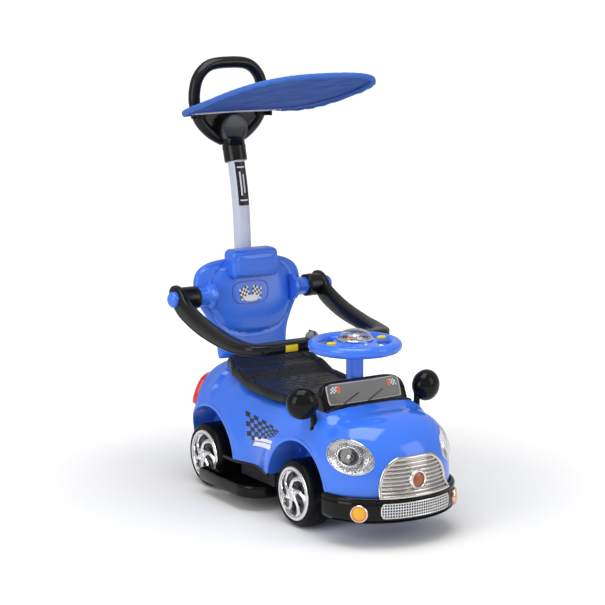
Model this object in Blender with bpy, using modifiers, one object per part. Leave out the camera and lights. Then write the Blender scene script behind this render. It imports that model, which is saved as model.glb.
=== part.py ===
"""A foot-to-floor ride-on car with a push bar, a guard rail and a sun canopy, in metres.

The car faces -Y, its right side is -X, and the ground is at z = 0. Every piece hangs from one
empty, whose place sets the model's origin under the middle of its bounding box. Lengths along Y are
measured from the middle between the two axles.
"""

import math

import bmesh
import bpy
from mathutils import Matrix, Vector

# Clearances
GAP = 0.0003
RUNNING_GAP = 0.0003
OPEN_PIVOT_GAP = 0.0006

# Wheels and axles
WHEEL_RADIUS = 0.070
WHEEL_WIDTH = 0.0625
WHEEL_OUTER_X = 0.1432
HALF_WHEELBASE = 0.1807
TYRE_WALL = 0.012
TYRE_SHOULDER = 0.009
RIM_RADIUS = 0.0575
RIM_DEPTH = 0.013
HUB_RADIUS = 0.014
WEB_THICKNESS = 0.004
AXLE_RADIUS = 0.005
HUBCAP_SPOKES = 6
WHEEL_STEPS = 24

# Body
SILL_Z = 0.088
BODY_HALF_WIDTH = 0.146
DOOR_HALF_WIDTH = 0.131
NOSE_START_Y = -0.290
NOSE_LENGTH = 0.123
TAIL_START_Y = 0.205
TAIL_LENGTH = 0.105
FENDER_FADE = 0.035
ARCH_RADIUS = 0.109
ARCH_Z = 0.074
FRONT_ARCH_Y = -0.195
REAR_ARCH_Y = 0.160
FRONT_WELL_X = 0.058
REAR_WELL_X = 0.073
WALL = 0.0035

# Seat and storage bin
SEAT_FRONT_Y = -0.146
SEAT_REAR_Y = 0.176
SEAT_HALF_WIDTH = 0.112
SEAT_THICKNESS = 0.016
SEAT_CLEARANCE = 0.0014
BIN_HALF_WIDTH = 0.078
BIN_FRONT_Y = -0.112
BIN_REAR_Y = 0.125
BIN_FLOOR_Z = 0.135

# Steering
COLUMN_OFFSET = 0.0123
COLUMN_Y = -HALF_WHEELBASE - COLUMN_OFFSET
COLUMN_RADIUS = 0.018
STEERING_WHEEL_Z = 0.3667
STEERING_WHEEL_RADIUS = 0.0974
STEERING_RIM_RADIUS = 0.0123
ROD_RADIUS = 0.006
KINGPIN_X = 0.060
KINGPIN_RADIUS = 0.003
KNUCKLE_RADIUS = 0.010
STEERING_ARM = 0.022
CARRIER_BOTTOM_Z = 0.0515
CARRIER_TOP_Z = 0.1100
CARRIER_PLATE = 0.006

# Bumper, lamps and trim
BUMPER_STAND = 0.006
BUMPER_HALF_WIDTH = BODY_HALF_WIDTH + BUMPER_STAND
BUMPER_START_Y = NOSE_START_Y - 0.010
BUMPER_LENGTH = NOSE_LENGTH + 0.002
BUMPER_BOTTOM_Z = 0.052
BUMPER_WALL = 0.0052
HEADLIGHT_X = 0.1201
HEADLIGHT_Z = 0.1818
HEADLIGHT_WIDTH = 0.106
HEADLIGHT_HEIGHT = 0.068
HEADLIGHT_INSET = 0.0085
HEADLIGHT_DEPTH = 0.018
HEADLIGHT_CROWN = 0.0130
HEADLIGHT_STEPS = 20
FOG_RADIUS = 0.0175
GRILLE_HALF_WIDTH = 0.077
GRILLE_BOTTOM_Z = 0.108
GRILLE_HEIGHT = 0.077
BADGE_RADIUS = 0.019
MIRROR_RADIUS = 0.033
MIRROR_X = 0.1537
MIRROR_Y = -0.2317
MIRROR_Z = 0.2709

# Backrest and guard rail
BACKREST_Y = 0.214
BACKREST_THICKNESS = 0.036
GUARD_PIVOT_X = 0.184
GUARD_PIVOT_Y = 0.2134
GUARD_PIVOT_Z = 0.417
GUARD_ARM_WIDTH = 0.022
GUARD_FRONT_Y = -0.0640
GUARD_FRONT_Z = 0.350
GUARD_PIN_RADIUS = 0.005

# Push bar, grip and canopy
PUSH_BAR_RADIUS = 0.019
PUSH_BAR_Y = 0.2494
GRIP_Y = 0.3065
GRIP_TUBE_RADIUS = 0.0130
GRIP_TOP_Z = 0.930
GRIP_HALF_WIDTH = 0.100
CANOPY_HALF_WIDTH = 0.176
CANOPY_HALF_LENGTH = 0.188
CANOPY_CENTRE_Y = 0.1025
CANOPY_CENTRE_Z = 0.862
CANOPY_SLOPE = 0.272
CANOPY_EXPONENT = 3.36
CANOPY_THICKNESS = 0.003
CANOPY_HOOP_RADIUS = 0.002
CANOPY_HINGE_Y = 0.2805
CANOPY_HINGE_Z = 0.8093
CLIP_X = 0.0918

# Cowl, where the windscreen is seated in the body
COWL_HALF_WIDTH = 0.1045
COWL_FRONT_Y = -0.2480
COWL_REAR_Y = -0.1500
COWL_FLOOR_Z = 0.2360
PUSH_BAR_FOOT_Z = 0.160

# Footrests
FOOTREST_OUTER_X = 0.179
FOOTREST_INNER_X = 0.062
FOOTREST_BOTTOM_Z = 0.030
FOOTREST_RIM_Z = 0.056
FOOTREST_FLOOR = 0.005

BLUE = (0.05, 0.19, 0.90)
BLACK = (0.012, 0.012, 0.014)
CHROME = (0.80, 0.80, 0.82)
STEEL = (0.60, 0.61, 0.63)
SIDES = (("right", -1), ("left", 1))


def remove_startup_objects():
    for item in list(bpy.data.objects):
        bpy.data.objects.remove(item, do_unlink=True)


def new_collection(name):
    collection = bpy.data.collections.new(name)
    bpy.context.scene.collection.children.link(collection)
    return collection


remove_startup_objects()
CAR = new_collection("ride_on_car")
CUTTERS = new_collection("cutters")
CUTTERS.hide_render = True
BASE = bpy.data.objects.new("car_origin", None)
CAR.objects.link(BASE)
BUMPER_MESH_STAND = 0.0025
bumper_front_y = BUMPER_START_Y - BUMPER_LENGTH - BUMPER_MESH_STAND
grip_rear_y = GRIP_Y + GRIP_TUBE_RADIUS
BASE.location.y = -(bumper_front_y + grip_rear_y) / 2


def finish(name, colour, roughness=0.3, metallic=0.0, alpha=1.0):
    material = bpy.data.materials.new(name)
    material.use_nodes = True
    shader = material.node_tree.nodes["Principled BSDF"]
    shader.inputs["Base Color"].default_value = (*colour, 1.0)
    shader.inputs["Roughness"].default_value = roughness
    shader.inputs["Metallic"].default_value = metallic
    shader.inputs["Alpha"].default_value = alpha
    return material


BLUE_GLOSS = finish("blue_gloss", BLUE, 0.15)
BLACK_GLOSS = finish("black_gloss", BLACK, 0.15)
BLACK_SATIN = finish("black_satin", BLACK, 0.45)
CHROME_PLATE = finish("chrome_plate", CHROME, 0.08, 1.0)
STEEL_ROD = finish("steel_rod", STEEL, 0.3, 1.0)
CLEAR = finish("clear_lens", (0.9, 0.95, 1.0), 0.05, 0.0, 0.35)
AMBER = finish("amber_lens", (0.95, 0.50, 0.03), 0.2)
RED = finish("red_lens", (0.85, 0.03, 0.02), 0.15)
YELLOW = finish("yellow_button", (0.85, 0.68, 0.02), 0.3)
TYRE_BLACK = finish("tyre_black", BLACK, 0.35)
SCREEN_GREY = finish("screen_grey", (0.20, 0.20, 0.21), 0.2)
BAR_SILVER = finish("bar_silver", (0.72, 0.73, 0.80), 0.3)
CLOTH_BLUE = finish("cloth_blue", (0.03, 0.10, 0.40), 0.8)


def add_object(name, mesh, surface, place=(0, 0, 0), turn=(0, 0, 0), cutter=False):
    """Links a mesh under the car's empty, as a part or as a hidden cutter."""
    piece = bpy.data.objects.new(name, mesh)
    if cutter:
        CUTTERS.objects.link(piece)
        piece.hide_render = True
        piece.display_type = "WIRE"
    else:
        CAR.objects.link(piece)
        mesh.materials.clear()
        mesh.materials.append(surface)
    piece.parent = BASE
    piece.location = place
    piece.rotation_euler = turn
    return piece


def mesh_from(build_mesh, name, smooth=True):
    """Makes a mesh from a function that fills a bmesh, with outward faces and soft shading."""
    work = bmesh.new()
    build_mesh(work)
    bmesh.ops.remove_doubles(work, verts=work.verts, dist=0.00001)
    bmesh.ops.recalc_face_normals(work, faces=work.faces)
    mesh = bpy.data.meshes.new(name)
    work.to_mesh(mesh)
    work.free()
    if smooth:
        mesh.shade_smooth()
        mesh.set_sharp_from_angle(angle=math.radians(35))
    return mesh


def box_mesh(name, size):
    def fill(work):
        bmesh.ops.create_cube(work, size=1.0)
        bmesh.ops.scale(work, vec=size, verts=work.verts)

    return mesh_from(fill, name, smooth=False)


def block(name, surface, low, high, bevel=0.0, cutter=False):
    """A box between two corners, with its edges rounded by a Bevel."""
    size = [b - a for a, b in zip(low, high)]
    middle = [(a + b) / 2 for a, b in zip(low, high)]
    piece = add_object(name, box_mesh(name, size), surface, middle, cutter=cutter)
    if bevel:
        round_edges(piece, bevel)
    return piece


def round_edges(piece, width, segments=2):
    bevel = piece.modifiers.new("Bevel", "BEVEL")
    bevel.width = width
    bevel.segments = segments
    bevel.limit_method = "ANGLE"
    bevel.angle_limit = math.radians(40)


def cylinder(name, surface, radius, start, end, sides=20, cutter=False, end_radius=None):
    """A cylinder or cone from one point to another."""
    run = Vector(end) - Vector(start)

    def fill(work):
        bmesh.ops.create_cone(
            work,
            cap_ends=True,
            segments=sides,
            radius1=radius,
            radius2=radius if end_radius is None else end_radius,
            depth=run.length,
        )

    turn = run.to_track_quat("Z", "Y").to_euler()
    middle = (Vector(start) + Vector(end)) / 2
    return add_object(name, mesh_from(fill, name), surface, middle, turn, cutter)


def ball(name, surface, centre, radii, sides=20, rings=12, turn=(0, 0, 0), cutter=False):
    def fill(work):
        bmesh.ops.create_uvsphere(work, u_segments=sides, v_segments=rings, radius=1.0)
        bmesh.ops.scale(work, vec=radii, verts=work.verts)

    return add_object(name, mesh_from(fill, name), surface, centre, turn, cutter)


def turned(name, surface, profile, place, turn=(0, 0, 0), steps=24, closed=False, cutter=False):
    """A profile of (radius, height) points, running down its outer side, turned about its own Z."""
    mesh = bpy.data.meshes.new(name)
    points = [(radius, 0.0, height) for radius, height in profile]
    edges = [(i, i + 1) for i in range(len(points) - 1)]
    if closed:
        edges.append((len(points) - 1, 0))
    mesh.from_pydata(points, edges, [])
    piece = add_object(name, mesh, surface, place, turn, cutter)
    screw = piece.modifiers.new("Screw", "SCREW")
    screw.steps = steps
    screw.render_steps = steps
    screw.use_merge_vertices = True
    screw.merge_threshold = 0.00005
    screw.use_smooth_shade = True
    return piece


def plate(name, surface, outline, thickness, place, turn=(0, 0, 0), cutter=False):
    """A flat outline in its own XY plane, extruded evenly to both sides of it."""
    curve = bpy.data.curves.new(name, "CURVE")
    curve.dimensions = "2D"
    curve.fill_mode = "BOTH"
    curve.extrude = thickness / 2
    line = curve.splines.new("POLY")
    line.points.add(len(outline) - 1)
    for point, (x, y) in zip(line.points, outline):
        point.co = (x, y, 0.0, 1.0)
    line.use_cyclic_u = True
    return from_curve(name, surface, curve, place, turn, cutter)


def tube(name, surface, points, radius, closed=False, sides=3, cutter=False):
    """A round tube through its points, with filled ends."""
    curve = bpy.data.curves.new(name, "CURVE")
    curve.dimensions = "3D"
    curve.bevel_depth = radius
    curve.bevel_resolution = sides
    curve.use_fill_caps = not closed
    line = curve.splines.new("POLY")
    line.points.add(len(points) - 1)
    for spot, point in zip(line.points, points):
        spot.co = (*point, 1.0)
    line.use_cyclic_u = closed
    return from_curve(name, surface, curve, (0, 0, 0), (0, 0, 0), cutter)


def from_curve(name, surface, curve, place, turn, cutter):
    """Turns a curve into a mesh with welded caps, so that Booleans can use it."""
    guide = bpy.data.objects.new(name, curve)
    CAR.objects.link(guide)
    bpy.context.view_layer.update()
    graph = bpy.context.evaluated_depsgraph_get()
    mesh = bpy.data.meshes.new_from_object(guide.evaluated_get(graph))
    bpy.data.objects.remove(guide, do_unlink=True)
    bpy.data.curves.remove(curve)
    work = bmesh.new()
    work.from_mesh(mesh)
    bmesh.ops.remove_doubles(work, verts=work.verts, dist=0.00001)
    bmesh.ops.recalc_face_normals(work, faces=work.faces)
    work.to_mesh(mesh)
    work.free()
    mesh.shade_smooth()
    mesh.set_sharp_from_angle(angle=math.radians(35))
    return add_object(name, mesh, surface, place, turn, cutter)


def lofted(name, surface, rings, cutter=False):
    """A skin through closed rings of equally many points, with a flat face at each end."""

    def fill(work):
        loops = [[work.verts.new(point) for point in ring] for ring in rings]
        count = len(loops[0])
        for near, far in zip(loops, loops[1:]):
            for i in range(count):
                j = (i + 1) % count
                work.faces.new((near[i], near[j], far[j], far[i]))
        work.faces.new(loops[0])
        work.faces.new(loops[-1])

    return add_object(name, mesh_from(fill, name), surface, cutter=cutter)


def boolean(piece, other, operation):
    change = piece.modifiers.new(other.name, "BOOLEAN")
    change.operation = operation
    change.object = other
    return piece


def cut(piece, *others):
    for other in others:
        boolean(piece, other, "DIFFERENCE")
    return piece


def join(piece, *others):
    for other in others:
        boolean(piece, other, "UNION")
    return piece


def smooth_path(points, steps):
    """A Catmull-Rom curve through the points."""
    ends = [points[0]] + list(points) + [points[-1]]
    spots = [Vector(point) for point in ends]
    path = []
    for a, b, c, d in zip(spots, spots[1:], spots[2:], spots[3:]):
        for k in range(steps):
            t = k / steps
            slope = (c - a) * t + (2 * a - 5 * b + 4 * c - d) * t * t + (3 * b - a - 3 * c + d) * t**3
            path.append(b + 0.5 * slope)
    path.append(spots[-1])
    return path


def along(value, stops):
    """A smooth value between (position, value) stops."""
    if value <= stops[0][0]:
        return stops[0][1]
    for (a, low), (b, high) in zip(stops, stops[1:]):
        if value <= b:
            t = (value - a) / (b - a)
            t = t * t * (3 - 2 * t)
            return low + (high - low) * t
    return stops[-1][1]


# Body shell

TOP_LINE = (
    (NOSE_START_Y, 0.246),
    (-0.250, 0.2575),
    (-0.200, 0.257),
    (-0.146, 0.240),
    (-0.050, 0.235),
    (0.040, 0.239),
    (0.100, 0.256),
    (0.150, 0.270),
    (TAIL_START_Y, 0.272),
)
SQUARENESS = (
    (NOSE_START_Y, 3.6),
    (-0.240, 4.4),
    (-0.100, 6.0),
    (0.050, 5.5),
    (0.150, 3.6),
    (TAIL_START_Y, 3.0),
)
NOSE_SQUARENESS = 2.6
NOSE_RIBS = 7
TAIL_SQUARENESS = 1.7
PLAN_SQUARENESS = 2.0


def quarter(angle, power):
    """A point on a unit quarter of a superellipse, from (0, 1) round to (1, 0)."""
    return math.sin(angle) ** (2 / power), max(math.cos(angle), 0.0) ** (2 / power)


def body_ribs():
    """The foot, the ridge point and the squareness of each rib, from the nose to the tail."""
    ribs = []
    side_count = 15
    tail_count = 6
    for k in range(NOSE_RIBS):
        turn = math.pi / 2 * k / NOSE_RIBS
        across, ahead = quarter(turn, PLAN_SQUARENESS)
        foot = (BODY_HALF_WIDTH * across, NOSE_START_Y - NOSE_LENGTH * ahead)
        power = NOSE_SQUARENESS + (SQUARENESS[0][1] - NOSE_SQUARENESS) * k / NOSE_RIBS
        ribs.append((foot, NOSE_START_Y, power))
    for k in range(side_count + 1):
        y = NOSE_START_Y + (TAIL_START_Y - NOSE_START_Y) * k / side_count
        ribs.append(((BODY_HALF_WIDTH, y), y, along(y, SQUARENESS)))
    for k in range(1, tail_count + 1):
        turn = math.pi / 2 * (1 - k / tail_count)
        across, behind = quarter(turn, PLAN_SQUARENESS)
        foot = (BODY_HALF_WIDTH * across, TAIL_START_Y + TAIL_LENGTH * behind)
        power = SQUARENESS[-1][1] + (TAIL_SQUARENESS - SQUARENESS[-1][1]) * k / tail_count
        ribs.append((foot, TAIL_START_Y, power))
    return ribs


def door_recess(y, z):
    """How far the side is drawn in between the fenders, as a share of the body's half width."""
    reach = min(math.hypot(y - centre, z - ARCH_Z) for centre in (FRONT_ARCH_Y, REAR_ARCH_Y))
    beyond = max(0.0, reach - ARCH_RADIUS - 0.006) / FENDER_FADE
    drawn = (BODY_HALF_WIDTH - DOOR_HALF_WIDTH) * (1 - math.exp(-beyond * beyond))
    inside = 1.0 if FRONT_ARCH_Y < y < REAR_ARCH_Y else 0.0
    return 1 - inside * drawn / BODY_HALF_WIDTH


def body_skin(inset=0.0, levels=8):
    """Rows of points from the sill to the ridge, one row for each rib, drawn in by the inset."""
    rows = []
    for (foot_x, foot_y), ridge_y, power in body_ribs():
        top = along(ridge_y, TOP_LINE) - inset
        reach = math.hypot(foot_x, foot_y - ridge_y)
        shrink = 1 - inset / reach
        row = []
        for k in range(levels + 1):
            up, out = quarter(math.pi / 2 * k / levels, power)
            z = SILL_Z + (top - SILL_Z) * up
            y = ridge_y + (foot_y - ridge_y) * shrink * out
            row.append((foot_x * shrink * out * door_recess(y, z), y, z))
        rows.append(row)
    return rows


def body_mesh(name, inset=0.0, depth_below=0.0):
    """Both halves of the body as one closed skin, with a flat underside."""

    def fill(work):
        rows = body_skin(inset)
        if depth_below:
            rows = [[(row[0][0], row[0][1], SILL_Z - depth_below)] + row for row in rows]
        grid = {}
        for side in (1, -1):
            for i, row in enumerate(rows):
                for k, (x, y, z) in enumerate(row):
                    grid[side, i, k] = work.verts.new((side * x, y, z))
            for i in range(len(rows) - 1):
                for k in range(len(rows[0]) - 1):
                    corners = [grid[side, i, k], grid[side, i + 1, k]]
                    corners += [grid[side, i + 1, k + 1], grid[side, i, k + 1]]
                    work.faces.new(corners)
        bmesh.ops.remove_doubles(work, verts=work.verts, dist=0.0001)
        rim = [edge for edge in work.edges if edge.is_boundary]
        bmesh.ops.contextual_create(work, geom=rim)

    return mesh_from(fill, name)


def wheel_arch(label, side_name, side, centre_y, inner_x, wall=0.0):
    """A cylinder that a wheel's well is cut with, or its thicker lining."""
    start = (side * (inner_x - wall), centre_y, ARCH_Z)
    end = (side * 0.2, centre_y, ARCH_Z)
    return cylinder(f"{label}_{side_name}", None, ARCH_RADIUS + wall, start, end, 32, cutter=True)


def hollow(name, low, high):
    return block(f"cut_{name}", None, low, high, cutter=True)


def make_body():
    """The blue shell: its skin, the linings of the four wells, and the bin under the seat."""
    body = add_object("body_shell", body_mesh("body_shell"), BLUE_GLOSS)
    below = SILL_Z - 0.02
    cavity = add_object("cut_cavity", body_mesh("cut_cavity", WALL, 0.02), None, cutter=True)
    bin_low = (-BIN_HALF_WIDTH - WALL, BIN_FRONT_Y - WALL, BIN_FLOOR_Z - WALL)
    bin_high = (BIN_HALF_WIDTH + WALL, BIN_REAR_Y + WALL, 0.31)
    cowl_low = (-COWL_HALF_WIDTH - WALL, COWL_FRONT_Y - WALL, COWL_FLOOR_Z - WALL)
    cowl_high = (COWL_HALF_WIDTH + WALL, COWL_REAR_Y + WALL, 0.31)
    linings = [hollow("bin_lining", bin_low, bin_high), hollow("cowl_lining", cowl_low, cowl_high)]
    sleeve = PUSH_BAR_RADIUS + GAP + WALL
    sleeve_foot = (0, PUSH_BAR_Y, PUSH_BAR_FOOT_Z - WALL)
    sleeve_top = (0, PUSH_BAR_Y, 0.31)
    linings.append(cylinder("cut_bar_sleeve", None, sleeve, sleeve_foot, sleeve_top, 28, cutter=True))
    boss_foot = (0, COLUMN_Y, CARRIER_TOP_Z)
    boss_top = (0, COLUMN_Y, 0.31)
    linings.append(cylinder("cut_rod_boss", None, ROD_RADIUS + WALL, boss_foot, boss_top, 20, cutter=True))
    wells = []
    for side_name, side in SIDES:
        for place, centre_y, inner_x in (
            ("front", FRONT_ARCH_Y, FRONT_WELL_X),
            ("rear", REAR_ARCH_Y, REAR_WELL_X),
        ):
            linings.append(wheel_arch(f"cut_lining_{place}", side_name, side, centre_y, inner_x, WALL))
            wells.append(wheel_arch(f"cut_arch_{place}", side_name, side, centre_y, inner_x))
    cut(cavity, *linings)
    bin_inside = ((-BIN_HALF_WIDTH, BIN_FRONT_Y, BIN_FLOOR_Z), (BIN_HALF_WIDTH, BIN_REAR_Y, 0.30))
    steering_space = ((-0.084, -0.246, below), (0.084, -0.129, CARRIER_TOP_Z + GAP))
    cowl_seat = ((-COWL_HALF_WIDTH, COWL_FRONT_Y, COWL_FLOOR_Z), (COWL_HALF_WIDTH, COWL_REAR_Y, 0.30))
    rod_hole = ROD_RADIUS + RUNNING_GAP
    bar_hole = PUSH_BAR_RADIUS + GAP
    bar_foot = (0, PUSH_BAR_Y, PUSH_BAR_FOOT_Z)
    return cut(
        body,
        cavity,
        *wells,
        hollow("storage_bin", *bin_inside),
        hollow("steering", *steering_space),
        hollow("cowl_seat", *cowl_seat),
        cylinder("cut_rod", None, rod_hole, (0, COLUMN_Y, 0.09), (0, COLUMN_Y, 0.30), 20, cutter=True),
        cylinder("cut_bar_socket", None, bar_hole, bar_foot, (0, PUSH_BAR_Y, 0.31), 28, cutter=True),
    )


BODY = make_body()


# Wheels

def wheel_profile():
    """The section of a wheel as (radius, x), with its outer face at the higher x."""
    inner_x = WHEEL_OUTER_X - WHEEL_WIDTH
    web_outer = WHEEL_OUTER_X - RIM_DEPTH
    web_inner = web_outer - WEB_THICKNESS
    bore = AXLE_RADIUS + RUNNING_GAP
    drum = WHEEL_RADIUS - TYRE_WALL
    shoulder = TYRE_SHOULDER
    points = [(RIM_RADIUS, WHEEL_OUTER_X - 0.002)]
    points.append((RIM_RADIUS + 0.002, WHEEL_OUTER_X))
    for k in range(3):
        turn = math.pi / 2 * k / 2
        r = WHEEL_RADIUS - shoulder * (1 - math.sin(turn))
        x = WHEEL_OUTER_X - shoulder * (1 - math.cos(turn))
        points.append((r, x))
    points.append((WHEEL_RADIUS, inner_x + shoulder))
    points.append((WHEEL_RADIUS - shoulder, inner_x))
    points.append((drum - 0.002, inner_x))
    points.append((drum - 0.002, web_inner))
    points.append((HUB_RADIUS, web_inner))
    points.append((HUB_RADIUS, inner_x))
    points.append((bore, inner_x))
    points.append((bore, web_outer))
    points.append((RIM_RADIUS, web_outer))
    return points


def hubcap_profile():
    """The section of a hubcap as (radius, x): a dished sheet with a raised rim and a domed centre."""
    back = WHEEL_OUTER_X - RIM_DEPTH + GAP
    rim = RIM_RADIUS - GAP
    sheet = 0.0025
    return [
        (0.0, back + 0.0110),
        (0.010, back + 0.0098),
        (0.014, back + 0.0060),
        (rim - 0.011, back + 0.0060),
        (rim - 0.004, back + 0.0125),
        (rim, back + 0.0115),
        (rim, back),
        (rim - sheet, back),
        (rim - 0.009, back + 0.0060 - sheet),
        (0.012, back),
        (0.0, back),
    ]


def spoke_slot(k):
    """One curved window between two hubcap spokes, as an outline in the hubcap's plane."""
    start = 2 * math.pi * k / HUBCAP_SPOKES
    inner, outer = 0.0180, 0.0430
    steps = 2
    edge_out = []
    edge_back = []
    for i in range(steps + 1):
        t = i / steps
        radius = inner + (outer - inner) * t
        sweep = 0.75 * t
        width = (0.10 + 0.52 * t) * 0.62
        edge_out.append((radius * math.cos(start + sweep), radius * math.sin(start + sweep)))
        far = start + sweep + width
        edge_back.append((radius * math.cos(far), radius * math.sin(far)))
    return edge_out + edge_back[::-1]


def make_hubcap(name, side, y):
    """A chrome hubcap with swept windows, on the outer side of a wheel."""
    turn = (0, side * math.pi / 2, 0)
    place = (0, y, WHEEL_RADIUS)
    cap = turned(name, CHROME_PLATE, hubcap_profile(), place, turn, steps=WHEEL_STEPS)
    windows = [
        plate(f"cut_{name}_{k}", None, spoke_slot(k), 0.06, place, turn, cutter=True)
        for k in range(HUBCAP_SPOKES)
    ]
    for window in windows:
        window.location.x = side * WHEEL_OUTER_X
    return cut(cap, *windows)


def make_wheel(name, side, y):
    turn = (0, side * math.pi / 2, 0)
    turned(f"{name}_tyre", TYRE_BLACK, wheel_profile(), (0, y, WHEEL_RADIUS), turn, WHEEL_STEPS, closed=True)
    make_hubcap(f"{name}_hubcap", side, y)


for side_name, side in SIDES:
    make_wheel(f"front_{side_name}", side, -HALF_WHEELBASE)
    make_wheel(f"rear_{side_name}", side, HALF_WHEELBASE)


def nose_point(x, z):
    """The point of the nose's smooth surface that lies ahead of a given x and z."""
    top = TOP_LINE[0][1]
    up = min(max((z - SILL_Z) / (top - SILL_Z), 0.0), 0.999)
    power = NOSE_SQUARENESS
    out = 1.0
    for _ in range(8):
        out = (1 - up**power) ** (1 / power)
        share = min(abs(x) / (BODY_HALF_WIDTH * out), 0.999)
        turn = math.asin(share ** (PLAN_SQUARENESS / 2))
        power = NOSE_SQUARENESS + (SQUARENESS[0][1] - NOSE_SQUARENESS) * turn / (math.pi / 2)
    ahead = (1 - share**PLAN_SQUARENESS) ** (1 / PLAN_SQUARENESS)
    return Vector((x, NOSE_START_Y - NOSE_LENGTH * out * ahead, z))


def nose_normal(x, z):
    step = 0.001
    across = nose_point(x + step, z) - nose_point(x - step, z)
    up = nose_point(x, z + step) - nose_point(x, z - step)
    return across.cross(up).normalized()


def tail_point(turn, level):
    """A point of the tail's surface: turn runs round the corner and level up from the sill."""
    across, behind = quarter(abs(turn), PLAN_SQUARENESS)
    share = 1 - abs(turn) / (math.pi / 2)
    power = SQUARENESS[-1][1] + (TAIL_SQUARENESS - SQUARENESS[-1][1]) * share
    up, out = quarter(level, power)
    x = math.copysign(BODY_HALF_WIDTH * across * out, turn)
    y = TAIL_START_Y + TAIL_LENGTH * behind * out
    return Vector((x, y, SILL_Z + (TOP_LINE[-1][1] - SILL_Z) * up))


def tail_normal(turn, level):
    step = 0.01
    across = tail_point(turn + step, level) - tail_point(turn - step, level)
    up = tail_point(turn, level + step) - tail_point(turn, level - step)
    normal = up.cross(across).normalized()
    return normal if normal.y > 0 else -normal


def patch(name, surface, inner_rows, outer_rows, cutter=False):
    """A closed solid between two grids of points, one behind the other."""

    def fill(work):
        near = [[work.verts.new(point) for point in row] for row in inner_rows]
        far = [[work.verts.new(point) for point in row] for row in outer_rows]
        last_row = len(near) - 1
        last = len(near[0]) - 1
        for grid in (near, far):
            for i in range(last_row):
                for k in range(last):
                    work.faces.new((grid[i][k], grid[i][k + 1], grid[i + 1][k + 1], grid[i + 1][k]))
        edge = [(0, k) for k in range(last)] + [(i, last) for i in range(last_row)]
        edge += [(last_row, k) for k in range(last, 0, -1)] + [(i, 0) for i in range(last_row, 0, -1)]
        for (a, b), (c, d) in zip(edge, edge[1:] + edge[:1]):
            work.faces.new((near[a][b], near[c][d], far[c][d], far[a][b]))

    return add_object(name, mesh_from(fill, name), surface, cutter=cutter)


# Running gear

CHASSIS_BOTTOM_Z = CARRIER_BOTTOM_Z + CARRIER_PLATE + GAP
CHASSIS_TOP_Z = SILL_Z - GAP
WHEEL_INNER_X = WHEEL_OUTER_X - WHEEL_WIDTH
AXLE_END_X = WHEEL_OUTER_X - RIM_DEPTH - GAP
KNUCKLE_TOP_Z = 0.0815
ARM_THICKNESS = 0.004
TIE_ROD_THICKNESS = 0.006
PIN_RADIUS = 0.003
arm_top_z = KNUCKLE_TOP_Z + ARM_THICKNESS
tie_rod_low_z = arm_top_z + 0.001
tie_rod_high_z = tie_rod_low_z + TIE_ROD_THICKNESS
crank_low_z = tie_rod_high_z + 0.001
crank_high_z = crank_low_z + 0.006
arm_pin_y = -HALF_WHEELBASE + STEERING_ARM
crank_pin_y = COLUMN_Y + STEERING_ARM


def make_chassis():
    """The black floor pan: a spine, the sills' wings and the rear axle's block."""
    spine, wing, rear_y = 0.055, 0.127, 0.262
    front_y = -HALF_WHEELBASE + 0.0337
    low, high = CHASSIS_BOTTOM_Z, CHASSIS_TOP_Z
    lug = WHEEL_INNER_X - 0.0007
    pan = block("chassis", BLACK_SATIN, (-spine, front_y, low), (spine, rear_y, high))
    wings = block("add_pan_wings", None, (-wing, -0.084, low), (wing, 0.049, high), cutter=True)
    lug_low = (-lug, HALF_WHEELBASE - 0.028, low)
    lug_high = (lug, HALF_WHEELBASE + 0.028, high)
    join(pan, wings, block("add_pan_lug", None, lug_low, lug_high, cutter=True))
    floor = low + WALL
    bore = AXLE_RADIUS + RUNNING_GAP
    bore_ends = [(x, HALF_WHEELBASE, WHEEL_RADIUS) for x in (-0.1, 0.1)]
    pockets = [
        hollow("pan_middle", (-spine + WALL, front_y + 0.027, floor), (spine - WALL, 0.146, 0.1)),
        hollow("pan_rear", (-spine + WALL, 0.216, floor), (spine - WALL, rear_y - WALL, 0.1)),
        hollow("pan_axle", (-lug + 0.016, 0.160, floor), (lug - 0.016, 0.202, 0.1)),
        hollow("pan_wing_right", (-wing + WALL, -0.080, floor), (-spine - WALL, 0.045, 0.1)),
        hollow("pan_wing_left", (spine + WALL, -0.080, floor), (wing - WALL, 0.045, 0.1)),
        cylinder("cut_axle_bore", None, bore, bore_ends[0], bore_ends[1], 16, cutter=True),
    ]
    return cut(pan, *pockets)


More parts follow.
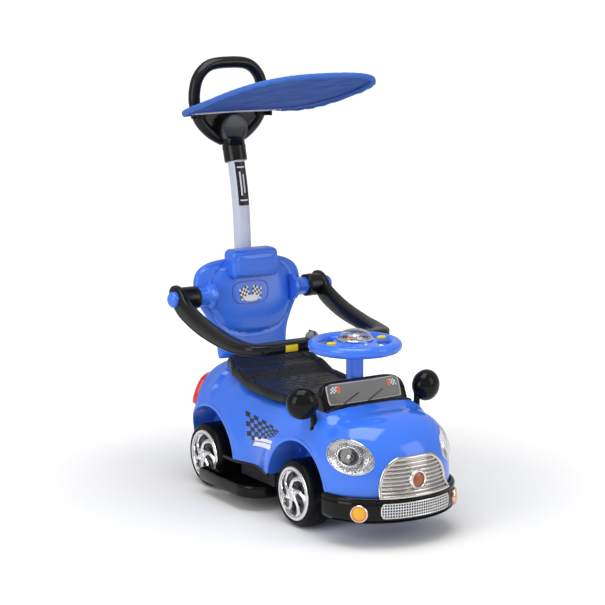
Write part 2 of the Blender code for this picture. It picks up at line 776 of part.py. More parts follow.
def make_carrier():
    """The bracket under the nose that holds both kingpins and the foot of the steering rod."""
    wide, narrow = 0.066, 0.052
    front, plate_rear, foot_rear = [-HALF_WHEELBASE + reach for reach in (-0.0473, 0.0127, 0.0537)]
    foot = [(-wide, front), (wide, front), (wide, plate_rear), (narrow, plate_rear + 0.012)]
    foot += [(narrow, foot_rear), (-narrow, foot_rear), (-narrow, plate_rear + 0.012), (-wide, plate_rear)]
    low_middle = CARRIER_BOTTOM_Z + CARRIER_PLATE / 2
    carrier = plate("steering_carrier", BLACK_SATIN, foot, CARRIER_PLATE, (0, 0, low_middle))
    top_low = CARRIER_TOP_Z - CARRIER_PLATE
    top_high = (wide, plate_rear, CARRIER_TOP_Z)
    top = block("add_carrier_top", None, (-wide, front, top_low), top_high, cutter=True)
    web_low = (-wide, front, CARRIER_BOTTOM_Z + 0.001)
    web_high = (wide, front + CARRIER_PLATE, CARRIER_TOP_Z - 0.001)
    web = block("add_carrier_web", None, web_low, web_high, cutter=True)
    join(carrier, web, top)
    for side_name, side in SIDES:
        spot = (side * KINGPIN_X, -HALF_WHEELBASE)
        hole = KINGPIN_RADIUS + RUNNING_GAP
        cut(
            carrier,
            cylinder(f"cut_kingpin_{side_name}", None, hole, (*spot, 0.04), (*spot, 0.13), 14, cutter=True),
        )
    hole = ROD_RADIUS + RUNNING_GAP
    return cut(
        carrier,
        cylinder("cut_rod_foot", None, hole, (0, COLUMN_Y, 0.10), (0, COLUMN_Y, 0.13), 20, cutter=True),
    )


def make_knuckle(side_name, side):
    """A steering knuckle: an upright sleeve, its stub axle and its arm with a pin."""
    x = side * KINGPIN_X
    y = -HALF_WHEELBASE
    low = CARRIER_BOTTOM_Z + CARRIER_PLATE + GAP
    name = f"knuckle_{side_name}"
    knuckle = cylinder(name, STEEL_ROD, KNUCKLE_RADIUS, (x, y, low), (x, y, KNUCKLE_TOP_Z), 16)
    shoulder = side * (WHEEL_INNER_X - 0.0007)
    stub_start = (x + side * 0.005, y, WHEEL_RADIUS)
    stub_end = (side * AXLE_END_X, y, WHEEL_RADIUS)
    shoulder_end = (shoulder, y, WHEEL_RADIUS)
    parts = [
        cylinder(f"add_{name}_shoulder", None, 0.009, stub_start, shoulder_end, 14, cutter=True),
        cylinder(f"add_{name}_stub", None, AXLE_RADIUS, stub_start, stub_end, 16, cutter=True),
        block(
            f"add_{name}_arm",
            None,
            (x - 0.006, y - 0.006, KNUCKLE_TOP_Z - 0.002),
            (x + 0.006, arm_pin_y + 0.006, arm_top_z),
            cutter=True,
        ),
        cylinder(
            f"add_{name}_pin",
            None,
            PIN_RADIUS,
            (x, arm_pin_y, arm_top_z - 0.002),
            (x, arm_pin_y, tie_rod_high_z + 0.004),
            14,
            cutter=True,
        ),
    ]
    join(knuckle, *parts)
    hole = KINGPIN_RADIUS + RUNNING_GAP
    cut(knuckle, cylinder(f"cut_{name}_bore", None, hole, (x, y, 0.04), (x, y, 0.13), 14, cutter=True))
    pin_low = CARRIER_BOTTOM_Z - 0.001
    cylinder(f"kingpin_{side_name}", STEEL_ROD, KINGPIN_RADIUS, (x, y, pin_low), (x, y, CARRIER_TOP_Z), 14)


def make_tie_rod():
    edge = 0.007
    half = KINGPIN_X
    outline = [(-half - edge, arm_pin_y - edge), (-edge, crank_pin_y - edge), (edge, crank_pin_y - edge)]
    outline += [(half + edge, arm_pin_y - edge), (half + edge, arm_pin_y + edge), (edge, crank_pin_y + edge)]
    outline += [(-edge, crank_pin_y + edge), (-half - edge, arm_pin_y + edge)]
    middle = (tie_rod_low_z + tie_rod_high_z) / 2
    rod = plate("tie_rod", STEEL_ROD, outline, TIE_ROD_THICKNESS, (0, 0, middle))
    spots = [(-half, arm_pin_y), (half, arm_pin_y), (0.0, crank_pin_y)]
    hole = PIN_RADIUS + OPEN_PIVOT_GAP
    for k, (x, y) in enumerate(spots):
        cut(rod, cylinder(f"cut_tie_rod_{k}", None, hole, (x, y, 0.08), (x, y, 0.10), 16, cutter=True))


STEERING_ROD_TOP_Z = 0.270
COLUMN_FOOT_Z = 0.2370


def make_steering_rod():
    """The bent rod below the column, with its crank and the pin that moves the tie rod."""
    start, end = (0, COLUMN_Y, crank_low_z), (0, COLUMN_Y, STEERING_ROD_TOP_Z)
    rod = cylinder("steering_rod", STEEL_ROD, ROD_RADIUS, start, end, 20)
    crank = block(
        "add_crank",
        None,
        (-0.0065, COLUMN_Y - 0.0065, crank_low_z),
        (0.0065, crank_pin_y + 0.0065, crank_high_z),
        cutter=True,
    )
    pin = cylinder(
        "add_crank_pin",
        None,
        PIN_RADIUS,
        (0, crank_pin_y, tie_rod_low_z - 0.0005),
        (0, crank_pin_y, crank_low_z + 0.002),
        14,
        cutter=True,
    )
    return join(rod, crank, pin)


make_chassis()
make_carrier()
for side_name, side in SIDES:
    make_knuckle(side_name, side)
make_tie_rod()
make_steering_rod()
axle_ends = [(side * AXLE_END_X, HALF_WHEELBASE, WHEEL_RADIUS) for _, side in SIDES]
cylinder("rear_axle", STEEL_ROD, AXLE_RADIUS, axle_ends[0], axle_ends[1], 16)


# Footrests

def footrest_edge():
    """The tray's outer edge from its front inner corner round to its rear tip, as (x, y)."""
    front_y, rear_tip_y = -0.068, 0.146
    corner = 0.058
    points = [(FOOTREST_INNER_X, front_y)]
    steps = 6
    for k in range(steps + 1):
        turn = math.pi / 2 * k / steps
        x = FOOTREST_OUTER_X - corner * (1 - math.sin(turn))
        y = front_y + corner * (1 - math.cos(turn))
        points.append((x, y))
    points.append((FOOTREST_OUTER_X, rear_tip_y))
    return points


def make_footrest(side_name, side):
    """A tray with an upstanding rim and an inner wall that meets the chassis."""
    edge = footrest_edge()
    wall = 0.005
    wing_x = WHEEL_OUTER_X + 0.007
    floor_rear_y = 0.096
    inner_edge = [(wing_x, edge[-1][1]), (wing_x, floor_rear_y), (FOOTREST_INNER_X, floor_rear_y)]
    outline = [(side * x, y) for x, y in edge + inner_edge]
    height = CHASSIS_BOTTOM_Z - GAP - FOOTREST_BOTTOM_Z
    rim_height = FOOTREST_RIM_Z - FOOTREST_BOTTOM_Z
    middle = FOOTREST_BOTTOM_Z + rim_height / 2
    tray = plate(f"footrest_{side_name}", BLACK_GLOSS, outline, rim_height, (0, 0, middle))
    inner = [(side * (x - wall), y + wall) for x, y in edge[1:-1]]
    inner = [(side * (FOOTREST_INNER_X + 0.012), edge[0][1] + wall)] + inner
    inner += [(side * (FOOTREST_OUTER_X - wall), edge[-1][1] + 0.02)]
    inner += [(side * (wing_x - 0.02), edge[-1][1] + 0.02), (side * (wing_x - 0.02), floor_rear_y + 0.02)]
    inner += [(side * (FOOTREST_INNER_X + 0.012), floor_rear_y + 0.02)]
    depth = 0.06
    pocket_z = FOOTREST_BOTTOM_Z + FOOTREST_FLOOR + depth / 2
    pocket = plate(f"cut_tray_{side_name}", None, inner, depth, (0, 0, pocket_z), cutter=True)
    cut(tray, pocket)
    wall_x = sorted((side * FOOTREST_INNER_X, side * (FOOTREST_INNER_X + 0.012)))
    low = (wall_x[0], -0.060, FOOTREST_BOTTOM_Z + 0.001)
    high = (wall_x[1], 0.045, FOOTREST_BOTTOM_Z + height)
    join(tray, block(f"add_tray_{side_name}", None, low, high, cutter=True))


for side_name, side in SIDES:
    make_footrest(side_name, side)


# Bumper, grille and lamps

def bumper_point(turn, z, inset):
    """A point of the bumper's face, or inside it by the inset, at an angle round the nose."""
    across, ahead = quarter(abs(turn), PLAN_SQUARENESS)
    x = (BUMPER_HALF_WIDTH - inset) * across
    return (math.copysign(x, turn), BUMPER_START_Y - (BUMPER_LENGTH - inset) * ahead, z)


def bumper_rows(depth, levels, half_turn, count):
    turns = [half_turn * (2 * k / count - 1) for k in range(count + 1)]
    return [[bumper_point(turn, z, inset + depth) for turn in turns] for z, inset in levels]


BUMPER_TOP_Z = 0.1045
BUMPER_LEVELS = (
    (BUMPER_BOTTOM_Z, 0.0120),
    (BUMPER_BOTTOM_Z + 0.003, 0.0060),
    (BUMPER_BOTTOM_Z + 0.010, 0.0015),
    (BUMPER_BOTTOM_Z + 0.022, 0.0),
    (BUMPER_TOP_Z - 0.009, 0.0),
    (BUMPER_TOP_Z - 0.003, 0.0015),
    (BUMPER_TOP_Z, 0.0045),
)


def bumper_seat(turn, z):
    """A point of the bumper's back where it lies against the nose."""
    across, ahead = quarter(abs(turn), PLAN_SQUARENESS)
    power = NOSE_SQUARENESS + (SQUARENESS[0][1] - NOSE_SQUARENESS) * abs(turn) / (math.pi / 2)
    up = (z - SILL_Z) / (TOP_LINE[0][1] - SILL_Z)
    out = (1 - up**power) ** (1 / power)
    y = NOSE_START_Y - (NOSE_LENGTH * out + GAP) * ahead
    return (math.copysign((BODY_HALF_WIDTH * out + GAP) * across, turn), min(y, BUMPER_START_Y), z)


def make_bumper():
    """The black bumper round the nose, thin below the sill and seated on the body above it."""
    count = 2 * NOSE_RIBS
    turns = [math.pi / 2 * (2 * k / count - 1) for k in range(count + 1)]
    outer = bumper_rows(0.0, BUMPER_LEVELS, math.pi / 2, count)
    inner = [[bumper_point(turn, BUMPER_BOTTOM_Z, 0.018) for turn in turns]]
    for z, _ in BUMPER_LEVELS[1:]:
        if z > SILL_Z:
            inner.append([bumper_seat(turn, z) for turn in turns])
        else:
            inner.append([bumper_point(turn, z, BUMPER_WALL) for turn in turns])
    patch("front_bumper", BLACK_GLOSS, inner, outer)


make_bumper()

MESH_TURN = math.radians(32)
mesh_levels = [
    (BUMPER_BOTTOM_Z + 0.012, 0.0010),
    (BUMPER_BOTTOM_Z + 0.022, 0.0),
    (BUMPER_TOP_Z - 0.012, 0.0),
]
mesh_back = bumper_rows(-GAP - 0.0002, mesh_levels, MESH_TURN, 10)
mesh_face = bumper_rows(-BUMPER_MESH_STAND, mesh_levels, MESH_TURN, 10)
patch("bumper_mesh", STEEL_ROD, mesh_back, mesh_face)


def make_grille():
    """A D-shaped chrome plate that follows the nose, with raised level bars."""
    rows, count = 12, 8
    near, far = [], []
    for i in range(rows + 1):
        t = i / rows
        z = GRILLE_BOTTOM_Z + GRILLE_HEIGHT * t
        half = GRILLE_HALF_WIDTH * (1 - (t * 0.985) ** 2.8) ** (1 / 2.8)
        half *= 1 - 0.06 * max(0.0, 0.12 - t) / 0.12
        rise = 0.0022 if i % 2 else 0.0
        frame = i in (0, rows)
        near_row, far_row = [], []
        for k in range(count + 1):
            x = half * (2 * k / count - 1)
            spot, normal = nose_point(x, z), nose_normal(x, z)
            lip = 0.0065 if frame or k in (0, count) else 0.0035 + rise
            near_row.append(spot + normal * 0.0006)
            far_row.append(spot + normal * (0.0006 + lip))
        near.append(near_row)
        far.append(far_row)
    return patch("grille", CHROME_PLATE, near, far)


make_grille()
BADGE_Z = 0.1330


def facing(normal, long_axis):
    """The turn that points local Z along the normal and local X near the long axis."""
    z = Vector(normal).normalized()
    x = Vector(long_axis)
    x = (x - z * x.dot(z)).normalized()
    return Matrix((x, z.cross(x), z)).transposed().to_euler()


def make_badge():
    spot, normal = nose_point(0.0, BADGE_Z), nose_normal(0.0, BADGE_Z)
    lift = 0.0066
    profile = [(0.0, 0.0040), (BADGE_RADIUS - 0.004, 0.0034), (BADGE_RADIUS - 0.003, 0.0050)]
    profile += [(BADGE_RADIUS - 0.001, 0.0050), (BADGE_RADIUS, 0.0035), (BADGE_RADIUS, 0.0), (0.0, 0.0)]
    turned("grille_badge", CHROME_PLATE, profile, spot + normal * lift, facing(normal, (1, 0, 0)), 24)


make_badge()


def headlight_edge(place, turn, across):
    """How far above the lamp's own plane the nose's surface passes at one point of its rim."""
    low, high = -HEADLIGHT_WIDTH / 4, HEADLIGHT_WIDTH / 4
    for _ in range(24):
        middle = (low + high) / 2
        spot = place + turn @ (across + Vector((0.0, 0.0, middle)))
        if spot.y > nose_point(spot.x, spot.z).y:
            low = middle
        else:
            high = middle
    return (low + high) / 2


def headlight_ring(place, turn, share, height, follow):
    """A ring of the lamp at a share of its radii; follow is how much it takes of the nose's form."""
    ring = []
    for k in range(HEADLIGHT_STEPS):
        angle = 2 * math.pi * k / HEADLIGHT_STEPS
        half_width, half_height = HEADLIGHT_WIDTH / 2, HEADLIGHT_HEIGHT / 2
        across = Vector((half_width * math.cos(angle), half_height * math.sin(angle), 0.0))
        rise = height + follow * headlight_edge(place, turn, across)
        ring.append(place + turn @ (across * share + Vector((0.0, 0.0, rise))))
    return ring


def make_headlight(side_name, side):
    """A chrome reflector in a pocket of the nose, under a clear domed lens that follows the body."""
    normal = Vector((side * 0.767, -0.547, 0.334)).normalized()
    place = nose_point(side * HEADLIGHT_X, HEADLIGHT_Z) - normal * HEADLIGHT_INSET
    euler = facing(normal, (side * 0.503, 0.837, 0.216))
    turn = euler.to_matrix()
    depth = HEADLIGHT_DEPTH
    pocket = turned(
        f"cut_lamp_{side_name}",
        None,
        [(0.0, 0.03), (1.0, 0.03), (1.0, -depth), (0.0, -depth)],
        place,
        euler,
        HEADLIGHT_STEPS,
        cutter=True,
    )
    pocket.scale = (HEADLIGHT_WIDTH / 2, HEADLIGHT_HEIGHT / 2, 1.0)
    cut(BODY, pocket)
    rim = 1.0 - 2 * GAP / HEADLIGHT_HEIGHT
    bowl = [(0.15, -depth + 0.0035, 0.0), (0.45, -depth + 0.0045, 0.2), (0.75, -0.0085, 0.55)]
    bowl += [(rim - 0.06, -0.0022, 0.88), (rim, -0.0022, 1.0), (rim, -0.0048, 1.0)]
    bowl += [(0.78, -0.0110, 0.55), (0.47, -depth + 0.0016, 0.2), (0.15, -depth + 0.0006, 0.0)]
    rings = [headlight_ring(place, turn, *stop) for stop in bowl]
    lofted(f"headlight_reflector_{side_name}", CHROME_PLATE, rings)
    crown, lip = HEADLIGHT_CROWN, 0.0024
    dome = [(0.15, crown, 0.0), (0.50, 0.77 * crown, 0.25), (0.78, 0.42 * crown, 0.61), (0.94, 0.14 * crown, 0.88)]
    profile = dome + [(rim, -0.0005, 1.0), (rim, -0.0019, 1.0), (rim - 0.05, -0.0019, 0.95)]
    profile += [(share, height - lip, follow) for share, height, follow in dome[2::-1]]
    lofted(f"headlight_lens_{side_name}", CLEAR, [headlight_ring(place, turn, *stop) for stop in profile])


def make_fog_lamp(side_name, side):
    """A round amber lamp seated on the bumper's corner."""
    turn_angle = side * math.radians(50)
    z = BUMPER_BOTTOM_Z + 0.021
    spot = Vector(bumper_point(turn_angle, z, 0.0))
    ahead = Vector(bumper_point(turn_angle + 0.01, z, 0.0)) - Vector(bumper_point(turn_angle - 0.01, z, 0.0))
    normal = Vector((-ahead.y, ahead.x, 0.0)).normalized()
    if normal.y > 0:
        normal = -normal
    r = FOG_RADIUS
    profile = [(0.0, 0.0085), (r * 0.5, 0.0075), (r - 0.003, 0.0045), (r - 0.002, 0.0062), (r, 0.0050)]
    profile += [(r, -0.0030), (0.0, -0.0030)]
    turned(f"fog_lamp_{side_name}", AMBER, profile, spot, facing(normal, (0, 0, 1)), 20)
    pocket = [(0.0, 0.01), (r + GAP, 0.01), (r + GAP, -0.0030 - GAP), (0.0, -0.0030 - GAP)]
    cut(
        bpy.data.objects["front_bumper"],
        turned(f"cut_fog_{side_name}", None, pocket, spot, facing(normal, (0, 0, 1)), 20, cutter=True),
    )


def make_tail_lamp(side_name, side):
    """A red wedge on the tail's corner."""
    near, far = [], []
    for i in range(7):
        level = math.radians(24 + 26 * i / 6)
        near_row, far_row = [], []
        for k in range(5):
            turn = side * math.radians(32 + (24 - 8 * i / 6) * k / 4)
            spot, normal = tail_point(turn, level), tail_normal(turn, level)
            edge = i in (0, 6) or k in (0, 4)
            near_row.append(spot + normal * 0.0008)
            far_row.append(spot + normal * (0.0035 if edge else 0.0065))
        near.append(near_row)
        far.append(far_row)
    patch(f"tail_lamp_{side_name}", RED, near, far)


def make_mirror(side_name, side):
    """A round black mirror on a short stem that stands in the body."""
    x = side * MIRROR_X
    head = ball(
        f"mirror_{side_name}",
        BLACK_GLOSS,
        (x, MIRROR_Y, MIRROR_Z),
        (MIRROR_RADIUS, MIRROR_RADIUS * 0.80, MIRROR_RADIUS),
        18,
        9,
        turn=(0, 0, side * math.radians(20)),
    )
    foot = Vector((side * 0.1255, -0.2355, 0.2150))
    top = Vector((x - side * 0.010, MIRROR_Y, MIRROR_Z - 0.016))
    stem = cylinder(f"add_stem_{side_name}", None, 0.0065, foot, top, 14, cutter=True)
    join(head, stem)
    deep = foot + (foot - top).normalized() * 0.0008
    pocket = cylinder(f"cut_stem_{side_name}", None, 0.0065 + GAP, deep, top, 14, cutter=True)
    cut(BODY, pocket)


for side_name, side in SIDES:
    make_headlight(side_name, side)
    make_fog_lamp(side_name, side)
    make_tail_lamp(side_name, side)
    make_mirror(side_name, side)


# Windscreen

SCREEN_TOP_Z = 0.302
SCREEN_RAKE = 0.0275
SCREEN_CROWN = 0.010
SEAT_PIN_Y = -0.1390
SEAT_PIN_Z = 0.2450
SEAT_PIN_RADIUS = 0.003
SEAT_NOSE_RADIUS = 0.0106
SEAT_HEEL_RADIUS = 0.0041
SEAT_KNUCKLE_HALF_WIDTH = 0.0915
SCREEN_EAR_WIDTH = 0.0032


def screen_section(x):
    """The windscreen frame's side profile at one x: front foot, front top, back top, back foot."""
    half = COWL_HALF_WIDTH - GAP
    share = min(abs(x) / half, 1.0)
    top = COWL_FLOOR_Z + 0.010 + (SCREEN_TOP_Z - COWL_FLOOR_Z - 0.010) * (1 - share**5) ** 0.2
    front = COWL_FRONT_Y + GAP + 0.0015 + SCREEN_CROWN * share * share * 0.6
    lean = SCREEN_RAKE * (top - COWL_FLOOR_Z) / (SCREEN_TOP_Z - COWL_FLOOR_Z)
    back = COWL_REAR_Y - GAP
    return front, top, front + lean, back


def make_windscreen():
    half = COWL_HALF_WIDTH - GAP
    count = 16
    rings = []
    floor = COWL_FLOOR_Z + GAP
    for k in range(count + 1):
        x = half * math.sin(math.pi / 2 * (2 * k / count - 1))
        front, top, front_top, back = screen_section(x)
        back_top = front_top + 0.012
        back_height = floor + 0.016 * (top - floor) / (SCREEN_TOP_Z - floor)
        ring = [(x, front, floor), (x, front_top, top - 0.002), (x, front_top + 0.003, top)]
        ring += [(x, back_top, top - 0.001), (x, back, back_height), (x, back, floor)]
        rings.append(ring)
    frame = lofted("windscreen_frame", BLACK_GLOSS, rings)
    bore = COLUMN_RADIUS + RUNNING_GAP
    bore_ends = [(0, COLUMN_Y, 0.22), (0, COLUMN_Y, 0.32)]
    column_bore = cylinder("cut_column", None, bore, bore_ends[0], bore_ends[1], 32, cutter=True)
    for side_name, side in SIDES:
        ear_x = sorted((side * (half - SCREEN_EAR_WIDTH), side * half))
        ear_low = (ear_x[0], COWL_REAR_Y - 0.006, COWL_FLOOR_Z + 0.0055)
        ear_high = (ear_x[1], SEAT_PIN_Y + 0.006, SEAT_PIN_Z + 0.006)
        join(frame, block(f"add_ear_{side_name}", None, ear_low, ear_high, cutter=True))
    pin_ends = [(x, SEAT_PIN_Y, SEAT_PIN_Z) for x in (-0.12, 0.12)]
    bore = SEAT_PIN_RADIUS + RUNNING_GAP
    pin_bore = cylinder("cut_ear_pin", None, bore, pin_ends[0], pin_ends[1], 14, cutter=True)
    return cut(frame, column_bore, pin_bore)


def make_screen_panel():
    """The grey pane on the frame's raked face."""
    near, far = [], []
    for i in range(5):
        rise = 0.20 + 0.66 * i / 4
        near_row, far_row = [], []
        for k in range(13):
            x = (0.0885 - 0.0085 * rise) * (2 * k / 12 - 1)
            front, top, front_top, _ = screen_section(x)
            z = COWL_FLOOR_Z + (top - COWL_FLOOR_Z) * rise
            y = front + (front_top - front) * rise
            near_row.append((x, y - 0.0006, z + 0.0002))
            far_row.append((x, y - 0.0024, z + 0.0009))
        near.append(near_row)
        far.append(far_row)
    patch("windscreen_panel", SCREEN_GREY, near, far)


make_windscreen()
make_screen_panel()
pin_half = COWL_HALF_WIDTH - GAP
cylinder(
    "seat_hinge_pin",
    STEEL_ROD,
    SEAT_PIN_RADIUS,
    (-pin_half, SEAT_PIN_Y, SEAT_PIN_Z),
    (pin_half, SEAT_PIN_Y, SEAT_PIN_Z),
    14,
)


# Seat

SEAT_PLAN = (
    (SEAT_FRONT_Y, 0.0960),
    (-0.117, 0.0985),
    (-0.080, 0.1070),
    (0.0, SEAT_HALF_WIDTH),
    (0.110, SEAT_HALF_WIDTH),
    (0.150, 0.1000),
    (SEAT_REAR_Y, 0.0780),
)
SEAT_LIFT = (
    (SEAT_FRONT_Y, 0.0120),
    (-0.070, SEAT_THICKNESS),
    (0.070, SEAT_THICKNESS + 0.0020),
    (SEAT_REAR_Y, SEAT_THICKNESS),
)


def make_seat():
    """The lid over the bin: a raised round border about a sunk middle."""
    rows, count = 12, 10
    border = (0.0, 0.0018, 0.0)
    near, far = [], []
    for i in range(rows + 1):
        y = SEAT_FRONT_Y + (SEAT_REAR_Y - SEAT_FRONT_Y) * i / rows
        half = along(y, SEAT_PLAN)
        floor = along(y, TOP_LINE) + SEAT_CLEARANCE
        lift = along(y, SEAT_LIFT)
        end = min(i, rows - i)
        near_row, far_row = [], []
        for k in range(count + 1):
            x = half * math.sin(math.pi / 2 * (2 * k / count - 1))
            rim = min(k, count - k)
            fall = 0.0
            if rim == 0 or end == 0:
                fall = 0.0075
            elif rim > 2 and end > 2:
                fall = 0.0045
            near_row.append((x, y, floor))
            far_row.append((x, y, floor + lift - fall + border[min(rim, 2)]))
        near.append(near_row)
        far.append(far_row)
    seat = patch("seat_lid", BLACK_SATIN, near, far)
    ends = [(x, SEAT_PIN_Y, SEAT_PIN_Z) for x in (-0.12, 0.12)]
    bore = SEAT_PIN_RADIUS + RUNNING_GAP
    corner_low = (-0.13, SEAT_PIN_Y - 0.03, SEAT_PIN_Z - 0.03)
    corners = (("nose", SEAT_NOSE_RADIUS, SEAT_PIN_Z + 0.05), ("heel", SEAT_HEEL_RADIUS, SEAT_PIN_Z))
    for name, radius, top in corners:
        corner = hollow(f"seat_{name}", corner_low, (0.13, SEAT_PIN_Y, top))
        cut(corner, cylinder(f"cut_seat_{name}", None, radius, ends[0], ends[1], 24, cutter=True))
        cut(seat, corner)
    for _, side in SIDES:
        x = sorted((side * SEAT_KNUCKLE_HALF_WIDTH, side * SEAT_HALF_WIDTH))
        low = (x[0], SEAT_FRONT_Y - 0.005, SEAT_PIN_Z - 0.02)
        high = (x[1], SEAT_PIN_Y + SEAT_HEEL_RADIUS + 0.001, SEAT_PIN_Z + 0.02)
        cut(seat, block("cut_seat_end", None, low, high, cutter=True))
    return cut(seat, cylinder("cut_seat_pin", None, bore, ends[0], ends[1], 14, cutter=True))


make_seat()


# Backrest

BACKREST_LEAN = 0.14
BACKREST_FOOT_Z = 0.2750
BACKREST_TOP_Z = 0.507
BOSS_RADIUS = 0.021
BOSS_END_X = GUARD_PIVOT_X - GUARD_ARM_WIDTH / 2 - GAP
BACKREST_WIDTHS = (
    (BACKREST_FOOT_Z, 0.0865),
    (0.310, 0.0880),
    (0.350, 0.1000),
    (0.405, 0.1290),
    (0.446, 0.1352),
    (0.470, 0.1320),
    (0.490, 0.1120),
    (0.502, 0.0800),
    (BACKREST_TOP_Z, 0.0480),
)
HEADREST_HALF_WIDTH = 0.0545
HEADREST_LOW_Z = 0.451
HEADREST_TOP_Z = 0.514
HEADREST_FRONT_Y = 0.189
HEADREST_REAR_Y = 0.2385


def backrest_y(z):
    return BACKREST_Y - 0.015 + (z - 0.30) * BACKREST_LEAN


def rounded_ring(half_x, half_y, centre_y, z, count=20, power=3.4):
    ring = []
    for k in range(count):
        turn = 2 * math.pi * k / count
        x = half_x * math.copysign(abs(math.cos(turn)) ** (2 / power), math.cos(turn))
        y = half_y * math.copysign(abs(math.sin(turn)) ** (2 / power), math.sin(turn))
        ring.append((x, centre_y + y, z))
    return ring


def make_backrest():
    """The blue back with its neck, its two bosses and the raised pad on its front."""
    rings = []
    count = 13
    for k in range(count + 1):
        z = BACKREST_FOOT_Z + (BACKREST_TOP_Z - BACKREST_FOOT_Z) * (1 - (1 - k / count) ** 1.25)
        depth = BACKREST_THICKNESS / 2
        depth *= 1 - 0.45 * max(0.0, k - count + 2) / 2
        rings.append(rounded_ring(along(z, BACKREST_WIDTHS), depth, backrest_y(z), z))
    back = lofted("backrest", BLUE_GLOSS, rings)
    pad_z = 0.400
    pad_turn = (-math.atan(BACKREST_LEAN), 0, 0)
    pad_y = backrest_y(pad_z) - BACKREST_THICKNESS / 2 + 0.002
    pad = ball("add_pad", None, (0, pad_y, pad_z), (0.098, 0.0085, 0.090), 20, 6, pad_turn, cutter=True)
    join(back, pad)
    for side_name, side in SIDES:
        start = (side * 0.110, GUARD_PIVOT_Y, GUARD_PIVOT_Z)
        end = (side * BOSS_END_X, GUARD_PIVOT_Y, GUARD_PIVOT_Z)
        join(back, cylinder(f"add_boss_{side_name}", None, BOSS_RADIUS, start, end, 24, cutter=True))
        bore = GUARD_PIN_RADIUS + RUNNING_GAP
        inside = (side * 0.149, GUARD_PIVOT_Y, GUARD_PIVOT_Z)
        outside = (side * 0.2, GUARD_PIVOT_Y, GUARD_PIVOT_Z)
        cut(back, cylinder(f"cut_boss_{side_name}", None, bore, inside, outside, 16, cutter=True))
    room = GAP
    head_low = (-HEADREST_HALF_WIDTH - room, HEADREST_FRONT_Y - 0.03, HEADREST_LOW_Z - room)
    head_high = (HEADREST_HALF_WIDTH + room, HEADREST_REAR_Y + room, HEADREST_TOP_Z + 0.05)
    cut(back, hollow("headrest_seat", head_low, head_high))
    bar_hole = PUSH_BAR_RADIUS + GAP
    foot, top = (0, PUSH_BAR_Y, 0.24), (0, PUSH_BAR_Y, 0.56)
    bar = cylinder("cut_bar_channel", None, bar_hole, foot, top, 28, cutter=True)
    cut(back, bar)
    inside = []
    for k in range(7):
        z = BACKREST_FOOT_Z - 0.01 + (0.420 - BACKREST_FOOT_Z + 0.01) * k / 6
        half = along(z, BACKREST_WIDTHS) - WALL
        inside.append(rounded_ring(half, BACKREST_THICKNESS / 2 - WALL, backrest_y(z), z, 16))
    cut(back, lofted("cut_back_hollow", None, inside, cutter=True))
    head_box_low = (-HEADREST_HALF_WIDTH, HEADREST_FRONT_Y, HEADREST_LOW_Z)
    head_box_high = (HEADREST_HALF_WIDTH, HEADREST_REAR_Y, HEADREST_TOP_Z)
    head = block("headrest", BLUE_GLOSS, head_box_low, head_box_high, 0.010)
    head.modifiers["Bevel"].segments = 3
    cut(head, bar)
    return back


BACKREST = make_backrest()


# Guard rail

GUARD_FRONT_WIDTH = 0.040
GUARD_FRONT_HEIGHT = 0.022
GUARD_CORNER_X = 0.145
BUTTON_RADIUS = 0.0175
BUTTON_POCKET = 0.0050
BUTTON_TRAVEL = 0.0020
GUARD_PATH = (
    (GUARD_PIVOT_X, 0.2370, 0.4260, GUARD_ARM_WIDTH, 0.0300),
    (GUARD_PIVOT_X, 0.2290, 0.4250, GUARD_ARM_WIDTH, 0.0420),
    (GUARD_PIVOT_X, GUARD_PIVOT_Y, GUARD_PIVOT_Z, GUARD_ARM_WIDTH, 0.0470),
    (GUARD_PIVOT_X, 0.1850, 0.3960, GUARD_ARM_WIDTH, 0.0390),
    (GUARD_PIVOT_X - 0.001, 0.1200, 0.3730, 0.0240, 0.0320),
    (GUARD_PIVOT_X - 0.003, 0.0450, 0.3580, 0.0280, 0.0270),
    (GUARD_PIVOT_X - 0.006, -0.0100, 0.3520, 0.0320, 0.0240),
    (GUARD_PIVOT_X - 0.017, -0.0480, GUARD_FRONT_Z, 0.0360, GUARD_FRONT_HEIGHT),
    (GUARD_CORNER_X, GUARD_FRONT_Y, GUARD_FRONT_Z, GUARD_FRONT_WIDTH, GUARD_FRONT_HEIGHT),
    (0.080, GUARD_FRONT_Y, GUARD_FRONT_Z, GUARD_FRONT_WIDTH, GUARD_FRONT_HEIGHT),
    (0.0, GUARD_FRONT_Y, GUARD_FRONT_Z, GUARD_FRONT_WIDTH, GUARD_FRONT_HEIGHT),
)


def bar_section(width, height, corners=1, share=0.30):
    """A rounded oblong section, as (across, up) pairs."""
    radius = min(width, height) * share
    points = []
    for quadrant in range(4):
        centre_x = (width / 2 - radius) * (1 if quadrant in (0, 3) else -1)
        centre_y = (height / 2 - radius) * (1 if quadrant in (0, 1) else -1)
        for k in range(corners + 1):
            turn = math.pi / 2 * (quadrant + k / corners)
            points.append((centre_x + radius * math.cos(turn), centre_y + radius * math.sin(turn)))
    return points


